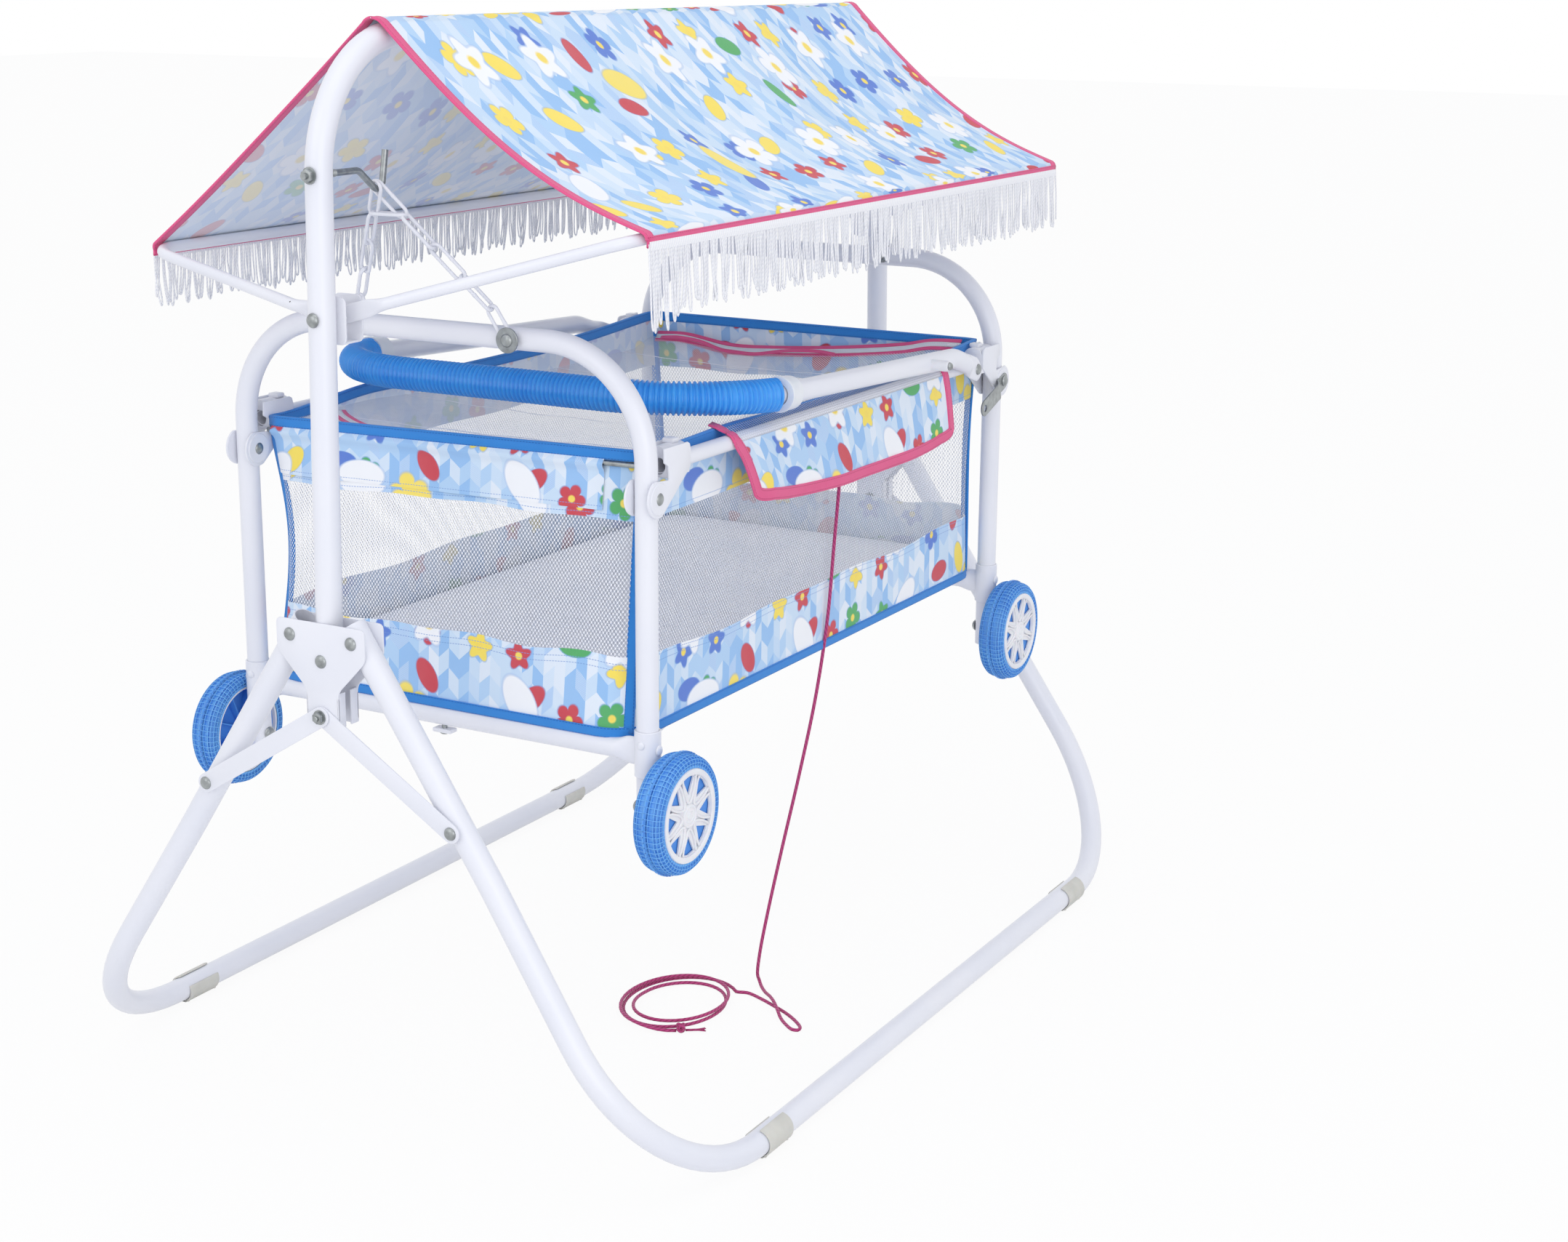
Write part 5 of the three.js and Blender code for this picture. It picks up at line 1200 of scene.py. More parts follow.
class Finishes:
    """Every finish of the cradle, made once."""

    def __init__(self) -> None:
        """Makes the finishes."""
        self.white = self.coat(PowderCoat(), "white_paint")
        self.zinc = self.coat(ZincPlate(), "zinc")
        self.moulding = self.coat(MouldedPlastic(paint(240, 240, 243), paint(230, 231, 237)),
                                  "white_plastic")
        self.clip = self.coat(MouldedPlastic(paint(216, 215, 208), paint(202, 201, 194), 0.5),
                              "clip_plastic")
        self.collar = self.coat(MouldedPlastic(paint(232, 235, 240), paint(220, 225, 233), 0.3),
                                "white_plastic", "collar_plastic")
        self.grip = self.coat(MouldedPlastic(paint(60, 160, 242), paint(50, 150, 238), 0.2, 0.01),
                              "grip_blue")
        self.tyre = self.coat(MouldedPlastic(paint(118, 184, 242), paint(106, 172, 237), 0.5, 0.06),
                              "tyre_blue")
        # The core is the tyre's blue painted darker, as the shade inside the wheel.
        self.wheel_back = self.coat(MouldedPlastic(paint(84, 152, 232), paint(68, 138, 224), 0.45),
                                    "tyre_blue", "wheel_back_blue")
        self.printed = self.coat(Print(), "print_cloth")
        self.hemmed = self.coat(Print(stitch_rows=(4.5, 66.5, 72.5)), "print_cloth", "print_cloth_hemmed")
        self.reverse = self.coat(Print(reverse=True), "print_cloth", "print_cloth_reverse")
        self.pink = self.coat(BindingTape(paint(236, 92, 146), paint(204, 60, 116)), "print_cloth",
                              "pink_binding")
        self.blue = self.coat(BindingTape(paint(44, 140, 224), paint(24, 104, 190)), "print_cloth",
                              "blue_binding")
        self.mesh = self.coat(Netting(4.2, 0.28), "white_net", "coarse_mesh")
        self.net = self.coat(Netting(2.8, 0.25, 148), "white_net", "fine_net")
        # The fringe's and the cord's second colours are their darker fibres and the painted shade in their
        # twist grooves.
        self.fringe = self.coat(TwistedCord(paint(246, 246, 249), paint(234, 236, 243), 0.004, 2),
                                "white_fringe")
        self.cord = self.coat(TwistedCord(paint(190, 62, 126), paint(146, 34, 88)), "pink_cord")
        self.ticking = self.coat(Ticking(), "mattress_cloth")
        self.zip_tape = self.coat(BindingTape(paint(240, 241, 246), paint(216, 218, 228), 1.2, 2.4),
                                  "white_net", "zip_tape")

    def coat(self, recipe: Recipe, slot: str, name: str = "") -> Coat:
        """Makes a finish for a slot; its material has the slot's name unless it has one of its own."""
        return Coat(recipe.make(name or slot), slot)


@dataclass
class Studio:
    """The camera at the photograph's place, a pale floor and soft light."""

    place: Vector = field(default_factory=lambda: mm(-2322.6, -1445.1, 1131.6))
    right: tuple[float, float, float] = (0.49852, -0.86687, 0.00399)
    up: tuple[float, float, float] = (0.22299, 0.13268, 0.96575)
    lens: float = 57.07
    shift: tuple[float, float] = (0.0309, 0.001)

    def build(self) -> None:
        """Sets the camera, the floor and the lamps."""
        data = bpy.data.cameras.new("camera")
        camera = bpy.data.objects.new("camera", data)
        bpy.context.scene.collection.objects.link(camera)
        data.sensor_width = 36
        data.lens = self.lens
        data.shift_x, data.shift_y = self.shift
        data.clip_end = 60
        camera.matrix_world = basis(self.place, Vector(self.right), Vector(self.up))
        bpy.context.scene.camera = camera
        bpy.context.scene.view_settings.view_transform = "Standard"
        self.floor()
        self.light()

    def seen(self, work: Finish) -> bpy.types.NodeSocket:
        """1 for rays that show the background itself: from the camera, off gloss or through clear stuff."""
        path = work.add("LightPath")
        return work.calc("MAXIMUM", path.outputs["Is Camera Ray"], work.calc(
            "MAXIMUM", path.outputs["Is Glossy Ray"], path.outputs["Is Transmission Ray"]))

    def floor(self) -> None:
        """A pale floor that keeps a faint shadow."""
        take()
        bpy.ops.mesh.primitive_plane_add(size=40, location=(0, 0, 0))
        floor = named("floor")
        work = Finish("floor")
        work.feed("Base Color", (0.86, 0.86, 0.87, 1))
        work.feed("Roughness", 0.9)
        glow = work.add("Emission", ((1.0, 1.0, 1.0, 1), 1.0))
        blend = work.add("MixShader", (work.times(self.seen(work), 0.92), work.shader.outputs[0],
                                       glow.outputs[0]))
        work.tree.links.new(blend.outputs[0], work.tree.nodes["Material Output"].inputs["Surface"])
        floor.data.materials.append(work.material)

    def light(self) -> None:
        """A pale surround with large soft lamps from above, the left and the front."""
        world = bpy.data.worlds.new("surround")
        bpy.context.scene.world = world
        world.use_nodes = True
        tree = world.node_tree
        shown = tree.nodes.new("ShaderNodeBackground")
        shown.inputs["Strength"].default_value = 1.0
        shown.inputs["Color"].default_value = (1, 1, 1, 1)
        lit = tree.nodes["Background"]
        lit.inputs["Color"].default_value = (0.95, 0.965, 1.0, 1)
        lit.inputs["Strength"].default_value = 0.82
        path = tree.nodes.new("ShaderNodeLightPath")
        either = tree.nodes.new("ShaderNodeMath")
        either.operation = "MAXIMUM"
        tree.links.new(path.outputs["Is Camera Ray"], either.inputs[0])
        tree.links.new(path.outputs["Is Glossy Ray"], either.inputs[1])
        blend = tree.nodes.new("ShaderNodeMixShader")
        tree.links.new(either.outputs[0], blend.inputs[0])
        tree.links.new(lit.outputs[0], blend.inputs[1])
        tree.links.new(shown.outputs[0], blend.inputs[2])
        tree.links.new(blend.outputs[0], tree.nodes["World Output"].inputs["Surface"])
        for name, place, size, power in (
            ("lamp_above", (-0.6, -0.8, 3.6), 3.0, 16.0), ("lamp_left", (-3.0, 0.6, 2.0), 2.2, 12.0),
            ("lamp_front", (-2.6, -2.9, 1.2), 2.6, 26.0),
        ):
            data = bpy.data.lights.new(name, "AREA")
            data.size = size
            data.energy = power
            lamp = bpy.data.objects.new(name, data)
            bpy.context.scene.collection.objects.link(lamp)
            way = Vector((0, 0, 0.5)) - Vector(place)
            lamp.matrix_world = facing(Vector(place), -way.normalized())


CORD_ROUTE = (
    (2, -241, 659.6), (2.3, -241, 640), (2.6, -240.5, 612), (2.7, -238.7, 580), (1.6, -234, 513),
    (-4, -230.4, 434), (-11, -220.7, 345), (-17.5, -204.5, 253), (-27, -189, 167), (-36, -176.4, 91),
    (-39, -168.4, 42), (-35, -163.5, 14), (-30, -163, 5), (-38, -170, 2.6), (-52, -183, 3), (-66, -197, 6),
    (-79, -209, 7.4), (-92, -220.5, 6), (-106, -233, 3), (-117, -246, 2.2), (-124, -257, 2.2),
    (-122.5, -263, 2.2), (-116, -262.5, 2.2), (-104, -251, 2.2), (-90, -231, 2.2), (-78, -207, 2.2),
    (-69.5, -188, 2.2), (-62.5, -166, 2.2),
)


@dataclass
class PullCord:
    """The pink cord that rocks the cradle: tied to the right rail, its spare length looped on the floor."""

    radius: float = 1.9
    centre: tuple[float, float] = (-126, -113)
    half_axes: tuple[float, float] = (70, 56)
    turns: float = 2.71
    start_angle: float = -0.7
    outer: float = 1.12
    inner: float = 0.8
    floor_gap: float = 0.3
    layer_gap: float = 0.9
    steps_per_turn: int = 40
    knot_radius: float = 5.2
    knot_length: float = 10
    tail_length: float = 26

    def coil_place(self, share: float) -> Vector:
        """The coil's middle line at a share of its length, in millimetres.

        Args:
            share: The share of its length.

        Returns:
            The place.
        """
        angle = self.start_angle + math.tau * self.turns * share
        size = lerp(self.inner, self.outer, abs(2 * share - 1))
        half_turn = 0.5 / self.turns
        climb = smoothstep((share - 0.5 + half_turn / 2) / half_turn)
        settle = 1 - smoothstep((share - 1 + 0.14 / self.turns) / (0.14 / self.turns))
        height = self.radius + self.floor_gap + (2 * self.radius + self.layer_gap) * climb * settle
        return Vector((self.centre[0] + self.half_axes[0] * size * math.cos(angle),
                       self.centre[1] + self.half_axes[1] * size * math.sin(angle), height))

    def route(self) -> list[Vector]:
        """The cord's middle line from the rail to its knot, in metres."""
        ends = [Vector(place) for place in CORD_ROUTE] + [self.coil_place(0)]
        points: list[Vector] = []
        for i in range(len(ends) - 1):
            before = ends[i - 1] if i else ends[0] * 2 - ends[1]
            after = ends[i + 2] if i + 2 < len(ends) else self.coil_place(0.02)
            count = max(2, round((ends[i + 1] - ends[i]).length / 4))
            for k in range(count):
                points.append(catmull(before, ends[i], ends[i + 1], after, k / count))
        steps = round(self.turns * self.steps_per_turn)
        points += [self.coil_place(k / steps) for k in range(steps + 1)]
        return [place * MM for place in points]

    def knot(self, last: Vector, way: Vector) -> bpy.types.Object:
        """An overhand knot and its frayed tail, just past the end of the coil.

        Args:
            last: The coil's last place.
            way: The way that the cord runs there.

        Returns:
            The piece.
        """
        middle = last + way * self.knot_length / 2 * MM
        middle.z = (self.knot_radius + self.floor_gap) * MM
        side = Vector((-way.y, way.x, 0))
        loops = []
        for k in range(49):
            angle = math.tau * k / 48
            ring = self.knot_radius - self.radius + 0.9 * math.cos(3 * angle)
            loops.append(middle + (side * math.cos(2 * angle) + Z_WAY * math.sin(2 * angle)) * ring * MM
                         + way * 3.2 * math.sin(3 * angle) * MM)
        knot = strand("knot_loops", loops, [self.radius] * len(loops), 10)
        start = middle + way * self.knot_length / 2 * MM
        tails = []
        for k in range(7):
            angle = math.tau * k / 7
            spread = Vector((math.cos(angle) * side.x, math.cos(angle) * side.y, math.sin(angle) * 0.5))
            line = []
            for step in range(7):
                share = step / 6
                loose = max(share - 0.55, 0) * 5
                place = start + way * (self.tail_length - 5 + 0.7 * (k % 3)) * share * MM
                place += spread * (0.9 + loose * 1.1) * MM
                place.z = max((self.radius + self.floor_gap) * MM + spread.z * (0.9 + loose * 0.8) * MM,
                              0.0009)
                line.append(place)
            tails.append(strand("tail_strand", line, [0.85 if step < 4 else 0.55 for step in range(7)], 6))
        return joined("cord_knot", [knot, *tails])

    def build(self, finishes: Finishes) -> None:
        """Makes the cord, its knot and the tie on the rail.

        Args:
            finishes: The finishes.
        """
        line = self.route()
        piece = strand("pull_cord", line, [self.radius] * len(line), 12)
        dress(piece, finishes.cord, None, ["cord_run", "cord_coil"])
        way = line[-1] - line[-2]
        way.z = 0
        knot = self.knot(line[-1], way.normalized())
        dress(knot, finishes.cord, "stand")
        length = runs(line)[-1]
        tuple(line[0])
        [tuple(place) for place in line]
        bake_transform(piece)
        wraps = []
        for k in range(61):
            angle = math.tau * 3 * k / 60
            wraps.append(mm(2 + 3.6 * math.cos(angle), -241 + 3.6 * math.sin(angle), 644 + 12 * k / 60))
        tie = strand("cord_tie", wraps, [self.radius] * len(wraps), 10)
        dress(tie, finishes.cord, "cradle")
        LOG.info("cord: %.3f m long", length)


def catmull(before: Vector, start: Vector, end: Vector, after: Vector, share: float) -> Vector:
    """A place on the smooth line from start to end.

    Args:
        before: The place before the start.
        start: The place at the start.
        end: The place at the end.
        after: The place after the end.
        share: How far it is from start to end.

    Returns:
        The place.
    """
    knots = [0.0]
    for first, second in ((before, start), (start, end), (end, after)):
        knots.append(knots[-1] + max((second - first).length, 1e-6) ** 0.5)
    at = lerp(knots[1], knots[2], share)

    def between(first: Vector, second: Vector, low: float, high: float) -> Vector:
        """Two places mixed by where the share lies between two knots."""
        return first.lerp(second, (at - low) / (high - low))

    a1 = between(before, start, knots[0], knots[1])
    a2 = between(start, end, knots[1], knots[2])
    a3 = between(end, after, knots[2], knots[3])
    b1 = between(a1, a2, knots[0], knots[2])
    b2 = between(a2, a3, knots[1], knots[3])
    return between(b1, b2, knots[1], knots[2])


def smooth_line(places: Sequence[Vector], steps: int) -> list[Vector]:
    """A smooth line through places, with so many steps from each to the next.

    Args:
        places: The places that it goes through.
        steps: The number of steps from each to the next.

    Returns:
        The line's points.
    """
    line = []
    for i in range(len(places) - 1):
        before = places[i - 1] if i else places[0] * 2 - places[1]
        after = places[i + 2] if i + 2 < len(places) else places[-1] * 2 - places[-2]
        line += [catmull(before, places[i], places[i + 1], after, k / steps) for k in range(steps)]
    return [*line, places[-1]]


@dataclass
class Fasteners:
    """Rivets, bolts, washers and nuts, each modelled once and copied."""

    finishes: Finishes

    def dome(self, name: str, at: Vector, way: Vector, radius: float = 6.5,
             height: float = 3.0) -> bpy.types.Object:
        """A domed rivet head with a shallow struck flat, standing on a place."""
        profile = [(0, height * 0.97), (radius * 0.32, height), (radius * 0.62, height * 0.86),
                   (radius * 0.85, height * 0.55), (radius * 0.97, height * 0.22), (radius, 0), (0, 0)]
        return moved(turned(name, profile, 24), facing(at, way))

    def nut(self, name: str, at: Vector, way: Vector, radius: float = 5.8,
            height: float = 5.0) -> bpy.types.Object:
        """A hexagon nut with chamfered corners, on a washer and with the bolt's end standing out of it.

        Args:
            name: The piece's name.
            at: The place that it sits on, in metres.
            way: The way that it stands out.
            radius: Its radius over the corners in millimetres.
            height: Its height in millimetres.

        Returns:
            The piece.
        """
        outline = [(radius * math.cos(math.tau * k / 6), radius * math.sin(math.tau * k / 6))
                   for k in range(6)]
        body = plate("nut_body", outline, height, 0.7)
        washer = turned("nut_washer", [(0, 0), (radius * 1.22, 0), (radius * 1.22, 0.9), (0, 0.9)], 24)
        stub = turned("bolt_end",
                      [(0, height + 2.6), (2.2, height + 2.6), (2.9, height + 1.9), (2.9, 0), (0, 0)], 16)
        return moved(joined(name, [body, washer, stub]), facing(at, way))

    def shank(self, name: str, start: Vector, end: Vector, radius: float) -> bpy.types.Object:
        """A round shank between two places."""
        length = (end - start).length / MM
        return moved(turned(name, [(0, 0), (radius, 0), (radius, length), (0, length)], 16),
                     facing(start, (end - start).normalized()))


@dataclass
class Stand:
    """The folding stand: overhead tube, hubs, leg frames, braces, foot clips and chain hooks."""

    finishes: Finishes
    fasteners: Fasteners
    tube: float = 12.7
    wall: float = 1.2
    hub_x: float = 566
    head_x: float = 553.5
    ridge: float = 1061
    ridge_bend: float = 125
    hub_top: float = 530
    rivet_height: float = 515
    half_spacing: float = 36
    post_rivet: float = 493
    plate_thickness: float = 2
    floor_bar: float = 15
    half_width: float = 369
    foot_x: float = 577
    leg_bend: float = 173
    bolt_height: float = 440
    hub_face: float = 15
    seat: float = 0.3
    pin: float = 3
    neck: float = 19
    post_foot: float = 480
    leg_overhang: float = 16
    leg_straight: float = 260
    slight_bend: float = 60
    clip_x: float = 376
    clip_length: float = 46
    clip_wall: float = 2.3
    clip_opening: float = 1.25
    brace_width: float = 19
    brace_rivet: float = 198
    hook_height: float = 940

    def post_x(self, height: float) -> float:
        """The near post's middle at a height above the hub."""
        return -lerp(self.hub_x, self.head_x, max(height - self.hub_top, 0) / (self.ridge - self.hub_top))

    def in_frame(self, x: float, down: float, side: int) -> Vector:
        """A place in a leg frame's sloping plane, so far down from the hub rivets."""
        slope = math.atan2(self.half_width - self.half_spacing, self.rivet_height - self.floor_bar)
        return mm(x, side * (self.half_spacing + down * math.sin(slope)),
                  self.rivet_height - down * math.cos(slope))

    def overhead(self) -> None:
        """The tube that runs up one post, along the ridge and down the other."""
        half = [(self.hub_x, self.post_foot), (self.hub_x, self.hub_top), (self.head_x, self.ridge)]
        corners = [mm(-x, 0, z) for x, z in half] + [mm(x, 0, z) for x, z in reversed(half)]
        bends = [self.slight_bend, self.ridge_bend, self.ridge_bend, self.slight_bend]
        piece = pipe("overhead", bent(corners, bends, 5), self.tube, self.wall, 32)
        dress(piece, self.finishes.white, "stand", ["overhead_tube"])

    def hub_outline(self) -> list[tuple[float, float]]:
        """The hub plate's outline, across and up."""
        half = [(52, self.hub_top), (52, 499), (self.neck, 465), (self.neck, 428)]
        return rounded([(-y, z) for y, z in half] + half[::-1], 6)

    def hub(self, way: int) -> bpy.types.Object:
        """One plate of the near hub with its folded neck; way is -1 for the outer one.

        Args:
            way: -1 for the outer plate and 1 for the inner one.

        Returns:
            The piece.
        """
        face = -self.hub_x + way * (self.tube + self.seat)
        sheet = plate("hub_sheet", self.hub_outline(), self.plate_thickness, 0.7)
        start = face if way > 0 else face - self.plate_thickness
        stood(sheet, mm(start, 0, 0))
        parts = [sheet]
        for side in (-1, 1):
            ys = sorted((side * self.neck, side * (self.neck - self.plate_thickness)))
            xs = sorted((face - way * 9, face + way * self.plate_thickness))
            parts.append(block("hub_fold", mm(xs[0], ys[0], 430), mm(xs[1], ys[1], 464), 0.6))
        return joined("hub_outer_plate" if way < 0 else "hub_inner_plate", parts)

    def hubs(self) -> None:
        """Both ends' hubs with their rivets and the braces' bolts."""
        outside = -self.hub_x - self.hub_face
        inside = -self.hub_x + self.hub_face + self.seat
        metal = []
        for y, z in ((-self.half_spacing, self.rivet_height), (self.half_spacing, self.rivet_height),
                     (0, self.post_rivet)):
            first, second = mm(outside, y, z), mm(inside, y, z)
            metal += [self.fasteners.dome("hub_rivet", first, X_BACK),
                      self.fasteners.dome("hub_rivet", second, X_WAY),
                      self.fasteners.shank("rivet_shank", first, second, self.pin)]
        stack, back = mm(outside - 4.9, 0, self.bolt_height), mm(inside, 0, self.bolt_height)
        metal += [self.fasteners.nut("brace_nut", stack, X_BACK),
                  self.fasteners.nut("brace_nut", back, X_WAY, 5.8, 4.2),
                  self.fasteners.shank("brace_bolt", stack, back, self.pin)]
        rivets = joined("hub_fixings_near", metal)
        outer, inner = self.hub(-1), self.hub(1)
        white = self.finishes.white
        for near, kind in ((outer, "outer"), (inner, "inner")):
            dress(near, white, "stand", [f"hub_{kind}_near"])
            dress(copied(near, f"hub_{kind}_plate_far", TURN), white, "stand", [f"hub_{kind}_far"])
        dress_both(rivets, self.finishes.zinc, "stand")

    def leg_frames(self) -> None:
        """Each side's bent tube: down from the near hub, along the floor and up to the far hub."""
        foot = math.hypot(self.half_width - self.half_spacing, self.rivet_height - self.floor_bar)
        for side in Side:
            half = [(self.hub_x, -self.leg_overhang), (self.hub_x, self.leg_straight), (self.foot_x, foot)]
            corners = [self.in_frame(-x, down, side.value) for x, down in half]
            corners += [self.in_frame(x, down, side.value) for x, down in reversed(half)]
            label = side.label
            bends = [self.slight_bend, self.leg_bend, self.leg_bend, self.slight_bend]
            piece = pipe(f"leg_frame_tube_{label}", bent(corners, bends, 5), self.tube, self.wall, 32)
            dress(piece, self.finishes.white, f"leg_frame_{label}",
                  [f"leg_near_{label}", f"leg_far_{label}", f"floor_bar_{label}"])
            for end in End:
                self.clip(end, side)

    def clip(self, end: End, side: Side) -> None:
        """A moulded clip snapped round the floor bar, open at its top inner side, with a flat sole.

        Args:
            end: The end.
            side: The side.
        """
        inner, outer, opening = self.tube + 0.5, self.tube + self.clip_wall, self.clip_opening
        middle = math.pi / 2 + side.value * 0.5
        angles = [middle + opening / 2 + (math.tau - opening) * k / 40 for k in range(41)]
        outline = [(outer * math.cos(a), max(outer * math.sin(a), -14.9)) for a in angles]
        outline += [(inner * math.cos(a), inner * math.sin(a)) for a in reversed(angles)]
        ring = plate("clip_ring", outline, self.clip_length, 0.5)
        x = end.value * self.clip_x - self.clip_length / 2
        y = side.value * self.half_width
        stood(ring, mm(x, y, self.floor_bar))
        sole = block("clip_sole", mm(x, y - 5.5, 0), mm(x + self.clip_length, y + 5.5, 2.2), 0.5)
        lips = [block("clip_lip", mm(at, y - 9, 1.6), mm(at + 3, y + 9, 3.2), 0.4)
                for at in (x, x + self.clip_length - 3)]
        name = corner_label(end, side)
        dress(joined(f"clip_{name}", [ring, sole, *lips]), self.finishes.clip,
              f"leg_frame_{side.label}", [f"foot_clip_{name}"])

    def braces(self) -> None:
        """The four flat braces from the hubs' lower bolts to the legs, with their rivets."""
        for end in End:
            for side in Side:
                name = corner_label(end, side)
                layer = 1 if name in ("near_left", "far_right") else 0
                thick = self.plate_thickness
                outer = self.hub_x + self.hub_face + self.seat + layer * (thick + self.seat)
                place = self.in_frame(0, self.brace_rivet, side.value) / MM
                route = (0.0, self.bolt_height), (place.y, place.z)
                bar = plate("brace_bar", strip(*route, self.brace_width), thick, 0.5)
                x = -(outer + thick) if end is End.NEAR else outer
                stood(bar, mm(x, 0, 0))
                dress(bar, self.finishes.white, f"brace_{name}", [f"brace_{name}"])
                bar.name = f"brace_bar_{name}"
                seat = mm(end.value * (outer + thick), place.y, place.z)
                head = self.fasteners.dome("head", seat, Vector((end.value, 0, 0)))
                shank = self.fasteners.shank(
                    "shank", mm(end.value * (self.hub_x + self.tube + self.seat), place.y, place.z), seat,
                    5)
                dress(joined(f"brace_rivet_{name}", [head, shank]), self.finishes.zinc, f"brace_{name}")

    def hooks(self) -> None:
        """The threaded rods through the posts that the chains hang on."""
        high = self.hook_height
        seat = self.post_x(high) - self.tube - self.seat
        corners = [mm(seat - 9, 0, high), mm(-500, 0, high), mm(-467, 0, 914.5), mm(-459, 0, 956)]
        rod = pipe("rod", bent(corners, [12, 9], 9), 3.15, 0, 20)
        nut = self.fasteners.nut("hook_nut", mm(seat, 0, high), X_BACK, 6.4, 5.5)
        threads = []
        for k in range(7):
            ring = turned("thread", [(3.1, 0), (3.5, 0.45), (3.1, 0.9)], 20, True)
            threads.append(moved(ring, facing(mm(seat + 26.6 + k * 1.3, 0, high), X_WAY)))
        near = joined("hook_rod_near", [rod, nut, *threads])
        dress_both(near, self.finishes.zinc, "stand", ("hook_near", "hook_far"))

    def build(self) -> None:
        """Makes the stand."""
        self.overhead()
        self.hubs()
        self.leg_frames()
        self.braces()
        self.hooks()


def spread(points: Sequence[Vector], gap: float) -> list[Vector]:
    """A line with points added, so that none of its steps is longer than the gap in millimetres.

    Args:
        points: The line's points in metres.
        gap: The longest step in millimetres.

    Returns:
        The line with its added points.
    """
    line = [points[0]]
    for before, after in zip(points, points[1:]):
        count = max(1, math.ceil((after - before).length / (gap * MM)))
        line += [before.lerp(after, k / count) for k in range(1, count + 1)]
    return line


def reshaped(piece: bpy.types.Object, rule: Callable[[Vector], Vector]) -> bpy.types.Object:
    """Moves each of a piece's corners by a rule that is given and returns millimetres.

    Args:
        piece: The piece.
        rule: What gives a corner's new place from its old one.

    Returns:
        The piece.
    """
    for vertex in piece.data.vertices:
        vertex.co = rule(vertex.co / MM) * MM
    piece.data.update()
    return piece


def loop(name: str, points: Sequence[Vector], radii: Sequence[float], normal: Vector,
         sides: int = 12) -> bpy.types.Object:
    """A closed wire ring through points that lie in one plane.

    Args:
        name: The piece's name.
        points: The ring's middle line in metres, without its first point again.
        radii: The wire's radius in millimetres at each point.
        normal: The way square to the ring's plane.
        sides: The number of flats round the wire.

    Returns:
        The piece, closed and smooth.
    """
    rows = []
    count = len(points)
    for i in range(count + 1):
        way = (points[(i + 1) % count] - points[(i - 1) % count]).normalized()
        up = way.cross(normal).normalized()
        rows.append(ring_at(points[i % count], normal, up, radii[i % count], sides))
    marks = [k / sides for k in range(sides + 1)]
    piece = knit(name, rows, marks, runs([*points, points[0]]), tube=True, caps=False)
    return smoothed(tidied(piece), SOFT_CREASE)


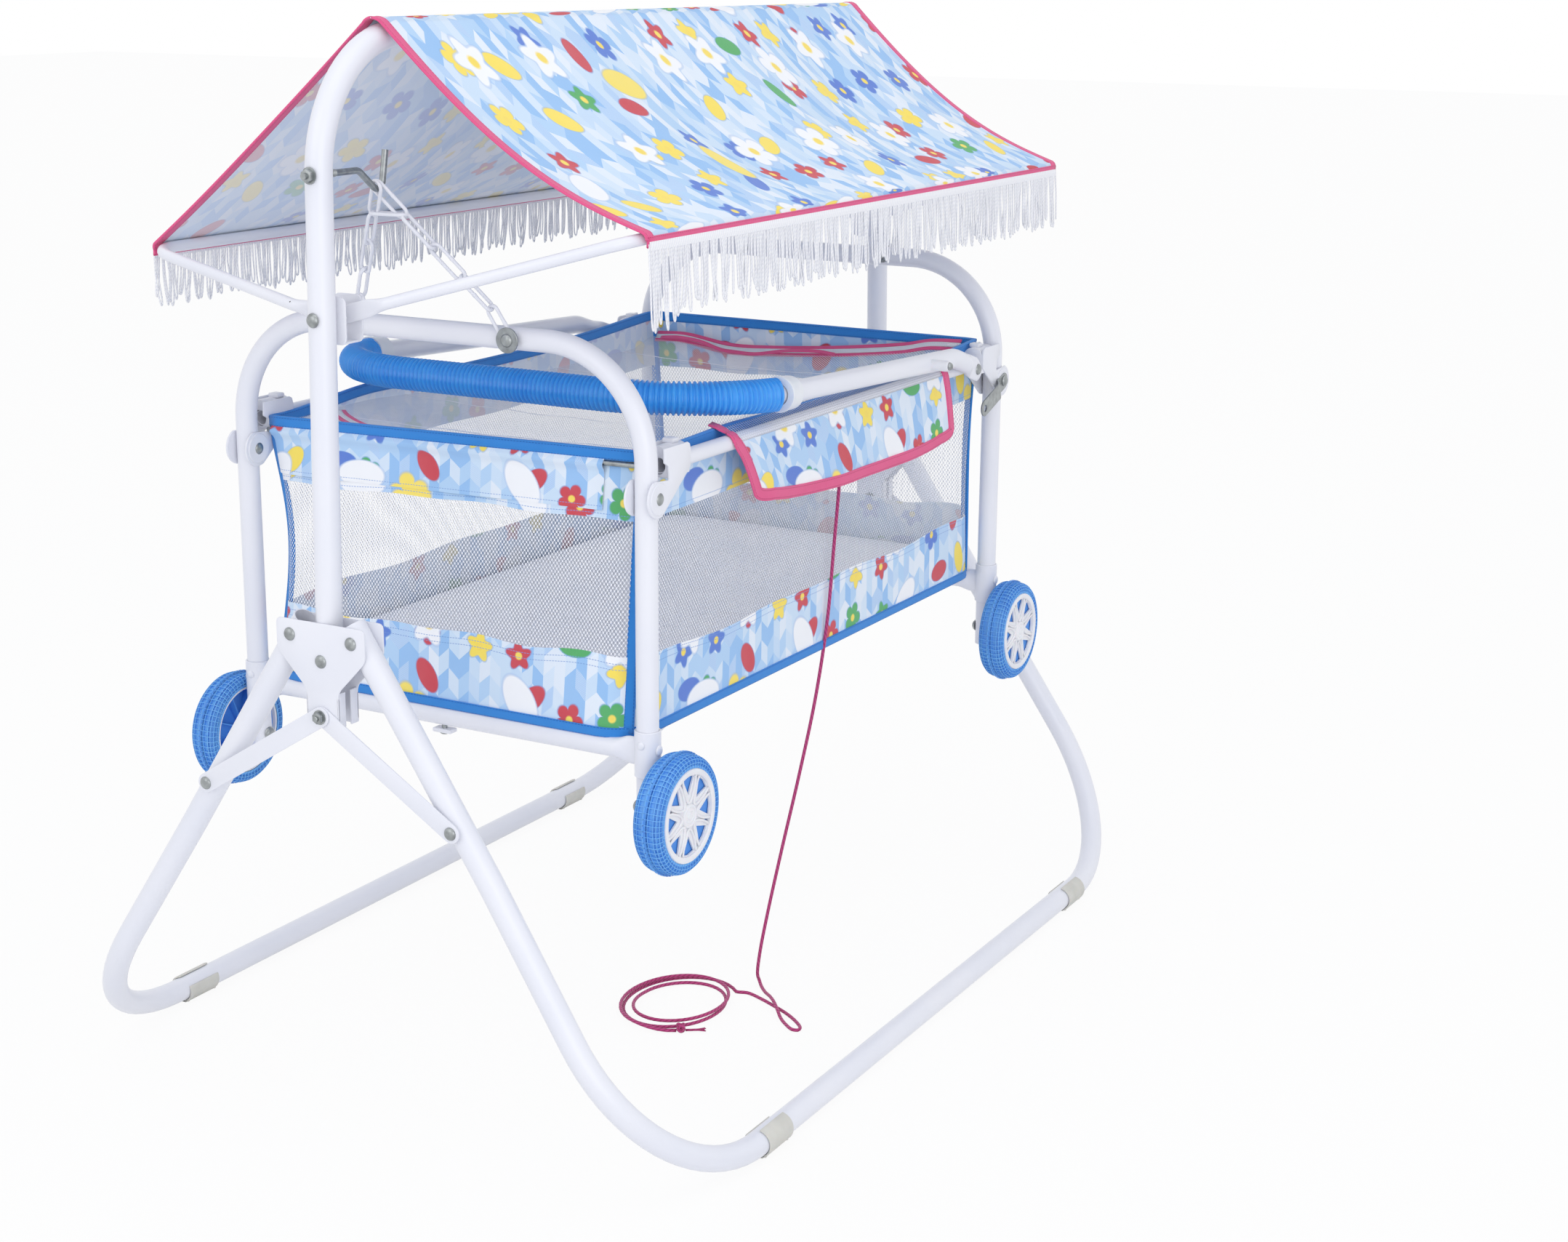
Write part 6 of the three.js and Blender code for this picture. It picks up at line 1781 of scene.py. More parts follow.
@dataclass
class Wings:
    """The canopy's frame: a channel bracket behind each post and the two wing tubes bolted through them."""

    finishes: Finishes
    fasteners: Fasteners
    bolt_height: float = 811
    reach: float = 288
    half_length: float = 468
    tube: float = 5.6
    rise_right: float = 15.8
    rise_left: float = 7.3
    tab_right: float = 529.4
    tab_left: float = 536.8
    tab_length: float = 26
    tab_thinning: float = 3.4 / 11.2
    tab_widening: float = 1.5
    bracket_back: float = 546.1
    bracket_front: float = 520.1
    bracket_half_width: float = 16

    def rise(self, side: Side) -> float:
        """The angle that a wing rises at, in radians."""
        return math.radians(self.rise_left if side is Side.LEFT else self.rise_right)

    def on_wing(self, x: float, reach: float, side: Side) -> Vector:
        """A place on a wing's plane, so far out from the bolts, in metres."""
        rise = self.rise(side)
        return mm(x, side.value * reach * math.cos(rise), self.bolt_height + reach * math.sin(rise))

    def eave(self, side: Side) -> Vector:
        """The middle of a wing's outer tube, in millimetres."""
        return self.on_wing(0, self.reach, side) / MM

    def wing(self, side: Side) -> None:
        """One wing: a tube out from each bracket and along the eave, its tabs pressed flat.

        Args:
            side: The side.
        """
        tab = self.tab_left if side is Side.LEFT else self.tab_right
        corners = [self.on_wing(-tab, -9, side), self.on_wing(-tab, 52, side),
                   self.on_wing(-self.half_length, self.reach, side),
                   self.on_wing(self.half_length, self.reach, side),
                   self.on_wing(tab, 52, side), self.on_wing(tab, -9, side)]
        line = bent(corners, [20, 42, 42, 20], 6)
        label = side.label
        piece = pipe(f"wing_tube_bent_{label}", spread(line[:3], 3) + line[3:-3] + spread(line[-3:], 3),
                     self.tube)
        rise = self.rise(side)
        outward = Vector((0, side.value * math.cos(rise), math.sin(rise)))
        upward = Vector((0, -side.value * math.sin(rise), math.cos(rise)))
        bolt = Vector((0, 0, self.bolt_height))

        def flatten(place: Vector) -> Vector:
            """Presses the tube thin towards its tab's end.

            Args:
                place: A corner's place in millimetres.

            Returns:
                Its new place.
            """
            out = (place - bolt).dot(outward)
            share = 1 - smoothstep((out - self.tab_length) / self.tab_length)
            middle = math.copysign(tab, place.x)
            thin = middle + (place.x - middle) * lerp(1, self.tab_thinning, share)
            tip = math.sqrt(min(max((out + 9.2) / 9, 0.02), 1))
            off = (place - bolt).dot(upward) * lerp(1, self.tab_widening * tip, share)
            return Vector((thin, 0, self.bolt_height)) + outward * out + upward * off

        dress(reshaped(piece, flatten), self.finishes.white, f"wing_{label}", [f"wing_tube_{label}"])

    def bracket(self) -> None:
        """The channel behind each post, and the bolt through post, wings and channel."""
        half, back, front = self.bracket_half_width, self.bracket_back, self.bracket_front
        outline = rounded([(-half, 830), (-half, 786), (half, 786), (half, 830)], 7)
        plates = []
        for x in (-back, -front - 2):
            sheet = plate("channel_side", outline, 2, 0.7)
            plates.append(stood(sheet, mm(x, 0, 0)))
        plates.append(block("channel_floor", mm(-back + 0.4, -half + 5, 786),
                            mm(-front - 0.4, half - 5, 788), 0.5))
        near = joined("wing_channel_near", plates)
        dress_both(near, self.finishes.white, "stand", ("wing_bracket_near", "wing_bracket_far"))
        head, tip = mm(-572.7, 0, self.bolt_height), mm(-front, 0, self.bolt_height)
        bolt = joined("wing_bolt_near", [
            self.fasteners.dome("head", head, X_BACK, 6.8, 3.6),
            self.fasteners.shank("shank", head, tip, 3),
            self.fasteners.nut("nut", tip, X_WAY, 5.8, 4.0)])
        dress_both(bolt, self.finishes.zinc, "stand")

    def build(self) -> None:
        """Makes the canopy's frame."""
        self.bracket()
        for side in Side:
            self.wing(side)


@dataclass
class CradleFrame:
    """The swinging frame: two arches, side rails in moulded brackets, end bars, band rods and chain bolts."""

    finishes: Finishes
    fasteners: Fasteners
    arch_x: float = 392
    half_width: float = 241
    arch_top: float = 779.5
    arch_foot: float = 314
    arch_tube: float = 11.1
    shoulder: float = 108
    axle: float = 335
    hinge: float = 641
    rail_height: float = 668
    rail_radius: float = 8
    rail_half_length: float = 368
    bolt_y: float = 97
    washer_face: float = 406.8
    rod_x: float = 376
    rod_height: float = 678
    rod_low_right: float = 11.5
    rod_low_left: float = 19.5
    bar_height: float = 391
    bar_radius: float = 10

    def arch(self) -> None:
        """Both arches: a tube bent at its shoulders."""
        x, y = -self.arch_x, self.half_width
        corners = [mm(x, -y, self.arch_foot), mm(x, -y, self.arch_top), mm(x, y, self.arch_top),
                   mm(x, y, self.arch_foot)]
        near = pipe("arch_tube_near", bent(corners, [self.shoulder, self.shoulder], 4), self.arch_tube, 1.1,
                    32)
        dress_both(near, self.finishes.white, "cradle", ("arch_near", "arch_far"))

    def fixings(self, end: End) -> None:
        """An arch's chain bolts, axles and hinge rivets.

        Args:
            end: The end.
        """
        metal = []
        for side in (-1, 1):
            face = -self.washer_face - 2
            y = side * self.bolt_y
            washer = turned("washer", [(3.4, 0), (12.3, 0), (12.3, 1.6), (11.9, 2), (3.4, 2)], 32, True)
            metal.append(moved(washer, facing(mm(-self.washer_face, y, self.arch_top), X_BACK)))
            metal.append(self.fasteners.dome("dome", mm(face, y, self.arch_top), X_BACK))
            metal.append(self.fasteners.shank("shank", mm(-self.arch_x, y, self.arch_top),
                                              mm(face, y, self.arch_top), 3))
            metal.append(self.fasteners.nut("nut", mm(-self.arch_x + self.arch_tube, y, self.arch_top),
                                            X_WAY, 5.6, 4))
            axle = [(0, 0), (4, 0), (4, 53), (0, 53)]
            metal.append(moved(turned("axle", axle, 20), facing(
                mm(-self.arch_x, side * 230.5, self.axle), Vector((0, side, 0)))))
            metal.append(self.fasteners.dome("axle_head", mm(-self.arch_x, side * 230.2, self.axle),
                                             Vector((0, -side, 0)), 7, 4.4))
            extra = 2.3 if end is End.FAR and side > 0 else 0
            metal.append(self.fasteners.shank("hinge_shank", mm(-self.arch_x, side * 226.8, self.hinge),
                                              mm(-self.arch_x, side * (255.2 + extra), self.hinge), 3.3))
            metal.append(self.fasteners.dome("hinge_head",
                                             mm(-self.arch_x, side * (255.1 + extra), self.hinge),
                                             Vector((0, side, 0))))
            metal.append(self.fasteners.dome("hinge_head", mm(-self.arch_x, side * 226.9, self.hinge),
                                             Vector((0, -side, 0))))
        label = end.label
        piece = joined(f"arch_fixings_{label}", metal)
        if end is End.FAR:
            moved(piece, TURN)
        dress(piece, self.finishes.zinc, "cradle")

    def rails(self) -> None:
        """The two side rails, open at their ends."""
        right = pipe("side_rail_right", [mm(-self.rail_half_length, -self.half_width, self.rail_height),
                                         mm(self.rail_half_length, -self.half_width, self.rail_height)],
                     self.rail_radius, 1, 28)
        dress_both(right, self.finishes.white, "cradle", ("rail_right", "rail_left"), "side_rail_left")

    def bracket(self) -> bpy.types.Object:
        """The near right bracket: two ears on the arch, and a round-topped socket that the rail sits in."""
        arc = [(-self.arch_x + 18.5 * math.cos(math.pi * (0.62 + 1.02 * k / 18)),
                self.hinge + 18.5 * math.sin(math.pi * (0.62 + 1.02 * k / 18))) for k in range(19)]
        outline = [*arc, (-334, 663), (-334, 680), (-335.5, 685), (-339, 687), (-380.9, 687), (-380.9, 673),
                   (-374, 669), (-373, 656)]
        parts = []
        for face in (-252.4, -227.1):
            ear = plate("bracket_ear", outline, 2.5, 0.8)
            parts.append(moved(ear, basis(mm(0, face, 0), X_WAY, Z_WAY)))
        section = [(-12.5, 657), (12.5, 657), (12.5, 675)]
        section += [(12.5 * math.cos(a), 675 + 12 * math.sin(a))
                    for a in (math.pi * k / 16 for k in range(1, 16))]
        section.append((-12.5, 675))
        socket = plate("bracket_socket", section, 38, 0.8)
        stood(socket, mm(-372, -self.half_width, 0))
        tool = moved(turned("bore", [(0, -3), (8.6, -3), (8.6, 42), (0, 42)], 36), facing(
            mm(-372, -self.half_width, self.rail_height), X_WAY))
        parts.append(bored(socket, tool))
        parts.append(block("bracket_tab", mm(-352, -246, 686), mm(-340, -233, 691), 1.8))
        for y in (-256.1, -225.9):
            disc = turned("bracket_boss", [(0, 0), (15.5, 0), (15.5, 0.5), (14.7, 1.2), (0, 1.2)], 36)
            way = Vector((0, -1 if y < -241 else 1, 0))
            parts.append(moved(disc, facing(mm(-self.arch_x, y - way.y * 1.2, self.hinge), way)))
        return joined("rail_socket_near_right", parts)

    def brackets(self) -> None:
        """The four brackets, mirrored across and turned to the far end."""
        near_right = self.bracket()
        near_left = copied(near_right, "rail_socket_near_left", FLIP_SIDE)
        far_left = copied(near_right, "rail_socket_far_left", TURN)
        far_right = copied(near_left, "rail_socket_far_right", TURN)
        for piece in (near_right, near_left, far_left, far_right):
            label = piece.name.removeprefix("rail_socket_")
            dress(piece, self.finishes.white, "cradle", [f"rail_bracket_{label}"])

    def rods(self) -> None:
        """The plated rods that run through the end panels' pockets."""
        x, y, z = self.rod_x, 226.8, self.rod_height
        near = pipe("pocket_rod_near",
                    [mm(-x, -y, z - self.rod_low_right), mm(-x, y, z - self.rod_low_left)], 2.6, 0, 16)
        far = pipe("pocket_rod_far", [mm(x, -y, z - 2), mm(x, y, z - 2)], 2.6, 0, 16)
        dress(near, self.finishes.zinc, "cradle", ["band_rod_near"])
        dress(far, self.finishes.zinc, "cradle", ["band_rod_far"])

    def end_bars(self) -> None:
        """The low cross bars: tubes crimped into sleeves round the arch legs, with a strap screwed below."""
        reach, x, z = 229.4, -self.arch_x, self.bar_height
        tube = pipe("bar_tube", spread([mm(x, -reach, z), mm(x, reach, z)], 4), self.bar_radius, 1, 28)

        def crimp(place: Vector) -> Vector:
            """Presses the tube upright towards its ends."""
            share = 1 - smoothstep((reach - abs(place.y) - 8) / 16)
            return Vector((x + (place.x - x) * lerp(1, 0.42, share), place.y,
                           z + (place.z - z) * lerp(1, 1.4, share)))

        parts = [reshaped(tube, crimp)]
        for side in (-1, 1):
            sleeve = turned("sleeve", [(11.4, 0), (12.6, 0), (13, 0.5), (13, 45.5), (12.6, 46), (11.4, 46)],
                            36, True)
            parts.append(moved(sleeve, Matrix.Translation(mm(x, side * self.half_width, z - 23))))
            parts.append(self.fasteners.dome("sleeve_rivet", mm(x, side * 253.8, z + 4),
                                             Vector((0, side, 0)), 5.6, 2))
            parts.append(self.fasteners.dome("sleeve_rivet", mm(x - 12.8, side * 241, z + 10), X_BACK, 4.2,
                                             1.6))
        parts.append(block("bar_strap", mm(x - 6, -11, z - 17.3), mm(x + 6, 11, z - 13.3), 0.8))
        near = joined("end_bar_tube_near", parts)
        dress_both(near, self.finishes.white, "cradle", ("end_bar_near", "end_bar_far"))
        screw = joined("bar_screw_near", [
            self.fasteners.shank("shank", mm(x, 0, z - 17), mm(x, 0, z - 9), 3),
            self.fasteners.dome("head", mm(x, 0, z - 17.2), Z_BACK, 5.4, 2.6)])
        dress_both(screw, self.finishes.zinc, "cradle")

    def build(self) -> None:
        """Makes the swinging frame."""
        self.arch()
        for end in End:
            self.fixings(end)
        self.rails()
        self.brackets()
        self.rods()
        self.end_bars()


@dataclass
class Chains:
    """Welded wire chains: from each hook two runs spread to the arch's bolts, with one link across."""

    finishes: Finishes
    wire: float = 1.8
    inner: float = 3.7
    dip: Vector = field(default_factory=lambda: Vector((-472.9, 0, 921.57)))
    seat_x: float = -404.95
    bolt_y: float = 97
    bolt_height: float = 779.5
    links: int = 5
    lap: float = 0.25

    def link(self, start: Vector, end: Vector, normal: Vector) -> bpy.types.Object:
        """One link between the places where its inner ends bear, with the bulge of its weld.

        Args:
            start: The place where its first end bears.
            end: The place where its second end bears.
            normal: The way that its flat side faces.

        Returns:
            The piece.
        """
        way = (end - start).normalized()
        across = normal.cross(way).normalized()
        half = self.inner + self.wire
        points, radii = [], []
        for bearing, turn in ((end, 1), (start, -1)):
            middle = bearing - way * turn * self.inner
            for k in range(11):
                angle = math.pi * k / 10
                swing = across * turn * math.cos(angle) + way * turn * math.sin(angle)
                points.append((middle + swing * half) * MM)
                radii.append(self.wire)
            if turn > 0:
                leg = (end - start).length - 2 * self.inner
                for share, swell in ((0.42, 1.0), (0.47, 1.14), (0.5, 1.18), (0.53, 1.14), (0.58, 1.0)):
                    points.append((middle - across * half - way * leg * share) * MM)
                    radii.append(self.wire * swell)
        return loop("link", points, radii, way.cross(across).normalized(), 10)

    def bearings(self, side: int) -> list[tuple[Vector, Vector]]:
        """The places where one side's links bear: four in line from the hook, and the last on its bolt.

        Args:
            side: -1 or 1, the side in Y.

        Returns:
            The two places of each link, from the hook down.
        """
        saddle = self.dip + Vector((0.3 - side * 1.85, 0, 0))
        bolt = Vector((self.seat_x, side * self.bolt_y, self.bolt_height))
        upright = saddle - bolt
        upright.x = 0
        upright.normalize()
        foot = bolt - upright * 3.3 * math.sqrt(2)
        top = saddle - (foot - saddle).normalized() * 4.3 * math.sqrt(2)
        span = top - foot
        rise = span.dot(upright)
        in_line = self.links - 1
        spread_by = in_line ** 2 - 1
        pitch = (math.sqrt(rise ** 2 + spread_by * span.length_squared) - rise) / spread_by
        last = foot + upright * pitch
        joints = [top.lerp(last, k / in_line) for k in range(in_line + 1)] + [foot]
        pairs = []
        for k, (start, end) in enumerate(zip(joints, joints[1:])):
            way = (end - start).normalized()
            pairs.append((start + way * (self.lap if k else 0),
                          end - way * (self.lap if k < in_line else 0)))
        return pairs

    def build(self) -> None:
        """Makes the near chain and its twin at the far end."""
        links, firsts = [], []
        for side in (-1, 1):
            pairs = self.bearings(side)
            firsts.append(pairs[0][1])
            for k, (start, end) in enumerate(pairs):
                way = (end - start).normalized()
                flat = (X_WAY - way * way.x).normalized()
                links.append(self.link(start, end, flat if k % 2 == 0 else way.cross(flat)))
        links.append(self.link(firsts[0], firsts[1], Z_WAY))
        near = joined("welded_chain_near", links)
        dress_both(near, self.finishes.white, "cradle", ("chain_near", "chain_far"))


@dataclass
class Wheels:
    """The four wheels that the cradle rolls on when it stands on the floor: moulded rims in notched tyres."""

    finishes: Finishes
    arch_x: float = 392
    inner_y: float = 257.2
    axle: float = 335
    petals: int = 8

    def tyre(self) -> bpy.types.Object:
        """A tyre with a centre seam and a row of notches on each side of it."""
        profile = [(46.8, 1), (52, 0.2), (55.4, 1.4), (57.8, 4), (58.8, 6.8), (59, 13), (59, 15.5),
                   (59.3, 16),
                   (59, 16.5), (59, 19), (58.8, 25.2), (57.8, 28), (55.4, 30.6), (52, 31.8), (46.8, 31)]
        piece = turned("tyre_body", profile, 64, True)
        for polygon in piece.data.polygons:
            centre = polygon.center / MM
            in_row = math.hypot(centre.x, centre.y) > 58.4 and abs(abs(centre.z - 16) - 6.1) < 1.2
            turn = math.floor((math.atan2(centre.y, centre.x) % math.tau) / (math.tau / 64))
            polygon.select = in_row and (turn + (centre.z > 16)) % 2 == 0
        bpy.context.view_layer.objects.active = piece
        bpy.ops.object.mode_set(mode="EDIT")
        bpy.ops.mesh.select_mode(type="FACE")
        bpy.ops.mesh.inset(thickness=0.35 * MM, use_individual=True)
        bpy.ops.mesh.extrude_region_shrink_fatten(TRANSFORM_OT_shrink_fatten={"value": -2.4 * MM})
        bpy.ops.mesh.select_mode(type="VERT")
        bpy.ops.object.mode_set(mode="OBJECT")
        return smoothed(piece)

    def petal(self, turn: float) -> bpy.types.Object:
        """One petal: a raised rib that loops in towards the hub.

        Args:
            turn: Its turn round the hub in radians.

        Returns:
            The piece.
        """
        marks = ((40.5, -17.5), (35, -19), (28, -19.5), (21.5, -18), (16.5, -14), (13.6, -6), (13.2, 0),
                 (13.6, 6),
                 (16.5, 14), (21.5, 18), (28, 19.5), (35, 19), (40.5, 17.5))
        line = [Vector((r * math.cos(math.radians(a) + turn), r * math.sin(math.radians(a) + turn), 30.2))
                for r, a in marks]
        fine = [place * MM for place in smooth_line(line, 2)]
        return strand("petal_rib", fine, [1.35] * len(fine), 8)

    def opening(self, turn: float, inner: float, half_angle: float) -> bpy.types.Object:
        """A cutter for a three-sided opening whose point looks at the hub.

        Args:
            turn: Its turn round the hub in radians.
            inner: The radius of its inner point.
            half_angle: Half its width in degrees.

        Returns:
            The cutter.
        """
        corners = [(inner, 0.0), (39.2, -half_angle), (39.8, 0.0), (39.2, half_angle)]
        outline = [(r * math.cos(math.radians(a) + turn), r * math.sin(math.radians(a) + turn))
                   for r, a in corners]
        return moved(plate("opening", outline, 8, 0), Matrix.Translation(mm(0, 0, 25)))

    def rim(self) -> bpy.types.Object:
        """A rim with a broad ring, a pierced web, petal ribs and a ringed hub cap."""
        profile = [(0, 24), (11, 24), (11, 27.6), (40, 27.6), (44.1, 27), (44.1, 2), (46.6, 2),
                   (46.6, 31.2),
                   (46, 32.2), (44.2, 32.7), (41.4, 32.3), (40.4, 31.4), (40, 29.4), (12.4, 29.4),
                   (11.8, 31.2),
                   (10.8, 32.2), (9.4, 32.2), (8.8, 31.4), (7.6, 31.4), (7, 32), (5.4, 32), (4.8, 31.3),
                   (3.6, 31.3),
                   (3, 32), (0, 32)]
        body = turned("rim_body", profile, 64)
        cutters = []
        for k in range(self.petals):
            turn = math.tau * k / self.petals
            cutters.append(self.opening(turn, 20.5, 14.6))
            cutters.append(self.opening(turn + math.pi / self.petals, 31.5, 3.6))
        bored(body, joined("openings", cutters))
        ribs = [self.petal(math.tau * k / self.petals) for k in range(self.petals)]
        return joined("rim_whole", [body, *ribs])

    def back(self) -> bpy.types.Object:
        """The tyre's blue core that shows through the web and from behind, ribbed and hollow, in the tyre's
        blue painted darker as shade.
        """
        profile = [(5, 3), (9, 3), (9.4, 16), (40, 19), (43.2, 6), (44, 6), (44, 26.8), (11.4, 26.8),
                   (11.4, 22), (5, 22)]
        parts = [turned("core", profile, 48, True)]
        for k in range(8):
            rib = block("core_rib", mm(9, -0.8, 8), mm(43, 0.8, 19), 0.3)
            parts.append(moved(rib, Matrix.Rotation(math.tau * (k + 0.5) / 8, 4, "Z")))
        return joined("core_whole", parts)

    def build(self) -> None:
        """Makes one wheel and places it at each corner."""
        tyre, rim, back = self.tyre(), self.rim(), self.back()
        for end in End:
            for side in Side:
                label = corner_label(end, side)
                place = Matrix.Translation(mm(end.value * self.arch_x, side.value * self.inner_y,
                                              self.axle))
                place = place @ Matrix.Rotation(-side.value * math.pi / 2, 4, "X")
                body = f"wheel_{label}"
                dress(copied(tyre, f"notched_tyre_{label}", place), self.finishes.tyre, body,
                      [f"tyre_{label}"])
                dress(copied(rim, f"petal_rim_{label}", place), self.finishes.moulding, body,
                      [f"wheel_rim_{label}"])
                # The core takes the tyre's blue painted darker, as painted shade.
                dress(copied(back, f"wheel_core_{label}", place), self.finishes.wheel_back, body)
        for piece in (tyre, rim, back):
            bpy.data.objects.remove(piece)


@dataclass
class Handle:
    """The carrying handle: a bent tube pivoted on the rails, with a ribbed grip and its collars."""

    finishes: Finishes
    fasteners: Fasteners
    tube: float = 11.1
    pivot: tuple[float, float] = (319.5, 664.5)
    end_x: float = 331
    arm_y: float = 257
    flat_y: float = 252.7
    flat_thinning: float = 5 / 22.2
    flat_widening: float = 1.2
    knee: tuple[float, float] = (245, 688)
    cross: tuple[float, float] = (-282, 712)
    corner: float = 138
    grip_start: float = -168
    grip_radius: float = 17.2
    groove: float = 2.5
    pitch: float = 5.2
    knob_x: float = 169

    def arm_height(self, x: float) -> float:
        """The flat end's middle height."""
        rise = self.knee[1] - self.pivot[1]
        return self.pivot[1] + (self.pivot[0] - x) * rise / (self.pivot[0] - self.knee[0])

    def height(self, x: float) -> float:
        """The arm's middle height between its knee and the cross bar."""
        return lerp(self.knee[1], self.cross[1], (self.knee[0] - x) / (self.knee[0] - self.cross[0]))

    def line(self) -> list[Vector]:
        """The tube's middle line in metres."""
        y, x = self.arm_y, self.end_x
        corners = [mm(x, -y, self.arm_height(x)), mm(self.knee[0], -y, self.knee[1]),
                   mm(self.cross[0], -y, self.cross[1]),
                   mm(self.cross[0], y, self.cross[1]), mm(self.knee[0], y, self.knee[1]),
                   mm(x, y, self.arm_height(x))]
        return bent(corners, [60, self.corner, self.corner, 60], 4)

    def tube_piece(self) -> bpy.types.Object:
        """The tube, its ends pressed flat and rounded."""
        points = self.line()
        start = next(i for i, place in enumerate(points) if place.x < 0.27)
        dense = [points[0].lerp(points[1], k / 40) for k in range(41)] + points[2:start + 1]
        mirrored = [Vector((place.x, -place.y, place.z)) for place in reversed(dense)]
        middle = [place for place in points[start + 1:] if place.x < 0.27]
        piece = pipe("bent_tube", dense + middle + mirrored, self.tube, 0, 28)

        def flatten(place: Vector) -> Vector:
            """Presses an arm's end flat against the rail.

            Args:
                place: A corner's place in millimetres.

            Returns:
                Its new place.
            """
            share = 1 - smoothstep((self.end_x - place.x - 28) / 28)
            middle_height = self.arm_height(place.x) if place.x > self.knee[0] else place.z
            tip = min(max((self.end_x - place.x) / 13, 0.02), 1)
            wide = self.flat_widening * math.sqrt(tip * (2 - tip))
            side = math.copysign(1, place.y)
            flat = side * (self.flat_y + (abs(place.y) - self.arm_y) * self.flat_thinning)
            return Vector((place.x, lerp(place.y, flat, share), lerp(
                place.z, middle_height + (place.z - middle_height) * wide, share)))

        return smoothed(reshaped(piece, flatten), 50)

    def grip(self) -> bpy.types.Object:
        """The ribbed grip round the handle's bent end."""
        points = [place for place in self.line() if place.x < self.grip_start * MM]
        height = self.height(self.grip_start)
        points = [mm(self.grip_start, -self.arm_y, height), *points,
                  mm(self.grip_start, self.arm_y, height)]
        fine = spread(points, 0.6)
        run = runs(fine)
        count = round(run[-1] / (self.pitch * MM))
        line, radii = [], []
        at = 0
        for k in range(count * 6 + 1):
            target = run[-1] * k / (count * 6)
            while at < len(run) - 2 and run[at + 1] < target:
                at += 1
            line.append(fine[at].lerp(fine[at + 1], (target - run[at]) / (run[at + 1] - run[at])))
            radii.append(self.grip_radius - self.groove * (1.0, 0.75, 0.1, 0.0, 0.1, 0.75)[k % 6])
        return strand("ribbed_grip", line, radii, 28)

    def collar(self, side: int) -> bpy.types.Object:
        """One grip's end collar, with a lip towards the grip.

        Args:
            side: The side.

        Returns:
            The piece.
        """
        start = mm(self.grip_start, side * self.arm_y, self.height(self.grip_start))
        way = mm(0, side * self.arm_y, self.height(0)) - start
        profile = [(11.3, 0.2), (17.9, 0.2), (18.4, 0.9), (18.4, 3.4), (17.6, 4.2), (17.4, 20), (17, 23.5),
                   (15, 25.6),
                   (12.6, 26), (11.3, 26)]
        return moved(turned("collar", profile, 36, True), facing(start, way.normalized()))

    def build(self) -> None:
        """Makes the handle."""
        dress(self.tube_piece(), self.finishes.white, "handle", ["handle_tube"]).name = "carry_tube"
        dress(self.grip(), self.finishes.grip, "handle", ["handle_grip"])
        collars = joined("grip_collars", [self.collar(-1), self.collar(1)])
        dress(collars, self.finishes.collar, "handle")
        knobs, metal = [], []
        for side in (-1, 1):
            at = mm(self.knob_x, side * 266.5, self.height(self.knob_x))
            way = Vector((0, side, 0))
            knob = turned("knob",
                          [(0, 0), (6.4, 0), (6.2, 1), (6.2, 18.6), (5.6, 20.6), (4.4, 21.4), (0, 21.4)],
                          28)
            knobs.append(moved(knob, facing(at, way)))
            metal.append(self.fasteners.dome("knob_screw", at + way * 21.3 * MM, way, 4.6, 4))
            metal.append(self.fasteners.dome("pivot_head", mm(self.pivot[0], side * 255, self.pivot[1]),
                                             way))
            metal.append(self.fasteners.shank("pivot_shank", mm(self.pivot[0], side * 230, self.pivot[1]),
                                              mm(self.pivot[0], side * 255, self.pivot[1]), 3))
            metal.append(self.fasteners.dome("pivot_back", mm(self.pivot[0], side * 232.7, self.pivot[1]),
                                             Vector((0, -side, 0)), 6, 3))
        dress(joined("stop_knobs", knobs), self.finishes.moulding, "handle")
        dress(joined("handle_fixings", metal), self.finishes.zinc, "handle")


@dataclass
class LockLink:
    """The plated strip on the far right hinge rivet, joggled clear of the bracket, with a hole at its tip."""

    finishes: Finishes
    length: float = 70
    width: float = 19
    thickness: float = 2
    joggle: float = 6
    droop: float = 19
    at: tuple[float, float, float] = (392, -255.2, 641)

    def build(self) -> None:
        """Makes the link."""
        piece = plate("joggled_link", strip((0, 0), (self.length, 0), self.width, 14), self.thickness, 0)
        take(piece)
        bpy.ops.object.mode_set(mode="EDIT")
        for share in (0.2, 0.25, 0.33, 0.38):
            bpy.ops.mesh.select_all(action="SELECT")
            bpy.ops.mesh.bisect(plane_co=(self.length * share * MM, 0, 0), plane_no=(1, 0, 0))
        bpy.ops.object.mode_set(mode="OBJECT")
        reshaped(piece, lambda place: place + Vector((0, 0, self.joggle * smoothstep(
            (place.x / self.length - 0.2) / 0.18))))
        finish_with(piece, "BEVEL", width=0.35 * MM, segments=2, limit_method="ANGLE",
                    angle_limit=math.radians(60))
        cutters = [turned("hole", [(0, -9), (3.4, -9), (3.4, 12), (0, 12)], 24),
                   moved(turned("hole", [(0, -9), (4.3, -9), (4.3, 12), (0, 12)], 24),
                         Matrix.Translation(mm(self.length, 0, 0)))]
        bored(piece, *cutters)
        angle = math.radians(180 - self.droop)
        right = Vector((math.cos(angle), 0, -math.sin(angle)))
        up = Y_BACK.cross(right)
        moved(piece, basis(mm(*self.at), right, up))
        dress(piece, self.finishes.zinc, "lock_link", ["lock_link"])


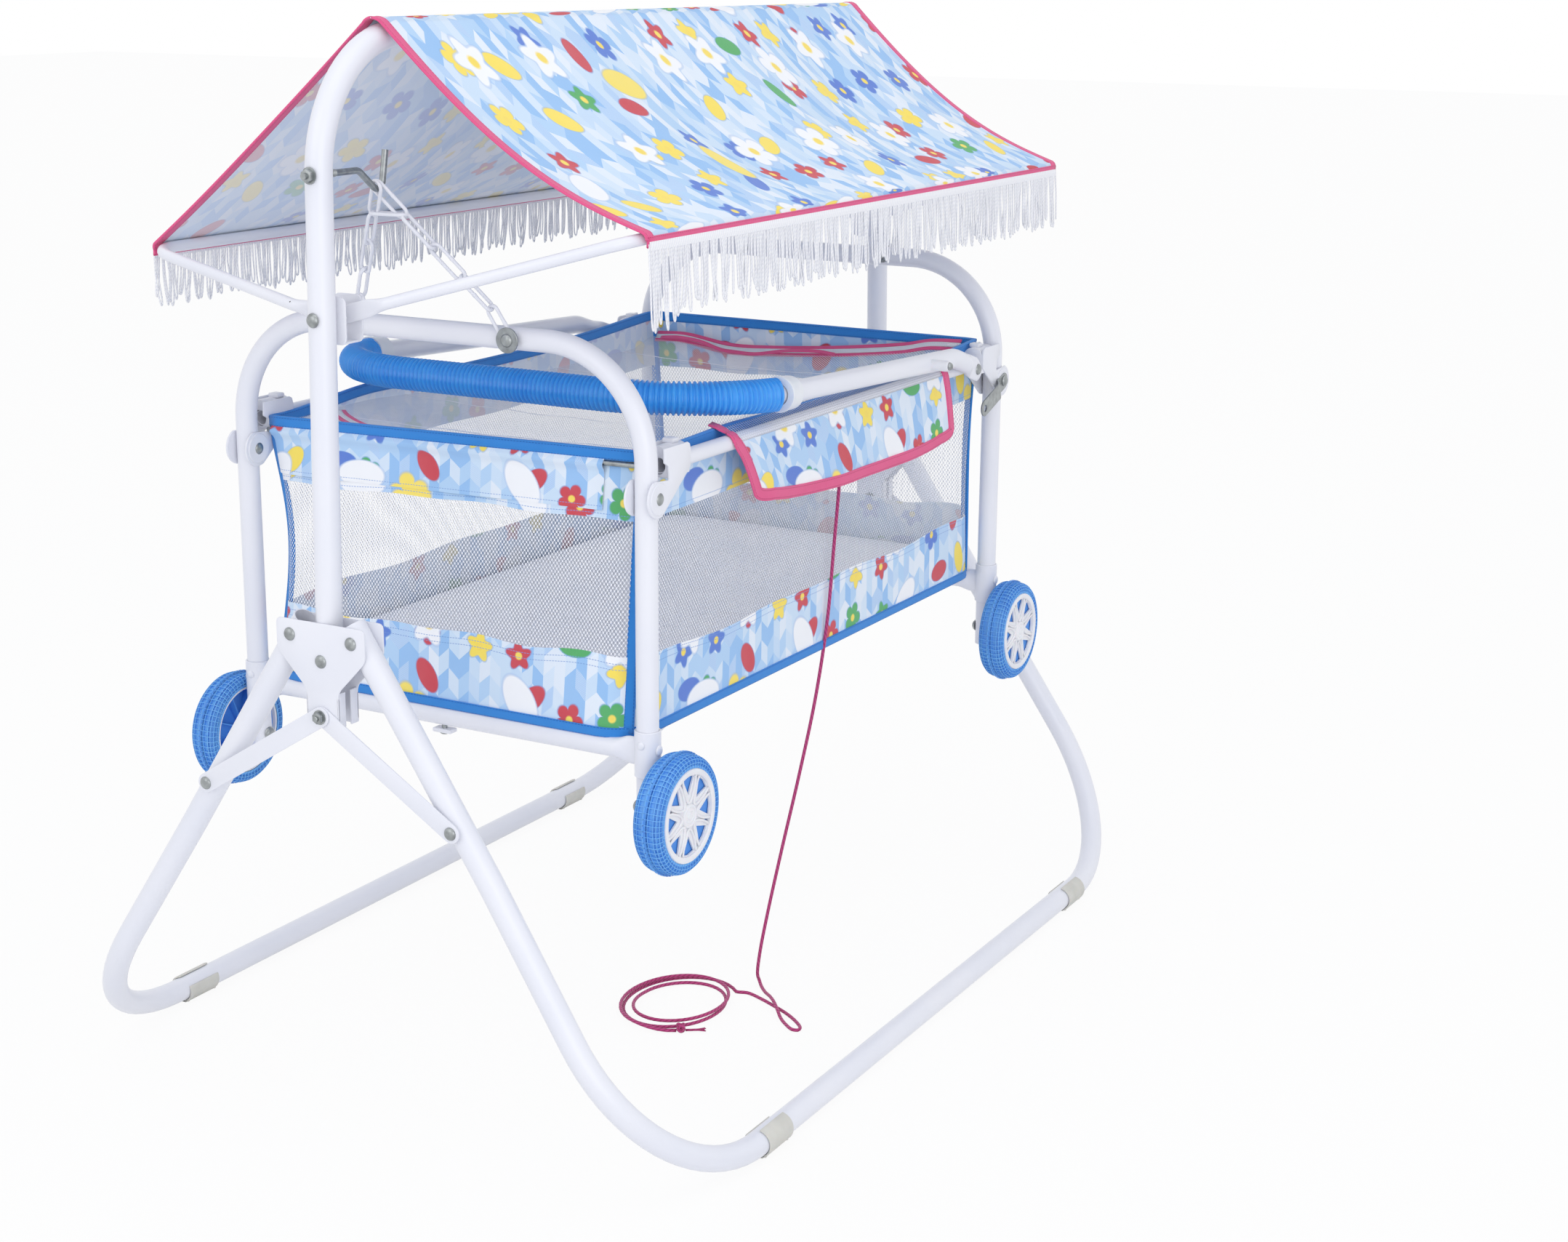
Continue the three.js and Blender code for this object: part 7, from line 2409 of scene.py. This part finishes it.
def square_to(surface: Surface, u: float, v: float) -> Vector:
    """The way that a surface faces at two shares.

    Args:
        surface: The surface.
        u: The share along it.
        v: The share across it.

    Returns:
        The way that it faces there.
    """
    step = 0.004
    across = surface(min(u + step, 1), v) - surface(max(u - step, 0), v)
    up = surface(u, min(v + step, 1)) - surface(u, max(v - step, 0))
    return across.cross(up).normalized()


def edging(name: str, surface: Surface, marks: Sequence[tuple[float, float]], width: float,
           thickness: float,
           sink: float) -> bpy.types.Object:
    """A binding tape over a sheet's edge.

    Args:
        name: The piece's name.
        surface: The sheet's surface.
        marks: The tape's middle line as pairs of shares of the surface.
        width: The tape's width in millimetres.
        thickness: Its thickness in millimetres.
        sink: How far its middle lies below the sheet's face, in millimetres.

    Returns:
        The piece.
    """
    faces = [square_to(surface, u, v) for u, v in marks]
    points = [surface(u, v) - face * sink * MM for (u, v), face in zip(marks, faces)]
    return tape(name, points, faces, width, thickness)


def bundle(name: str, lines: Sequence[Sequence[Vector]], radius: float, sides: int = 4) -> bpy.types.Object:
    """Many thin threads in one piece.

    Args:
        name: The piece's name.
        lines: Each thread's middle line in metres.
        radius: Their radius in millimetres.
        sides: The number of flats round each.

    Returns:
        The piece, smooth.
    """
    points, faces, marks = [], [], []
    for line in lines:
        base = len(points)
        run = runs(line)
        for i, place in enumerate(line):
            way = heading(line, i)
            side = way.cross(Y_WAY).normalized()
            points += ring_at(place, side, side.cross(way), radius, sides)
        for i in range(len(line) - 1):
            for k in range(sides):
                a, b = base + i * sides + k, base + i * sides + (k + 1) % sides
                faces.append((a, b, b + sides, a + sides))
                marks += [(k / sides, run[i]), ((k + 1) / sides, run[i]), ((k + 1) / sides, run[i + 1]),
                          (k / sides, run[i + 1])]
    return woven(name, points, faces, marks, smooth=True)


@dataclass
class Canopy:
    """The pitched canopy: printed cloth over the ridge and both eaves, pink bindings and looped fringes."""

    finishes: Finishes
    wings: Wings
    ridge: float = 1061
    over_ridge: float = 14.6
    over_eave: float = 7.5
    ridge_half: float = 474
    eave_half: float = 458
    sag: float = 26
    edge_sag: float = 5
    fold: float = 5
    folds: float = 3
    ridge_angle: float = 0.85
    eave_angle: float = 0.42
    fringe_right: float = 73
    fringe_left: float = 63
    near_extra: float = 20
    loop_pitch: float = 5.6
    seed: int = 7

    def surface(self, side: Side) -> Surface:
        """The cloth's upper face on one side, from the ridge down to the eave.

        Args:
            side: The side.

        Returns:
            The surface.
        """
        eave = self.wings.eave(side)
        eave_y = abs(eave.y)

        def on_tube(y: float, z: float, radius: float, angle: float) -> tuple[float, float]:
            """A place round a tube, at an angle out from its top."""
            return y + radius * math.sin(angle), z + radius * math.cos(angle)

        ridge_edge = on_tube(0, self.ridge, self.over_ridge, self.ridge_angle)
        eave_edge = on_tube(eave_y, eave.z, self.over_eave, self.eave_angle)

        def place(u: float, v: float) -> Vector:
            """A place on the cloth: round the ridge, hanging between the tubes, or round the eave.

            Args:
                u: The share along it.
                v: The share across it.

            Returns:
                The place.
            """
            if v < 0.12:
                y, z = on_tube(0, self.ridge, self.over_ridge, self.ridge_angle * v / 0.12)
            elif v > 0.92:
                angle = lerp(self.eave_angle, math.pi / 2, (v - 0.92) / 0.08)
                y, z = on_tube(eave_y, eave.z, self.over_eave, angle)
            else:
                share = (v - 0.12) / 0.8
                hang = math.sin(math.pi * share)
                wave = self.fold * math.sin(math.tau * self.folds * u)
                wave += 1.3 * math.sin(math.tau * 7 * u + 4 * share)
                y = lerp(ridge_edge[0], eave_edge[0], share)
                slack = lerp(self.edge_sag, self.sag,
                             smoothstep(u / 0.2)) if side is Side.LEFT else self.sag
                z = lerp(ridge_edge[1], eave_edge[1], share) - slack * hang + wave * hang
            half = lerp(self.ridge_half, self.eave_half, v)
            return mm(side.value * half * (2 * u - 1), side.value * y, z)

        return place

    def fringe(self, side: Side) -> bpy.types.Object:
        """One eave's fringe of looped cord under a woven heading.

        Args:
            side: The side.

        Returns:
            The piece.
        """
        eave = self.wings.eave(side)
        rng = random.Random(self.seed + side.value)
        lines = []
        count = round(2 * self.eave_half / self.loop_pitch)
        for k in range(count):
            x = -self.eave_half + 2 + self.loop_pitch * k
            length = self.fringe_left if side is Side.LEFT else self.fringe_right
            extra = self.near_extra * max(1 - (x + self.eave_half) / 70, 0) if side is Side.RIGHT else 0
            drop = length + extra - 6 - rng.uniform(0, 12)
            lean, out, twist = rng.uniform(-6, 6), rng.uniform(0.2, 3.4), rng.uniform(-1.2, 1.2)
            width, curl = rng.uniform(3.4, 7.2), rng.uniform(-2.2, 2.2)
            line = []
            for step in range(15):
                angle = math.pi * step / 14
                down = math.sin(angle) ** 0.55
                across = -math.cos(angle) * (1.1 + width * 0.5 * down ** 2) + curl * math.sin(4 * down)
                line.append(mm(x + across + lean * down, eave.y + side.value * (
                    8.2 + out * down + twist * math.cos(angle) * down), eave.z - 4 - drop * down))
            lines.append(line)
        loops = bundle("fringe_loops", lines, 0.85, 5)
        heading_rows = []
        for k in range(93):
            x = -self.eave_half + 2 + (2 * self.eave_half - 4) * k / 92
            wave = 0.5 * math.sin(k * 0.9)
            heading_rows.append([mm(x, eave.y + side.value * (y + wave * 0.3), eave.z - z)
                                 for y,
                                 z in ((8.9, 2), (9.4, 6), (8.9, 10), (7.5, 10), (7.2, 6), (7.4, 2))])
        marks = [0, 0.2, 0.4, 0.5, 0.7, 0.9, 1.0]
        heading = knit("fringe_heading", heading_rows, marks, [k * 0.01 for k in range(93)], tube=True)
        return joined(f"looped_fringe_{side.label}", [loops, tidied(heading)])

    def build(self) -> None:
        """Makes both panels with their bindings and fringes."""
        for side in Side:
            label = side.label
            wing = f"wing_{label}"
            surface = self.surface(side)
            eave = self.wings.eave(side)
            length = runs([surface(0.5, k / 60) for k in range(61)])[-1]
            panel = cloth(f"canopy_cloth_{label}", surface, 96, 50, (2 * self.ridge_half * MM, length), 1.2)
            dress(panel, self.finishes.printed, None, [f"canopy_panel_{label}"], self.finishes.reverse)
            edges = []
            for u, end in ((0.0055, "first"), (0.9945, "second")):
                marks = [(u, k / 50) for k in range(50)] + [(u, 0.999)]
                edges.append(edging(f"canopy_edge_{end}_{label}", surface, marks, 13, 2.8, 0.6))
            eave_line = [(k / 80, 0.999) for k in range(81)]
            low = [surface(u, v) - mm(0, 0, 2.6) for u, v in eave_line]
            edges.append(tape(f"canopy_eave_{label}", low, [Vector((0, side.value, 0))] * 81, 10.5, 2.2))
            start, end_place = (0, 0, 1.045), (0, eave.y * MM, (eave.z + 7) * MM)
            fringe = self.fringe(side)
            dress(fringe, self.finishes.fringe, wing, [f"fringe_{label}"])
            for piece in edges:
                dress(piece, self.finishes.pink)
            for piece in (panel, *edges):
                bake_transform(piece)
                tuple(start)
                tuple(end_place)


def slump(x: float, y: float) -> float:
    """How far the basket's rim hangs lower at a place than it would when level, in millimetres."""
    near_low = lerp(8, 16, (y / 226 + 1) / 2)
    return near_low * smoothstep((-x - 190) / 180) - 3 * smoothstep((x - 190) / 180)


@dataclass
class Basket:
    """The cloth basket: printed bands and coarse mesh walls, blue bindings, rod pockets and a floor."""

    finishes: Finishes
    foot_half: float = 396
    top_half: float = 372.5
    half_width: float = 226
    foot: float = 401.3
    height: float = 284.7
    foot_corner: float = 42
    top_corner: float = 5
    rim_sag: float = 9
    foot_band_end: float = 80
    foot_band_side: float = 75
    top_band: float = 66
    pocket: float = 58
    waist: float = 4
    near_left_waist: float = 15

    def wall(self, way: Vector, p: float, t: float, out: float = 0) -> Vector:
        """A place on the wall.

        Args:
            way: The way that the panel faces.
            p: From -1 at one corner's middle to 1 at the other's.
            t: From 0 at the foot to 1 at the rim.
            out: How far outside the wall, in millimetres.

        Returns:
            The place in metres.
        """
        across_way = Z_WAY.cross(way)
        is_end = abs(way.x) > 0.5
        long_half = lerp(self.foot_half, self.top_half, t)
        depth, half = (long_half, self.half_width) if is_end else (self.half_width, long_half)
        radius = lerp(self.foot_corner, self.top_corner, t)
        straight = half - radius
        run = p * (straight + radius * math.pi / 4)
        outward = way.copy()
        if abs(run) <= straight:
            across, deep = run, depth
        else:
            angle = (abs(run) - straight) / radius
            sign = math.copysign(1, run)
            across = sign * (straight + radius * math.sin(angle))
            deep = depth - radius + radius * math.cos(angle)
            outward = way * math.cos(angle) + across_way * sign * math.sin(angle)
        place = way * deep + across_way * across
        sag = self.rim_sag * t * t * max(1 - (place.x / self.top_half) ** 2, 0)
        sag += slump(place.x, place.y) * smoothstep(t)
        ripple = 1.1 * math.sin(across / 37 + 5 * t) * math.sin(math.pi * min(max(t, 0), 1))
        pull = self.near_left_waist if place.x < 0 < place.y else self.waist
        pull *= math.sin(math.pi * min(max(t, 0), 1)) ** 1.4 * abs(p) ** 14
        inward = Vector((-math.copysign(1, place.x), -math.copysign(1, place.y), 0)).normalized()
        place = place + outward * (out + ripple) + inward * pull
        return mm(place.x, place.y, self.foot + self.height * t - sag)

    def zone(self, name: str, way: Vector, low: float, high: float, out: float, thickness: float,
             span: tuple[float, float] = (-1, 1), wave: tuple[float, float] = (0, 0)) -> bpy.types.Object:
        """One zone of a panel between two heights above the foot.

        Args:
            name: The piece's name.
            way: The way that the panel faces.
            low: The zone's foot in millimetres above the basket's.
            high: Its top.
            out: How far outside the wall it lies, in millimetres.
            thickness: The cloth's thickness, or 0 for mesh.
            span: The share of the panel's width that it takes.
            wave: How far its foot and its top wander, in millimetres.

        Returns:
            The piece.
        """
        is_end = abs(way.x) > 0.5
        width = (2 * self.half_width if is_end else 2 * self.top_half) * MM * (span[1] - span[0]) / 2

        def surface(u: float, v: float) -> Vector:
            """A place on the zone.

            Args:
                u: The share along it.
                v: The share across it.

            Returns:
                The place.
            """
            p = lerp(span[0], span[1], u)
            foot = low + wave[0] * math.sin(u * 17 + 1.3) * math.sin(u * 7)
            top = high + wave[1] * math.sin(u * 19 + 0.4) * math.sin(u * 5 + 1)
            return self.wall(way, p, lerp(foot, top, v) / self.height, out)

        rows = max(8, round((high - low) / 7))
        return cloth(name, surface, 72 if is_end else 110, rows, (width, (high - low) * MM), thickness)

    def rod_pocket(self, way: Vector, label: str) -> bpy.types.Object:
        """The outer layer of an end panel's top band, round the rod; it stops short of one corner."""
        def surface(u: float, v: float) -> Vector:
            """A place on the pocket, which bulges over its rod.

            Args:
                u: The share along it.
                v: The share across it.

            Returns:
                The place.
            """
            p = lerp(-0.985, 0.82, u)
            height = self.height - self.pocket + v * (self.pocket - 7.5)
            bulge = math.exp(-((height - 271.8) / 5.4) ** 2)
            hem = 1.3 * math.sin(u * 13) * (1 - v)
            return self.wall(way, p, height / self.height, 1.4 + 5.6 * bulge + max(hem, -0.4))

        return cloth(f"rod_pocket_{label}", surface, 72, 18, (0.422, self.pocket * MM), 0.8)

    def ring(self, t: float, out: float, lift: float) -> tuple[list[Vector], list[Vector]]:
        """A closed line round the wall at a height share, and the ways it faces.

        Args:
            t: The height share.
            out: How far out it lies in millimetres.
            lift: How far up it is moved in millimetres.

        Returns:
            The line's points, and the ways.
        """
        points, faces = [], []
        for way in (X_BACK, Y_BACK, X_WAY, Y_WAY):
            count = 40 if abs(way.x) > 0.5 else 64
            for k in range(count):
                p = -1 + 2 * k / count
                here, inner = self.wall(way, p, t, out), self.wall(way, p, t, out - 5)
                points.append(here + mm(0, 0, lift))
                faces.append((here - inner).normalized())
        return [*points, points[0]], [*faces, faces[0]]

    def corner(self, x: float, y: float, label: str) -> bpy.types.Object:
        """The vertical binding of one corner.

        Args:
            x: The corner's X.
            y: The corner's Y.
            label: The corner in the piece's name.

        Returns:
            The piece.
        """
        way = Vector((x, 0, 0))
        p = 1.0 if Z_WAY.cross(way).y * y > 0 else -1.0
        points = [self.wall(way, p, lerp(0.01, 0.99, k / 30), 0.6) for k in range(31)]
        return tape(f"corner_binding_{label}", points, [Vector((x, 0.35 * y, 0)).normalized()] * 31, 11,
                    3.2)

    def build(self) -> None:
        """Makes the basket's panels, floor and bindings."""
        white, printed = self.finishes.mesh, self.finishes.hemmed
        ways = {"near": X_BACK, "right": Y_BACK, "far": X_WAY,
                "left": Y_WAY}
        corners = {"near_left": (-1, 1), "near_right": (-1, -1), "far_right": (1, -1), "far_left": (1, 1)}
        bindings = []
        for t, name, width, lift, out, thick in ((1, "rim_binding", 12, -2.8, 1.2, 6.6),
                                                 (0, "foot_binding", 10, 3.4, 0.3, 3.4)):
            points, faces = self.ring(t, out, lift)
            bindings.append(tape(name, points, faces, width, thick))
        for label, (x, y) in corners.items():
            bindings.append(self.corner(x, y, label))
        for piece in bindings:
            dress(piece, self.finishes.blue, "cradle")
        for label, way in ways.items():
            is_end = label in ("near", "far")
            foot_band = self.foot_band_end if is_end else self.foot_band_side
            mesh = self.zone(f"mesh_wall_{label}", way, foot_band - 3, self.height - self.top_band + 3,
                             -0.5, 0)
            foot = self.zone(f"foot_band_{label}", way, 0, foot_band, 0, 0.7, (-1, 1), (0, 3.2))
            top = self.zone(f"top_band_{label}", way, self.height - self.top_band, self.height - 0.5, 0,
                            0.7,
                            (-1, 1), (2.0, 0))
            dress(mesh, white, "cradle", ["basket"])
            pieces = [foot, top]
            if is_end:
                pieces.append(self.rod_pocket(way, label))
            for piece in pieces:
                back = printed if is_end and piece is top else self.finishes.reverse
                dress(piece, printed, "cradle", ["basket"], back)
            if label == "near":
                pieces += bindings
            width = (2 * self.half_width if is_end else 2 * self.top_half) * MM

        def floor_at(u: float, v: float) -> Vector:
            """A place on the floor, whose corners are round.

            Args:
                u: The share along it.
                v: The share across it.

            Returns:
                The place.
            """
            x, y = (2 * u - 1) * (self.foot_half - 3), (2 * v - 1) * (self.half_width - 3)
            radius = self.foot_corner
            over = Vector((abs(x) - (self.foot_half - 3 - radius), abs(y) - (self.half_width - 3 - radius)))
            if over.x > 0 and over.y > 0 and over.length > 0:
                pulled = over * max(over.x, over.y) / over.length
                x = math.copysign(self.foot_half - 3 - radius + pulled.x, x)
                y = math.copysign(self.half_width - 3 - radius + pulled.y, y)
            return mm(x, y, self.foot + 2.2 - 0.8 * math.sin(math.pi * u))

        floor = cloth("basket_floor", floor_at, 48, 28, (0.786, 0.446), 1.2)
        dress(floor, self.finishes.ticking, "cradle", ["basket"])


@dataclass
class Mattress:
    """A thin quilted mattress with a crowned top and piped seams."""

    finishes: Finishes
    foot: float = 404.6
    half_x: float = 384.5
    half_y: float = 214.5
    corner: float = 42
    thickness: float = 25
    crown: float = 5

    def build(self) -> None:
        """Models the mattress from a block: rounded, subdivided, crowned and dimpled."""
        take()
        bpy.ops.mesh.primitive_cube_add(size=1)
        piece = named("soft_mattress")
        low, high = self.foot, self.foot + self.thickness
        piece.data.transform(Matrix.Translation(mm(0, 0, (low + high) / 2)) @ Matrix.Diagonal(
            (2 * self.half_x * MM, 2 * self.half_y * MM, self.thickness * MM, 1)))
        bpy.ops.object.mode_set(mode="EDIT")
        bpy.ops.mesh.select_mode(type="EDGE")
        bpy.ops.mesh.select_all(action="DESELECT")
        bpy.ops.object.mode_set(mode="OBJECT")
        for edge in piece.data.edges:
            first, second = (piece.data.vertices[i].co for i in edge.vertices)
            edge.select = abs(first.z - second.z) > 0.01
        bpy.ops.object.mode_set(mode="EDIT")
        bpy.ops.mesh.bevel(offset=self.corner * MM, segments=8)
        bpy.ops.mesh.select_mode(type="VERT")
        bpy.ops.object.mode_set(mode="OBJECT")
        finish_with(piece, "BEVEL", width=11 * MM, segments=4, limit_method="ANGLE",
                    angle_limit=math.radians(60))
        finish_with(piece, "REMESH", mode="VOXEL", voxel_size=0.006)
        middle = (low + high) / 2

        def stuffed(place: Vector) -> Vector:
            """Crowns the top and draws it in at the quilting.

            Args:
                place: A corner's place in millimetres.

            Returns:
                Its new place.
            """
            x, y = place.x / self.half_x, place.y / self.half_y
            edge = max(1 - x * x, 0) * max(1 - y * y, 0)
            lift = self.crown * edge ** 0.4 if place.z > middle else 0
            quilt = 1.6 * abs(math.sin(math.pi * 3 * (x + 1))) * abs(math.sin(math.pi * 2 * (y + 1))) - 1.0
            return place + Vector((0, 0, lift + (quilt * min(edge * 4, 1) if place.z > middle else 0)))

        smoothed(reshaped(piece, stuffed), SOFT_CREASE)
        dress(piece, self.finishes.ticking, "cradle", ["mattress"])


@dataclass
class NetCover:
    """The mosquito net zipped into the basket's rim, dipping to its middle and towards the far end."""

    finishes: Finishes
    half_x: float = 369.1
    half_y: float = 222.6
    top: float = 679
    sag: float = 11
    far_drop: float = 28
    far_heights: tuple[tuple[float, float], ...] = (
        (-226, 684), (-170, 680), (-136, 673), (-60, 662), (0, 657), (60, 653), (108, 652), (174, 661),
        (226, 660))

    def height(self, x: float, y: float) -> float:
        """The net's height in millimetres.

        Args:
            x: The X in millimetres.
            y: The Y in millimetres.

        Returns:
            The height.
        """
        across, along = x / self.half_x, y / self.half_y
        inside = max(1 - across * across, 0) * max(1 - along * along, 0)
        wrinkle = 1.2 * math.sin(x / 41 + y / 23) * math.sin(y / 31) * min(inside * 3, 1)
        level = (self.top - self.sag * (1 - across * across) - self.sag / 2 * (1 - along * along)
                 - self.far_drop * (across + 1) / 2 + wrinkle - 0.8 * max(slump(x, y), 0))
        return lerp(level, self.far_edge(y), smoothstep((x - 318) / 51))

    def far_edge(self, y: float) -> float:
        """The height that the net is zipped to the far panel at."""
        for (start, low), (end, high) in zip(self.far_heights, self.far_heights[1:]):
            if y <= end:
                return lerp(low, high, max((y - start) / (end - start), 0))
        return self.far_heights[-1][1]

    def surface(self, u: float, v: float) -> Vector:
        """A place on the net."""
        x, y = (2 * u - 1) * self.half_x, (2 * v - 1) * self.half_y
        return mm(x, y, self.height(x, y))

    def zip(self, name: str, route: Sequence[tuple[float, float, float]]) -> list[bpy.types.Object]:
        """A zip along a route of X, Y and lift over the net: white teeth between two pink tapes.

        Args:
            name: The start of the pieces' names.
            route: The X, Y and lift of its places.

        Returns:
            The pieces.
        """
        facing_way = Z_WAY if route[0][0] < 0 else Vector((-0.75, 0, 0.66))
        places = [mm(x, y, self.height(x, y) + lift) for x, y, lift in route]
        fine = smooth_line(places, 8)
        pieces = []
        for offset, width, part in ((-5.6, 4.6, "outer"), (0, 6.4, "teeth"), (5.6, 4.6, "inner")):
            line = []
            for i, place in enumerate(fine):
                across = facing_way.cross(heading(fine, i)).normalized()
                line.append(place + across * offset * MM + mm(0, 0, 0.4 * math.sin(i * 0.31 + offset)))
            piece = tape(f"{name}_{part}", line, [facing_way] * len(line), width, 1.8)
            coat = self.finishes.zip_tape if part == "teeth" else self.finishes.pink
            pieces.append(dress(piece, coat, "cradle"))
        return pieces

    def build(self) -> None:
        """Makes the net, its zips and the pulls."""
        net = cloth("mosquito_net", self.surface, 96, 60, (2 * self.half_x * MM, 2 * self.half_y * MM))
        dress(net, self.finishes.net, "cradle", ["net_cover"])
        near = self.zip("near_zip", ((-285, 208, 1.6), (-303, 188, 1.6), (-335, 134, 1.6), (-353, 52, 1.6),
                                     (-357, -60, 1.6), (-354, -132, 1.6), (-346, -172, 1.6),
                                     (-324, -194, 1.8),
                                     (-282, -207, 2.4), (-246, -211, 3.4)))
        far = self.zip("far_zip",
                       ((361, -212, 3), (362, -170, 3), (362, -136, 3), (362, -50, 3), (362, 50, 3),
                        (362, 108, 3), (362, 174, 3), (361, 212, 3)))
        slack = [mm(352 - 4 * math.sin(k * 0.23) ** 2, 200 - 250 * k / 60,
                    self.height(352, 200 - 250 * k / 60) + 5 + 3.4 * math.sin(k * 0.16)) for k in range(61)]
        loose = tape("far_zip_slack", slack, [Vector((-0.6, 0, 0.8))] * 61, 5, 1.6)
        dress(loose, self.finishes.pink, "cradle")
        pull_at = mm(-249, -212, self.height(-249, -212) + 7)
        slider = block("slider", pull_at - mm(5, 3.4, 1.6), pull_at + mm(5, 3.4, 1.6), 1.0)
        tag = block("tag", pull_at + mm(4, -2.4, -0.6), pull_at + mm(19, 2.4, 0.6), 0.5)
        ring_line = [mm(356 + 5 * math.cos(a), -204 + 5 * math.sin(a), self.height(356, -204) + 7)
                     for a in (math.tau * k / 20 for k in range(20))]
        ring = loop("pull_ring", ring_line, [1.1] * 20, Z_WAY, 8)
        dress(joined("zip_pulls", [slider, tag, ring]), self.finishes.moulding, "cradle")


@dataclass
class SideFlap:
    """The flap over the right rail: a net strip from the rim, printed cloth and a broad pink binding."""

    finishes: Finishes
    rail_y: float = 241
    rail_z: float = 668
    over_rail: float = 9.7
    drop: float = 83
    rail_share: float = 0.32
    fold: float = 3

    def surface(self, u: float, v: float) -> Vector:
        """A place on the flap, from the rail's top down.

        Args:
            u: The share along it.
            v: The share across it.

        Returns:
            The place.
        """
        t = min(max((v - self.rail_share) / (1 - self.rail_share), 0), 1)
        x = lerp(lerp(-245, -200, t ** 0.7), lerp(244, 266, t ** 0.7), u)
        if v < self.rail_share:
            angle = math.pi / 2 * (1 - v / self.rail_share)
            return mm(x, -(self.rail_y + self.over_rail * math.cos(angle)),
                      self.rail_z + self.over_rail * math.sin(angle))
        fold = max(self.fold * t * math.sin(6 * math.pi * u), 0) + 0.8 * t * math.sin(23 * u)
        fall = self.drop * t * (1 - 0.26 * (1 - u) ** 5 - 0.14 * u ** 12)
        return mm(x, -(self.rail_y + self.over_rail + max(fold, 0)), self.rail_z - fall)

    def strip_surface(self, u: float, v: float) -> Vector:
        """The net strip from the basket's rim over the rail, rising to the rim with v.

        Args:
            u: The share along it.
            v: The share across it.

        Returns:
            The place.
        """
        low = self.surface(u, 0.37)
        if v < 0.55:
            place = self.surface(u, 0.37 * (1 - v / 0.55))
            return place + Vector((0, 0.4 * MM, 0)) if v < 0.2 else place
        share = (v - 0.55) / 0.45
        top = self.surface(u, 0)
        sag = 9 * (1 - (low.x / MM / 372.5) ** 2)
        rim = 688.8 - sag - slump(top.x / MM, -226)
        return top.lerp(mm(top.x / MM, -222, rim + 1.4), share)

    def build(self) -> None:
        """Makes the flap."""
        net = cloth("flap_net", self.strip_surface, 80, 20, (0.49, 0.036))
        dress(net, self.finishes.mesh, "cradle", ["side_flap"])
        start = 0.31

        def print_surface(u: float, v: float) -> Vector:
            """A place on the printed cloth, from its foot up."""
            return self.surface(u, lerp(1, start, v))

        panel = cloth("flap_cloth", print_surface, 80, 24, (0.48, 0.083), 0.9)
        dress(panel, self.finishes.printed, "cradle", ["side_flap"], self.finishes.reverse)
        edge = 0.012
        marks = [(edge, v / 40) for v in range(41)]
        marks += [(lerp(edge, 1 - edge, k / 60), lerp(0.95, 0.93, abs(k / 30 - 1) ** 8))
                  for k in range(1, 60)]
        marks += [(1 - edge, 1 - v / 40) for v in range(40)]
        line = [self.surface(u, v) for u, v in marks]
        eased = list(line)
        for i in range(3, len(line) - 3):
            eased[i] = sum(line[i - 3:i + 4], Vector()) / 7
        faces = []
        for u, v in marks:
            face = square_to(lambda a, b: self.surface(a, 1 - b), u, min(max(1 - v, 0.002), 0.998))
            faces.append(face)
        tab = [mm(-243, -222.5, 685.6), mm(-241.5, -230, 683.2), mm(-240.5, -237, 680.2)]
        faces = [Vector((0, -0.3, 0.95))] * len(tab) + faces
        middle = [place + face * 0.2 * MM for place, face in zip(tab + eased, faces)]
        binding = tape("flap_binding", middle, faces, 13, 2.6)
        dress(binding, self.finishes.pink, "cradle")


def main() -> None:
    """Builds the cradle, piece by piece, and reports each."""
    logging.basicConfig(level=logging.INFO, format="%(message)s")
    Studio().build()
    finishes = Finishes()
    fasteners = Fasteners(finishes)
    PullCord().build(finishes)
    Stand(finishes, fasteners).build()
    wings = Wings(finishes, fasteners)
    wings.build()
    CradleFrame(finishes, fasteners).build()
    Chains(finishes).build()
    Wheels(finishes).build()
    Handle(finishes, fasteners).build()
    LockLink(finishes).build()
    Canopy(finishes, wings).build()
    Basket(finishes).build()
    Mattress(finishes).build()
    NetCover(finishes).build()
    SideFlap(finishes).build()
    bpy.context.view_layer.update()


if __name__ == "__main__":
    main()
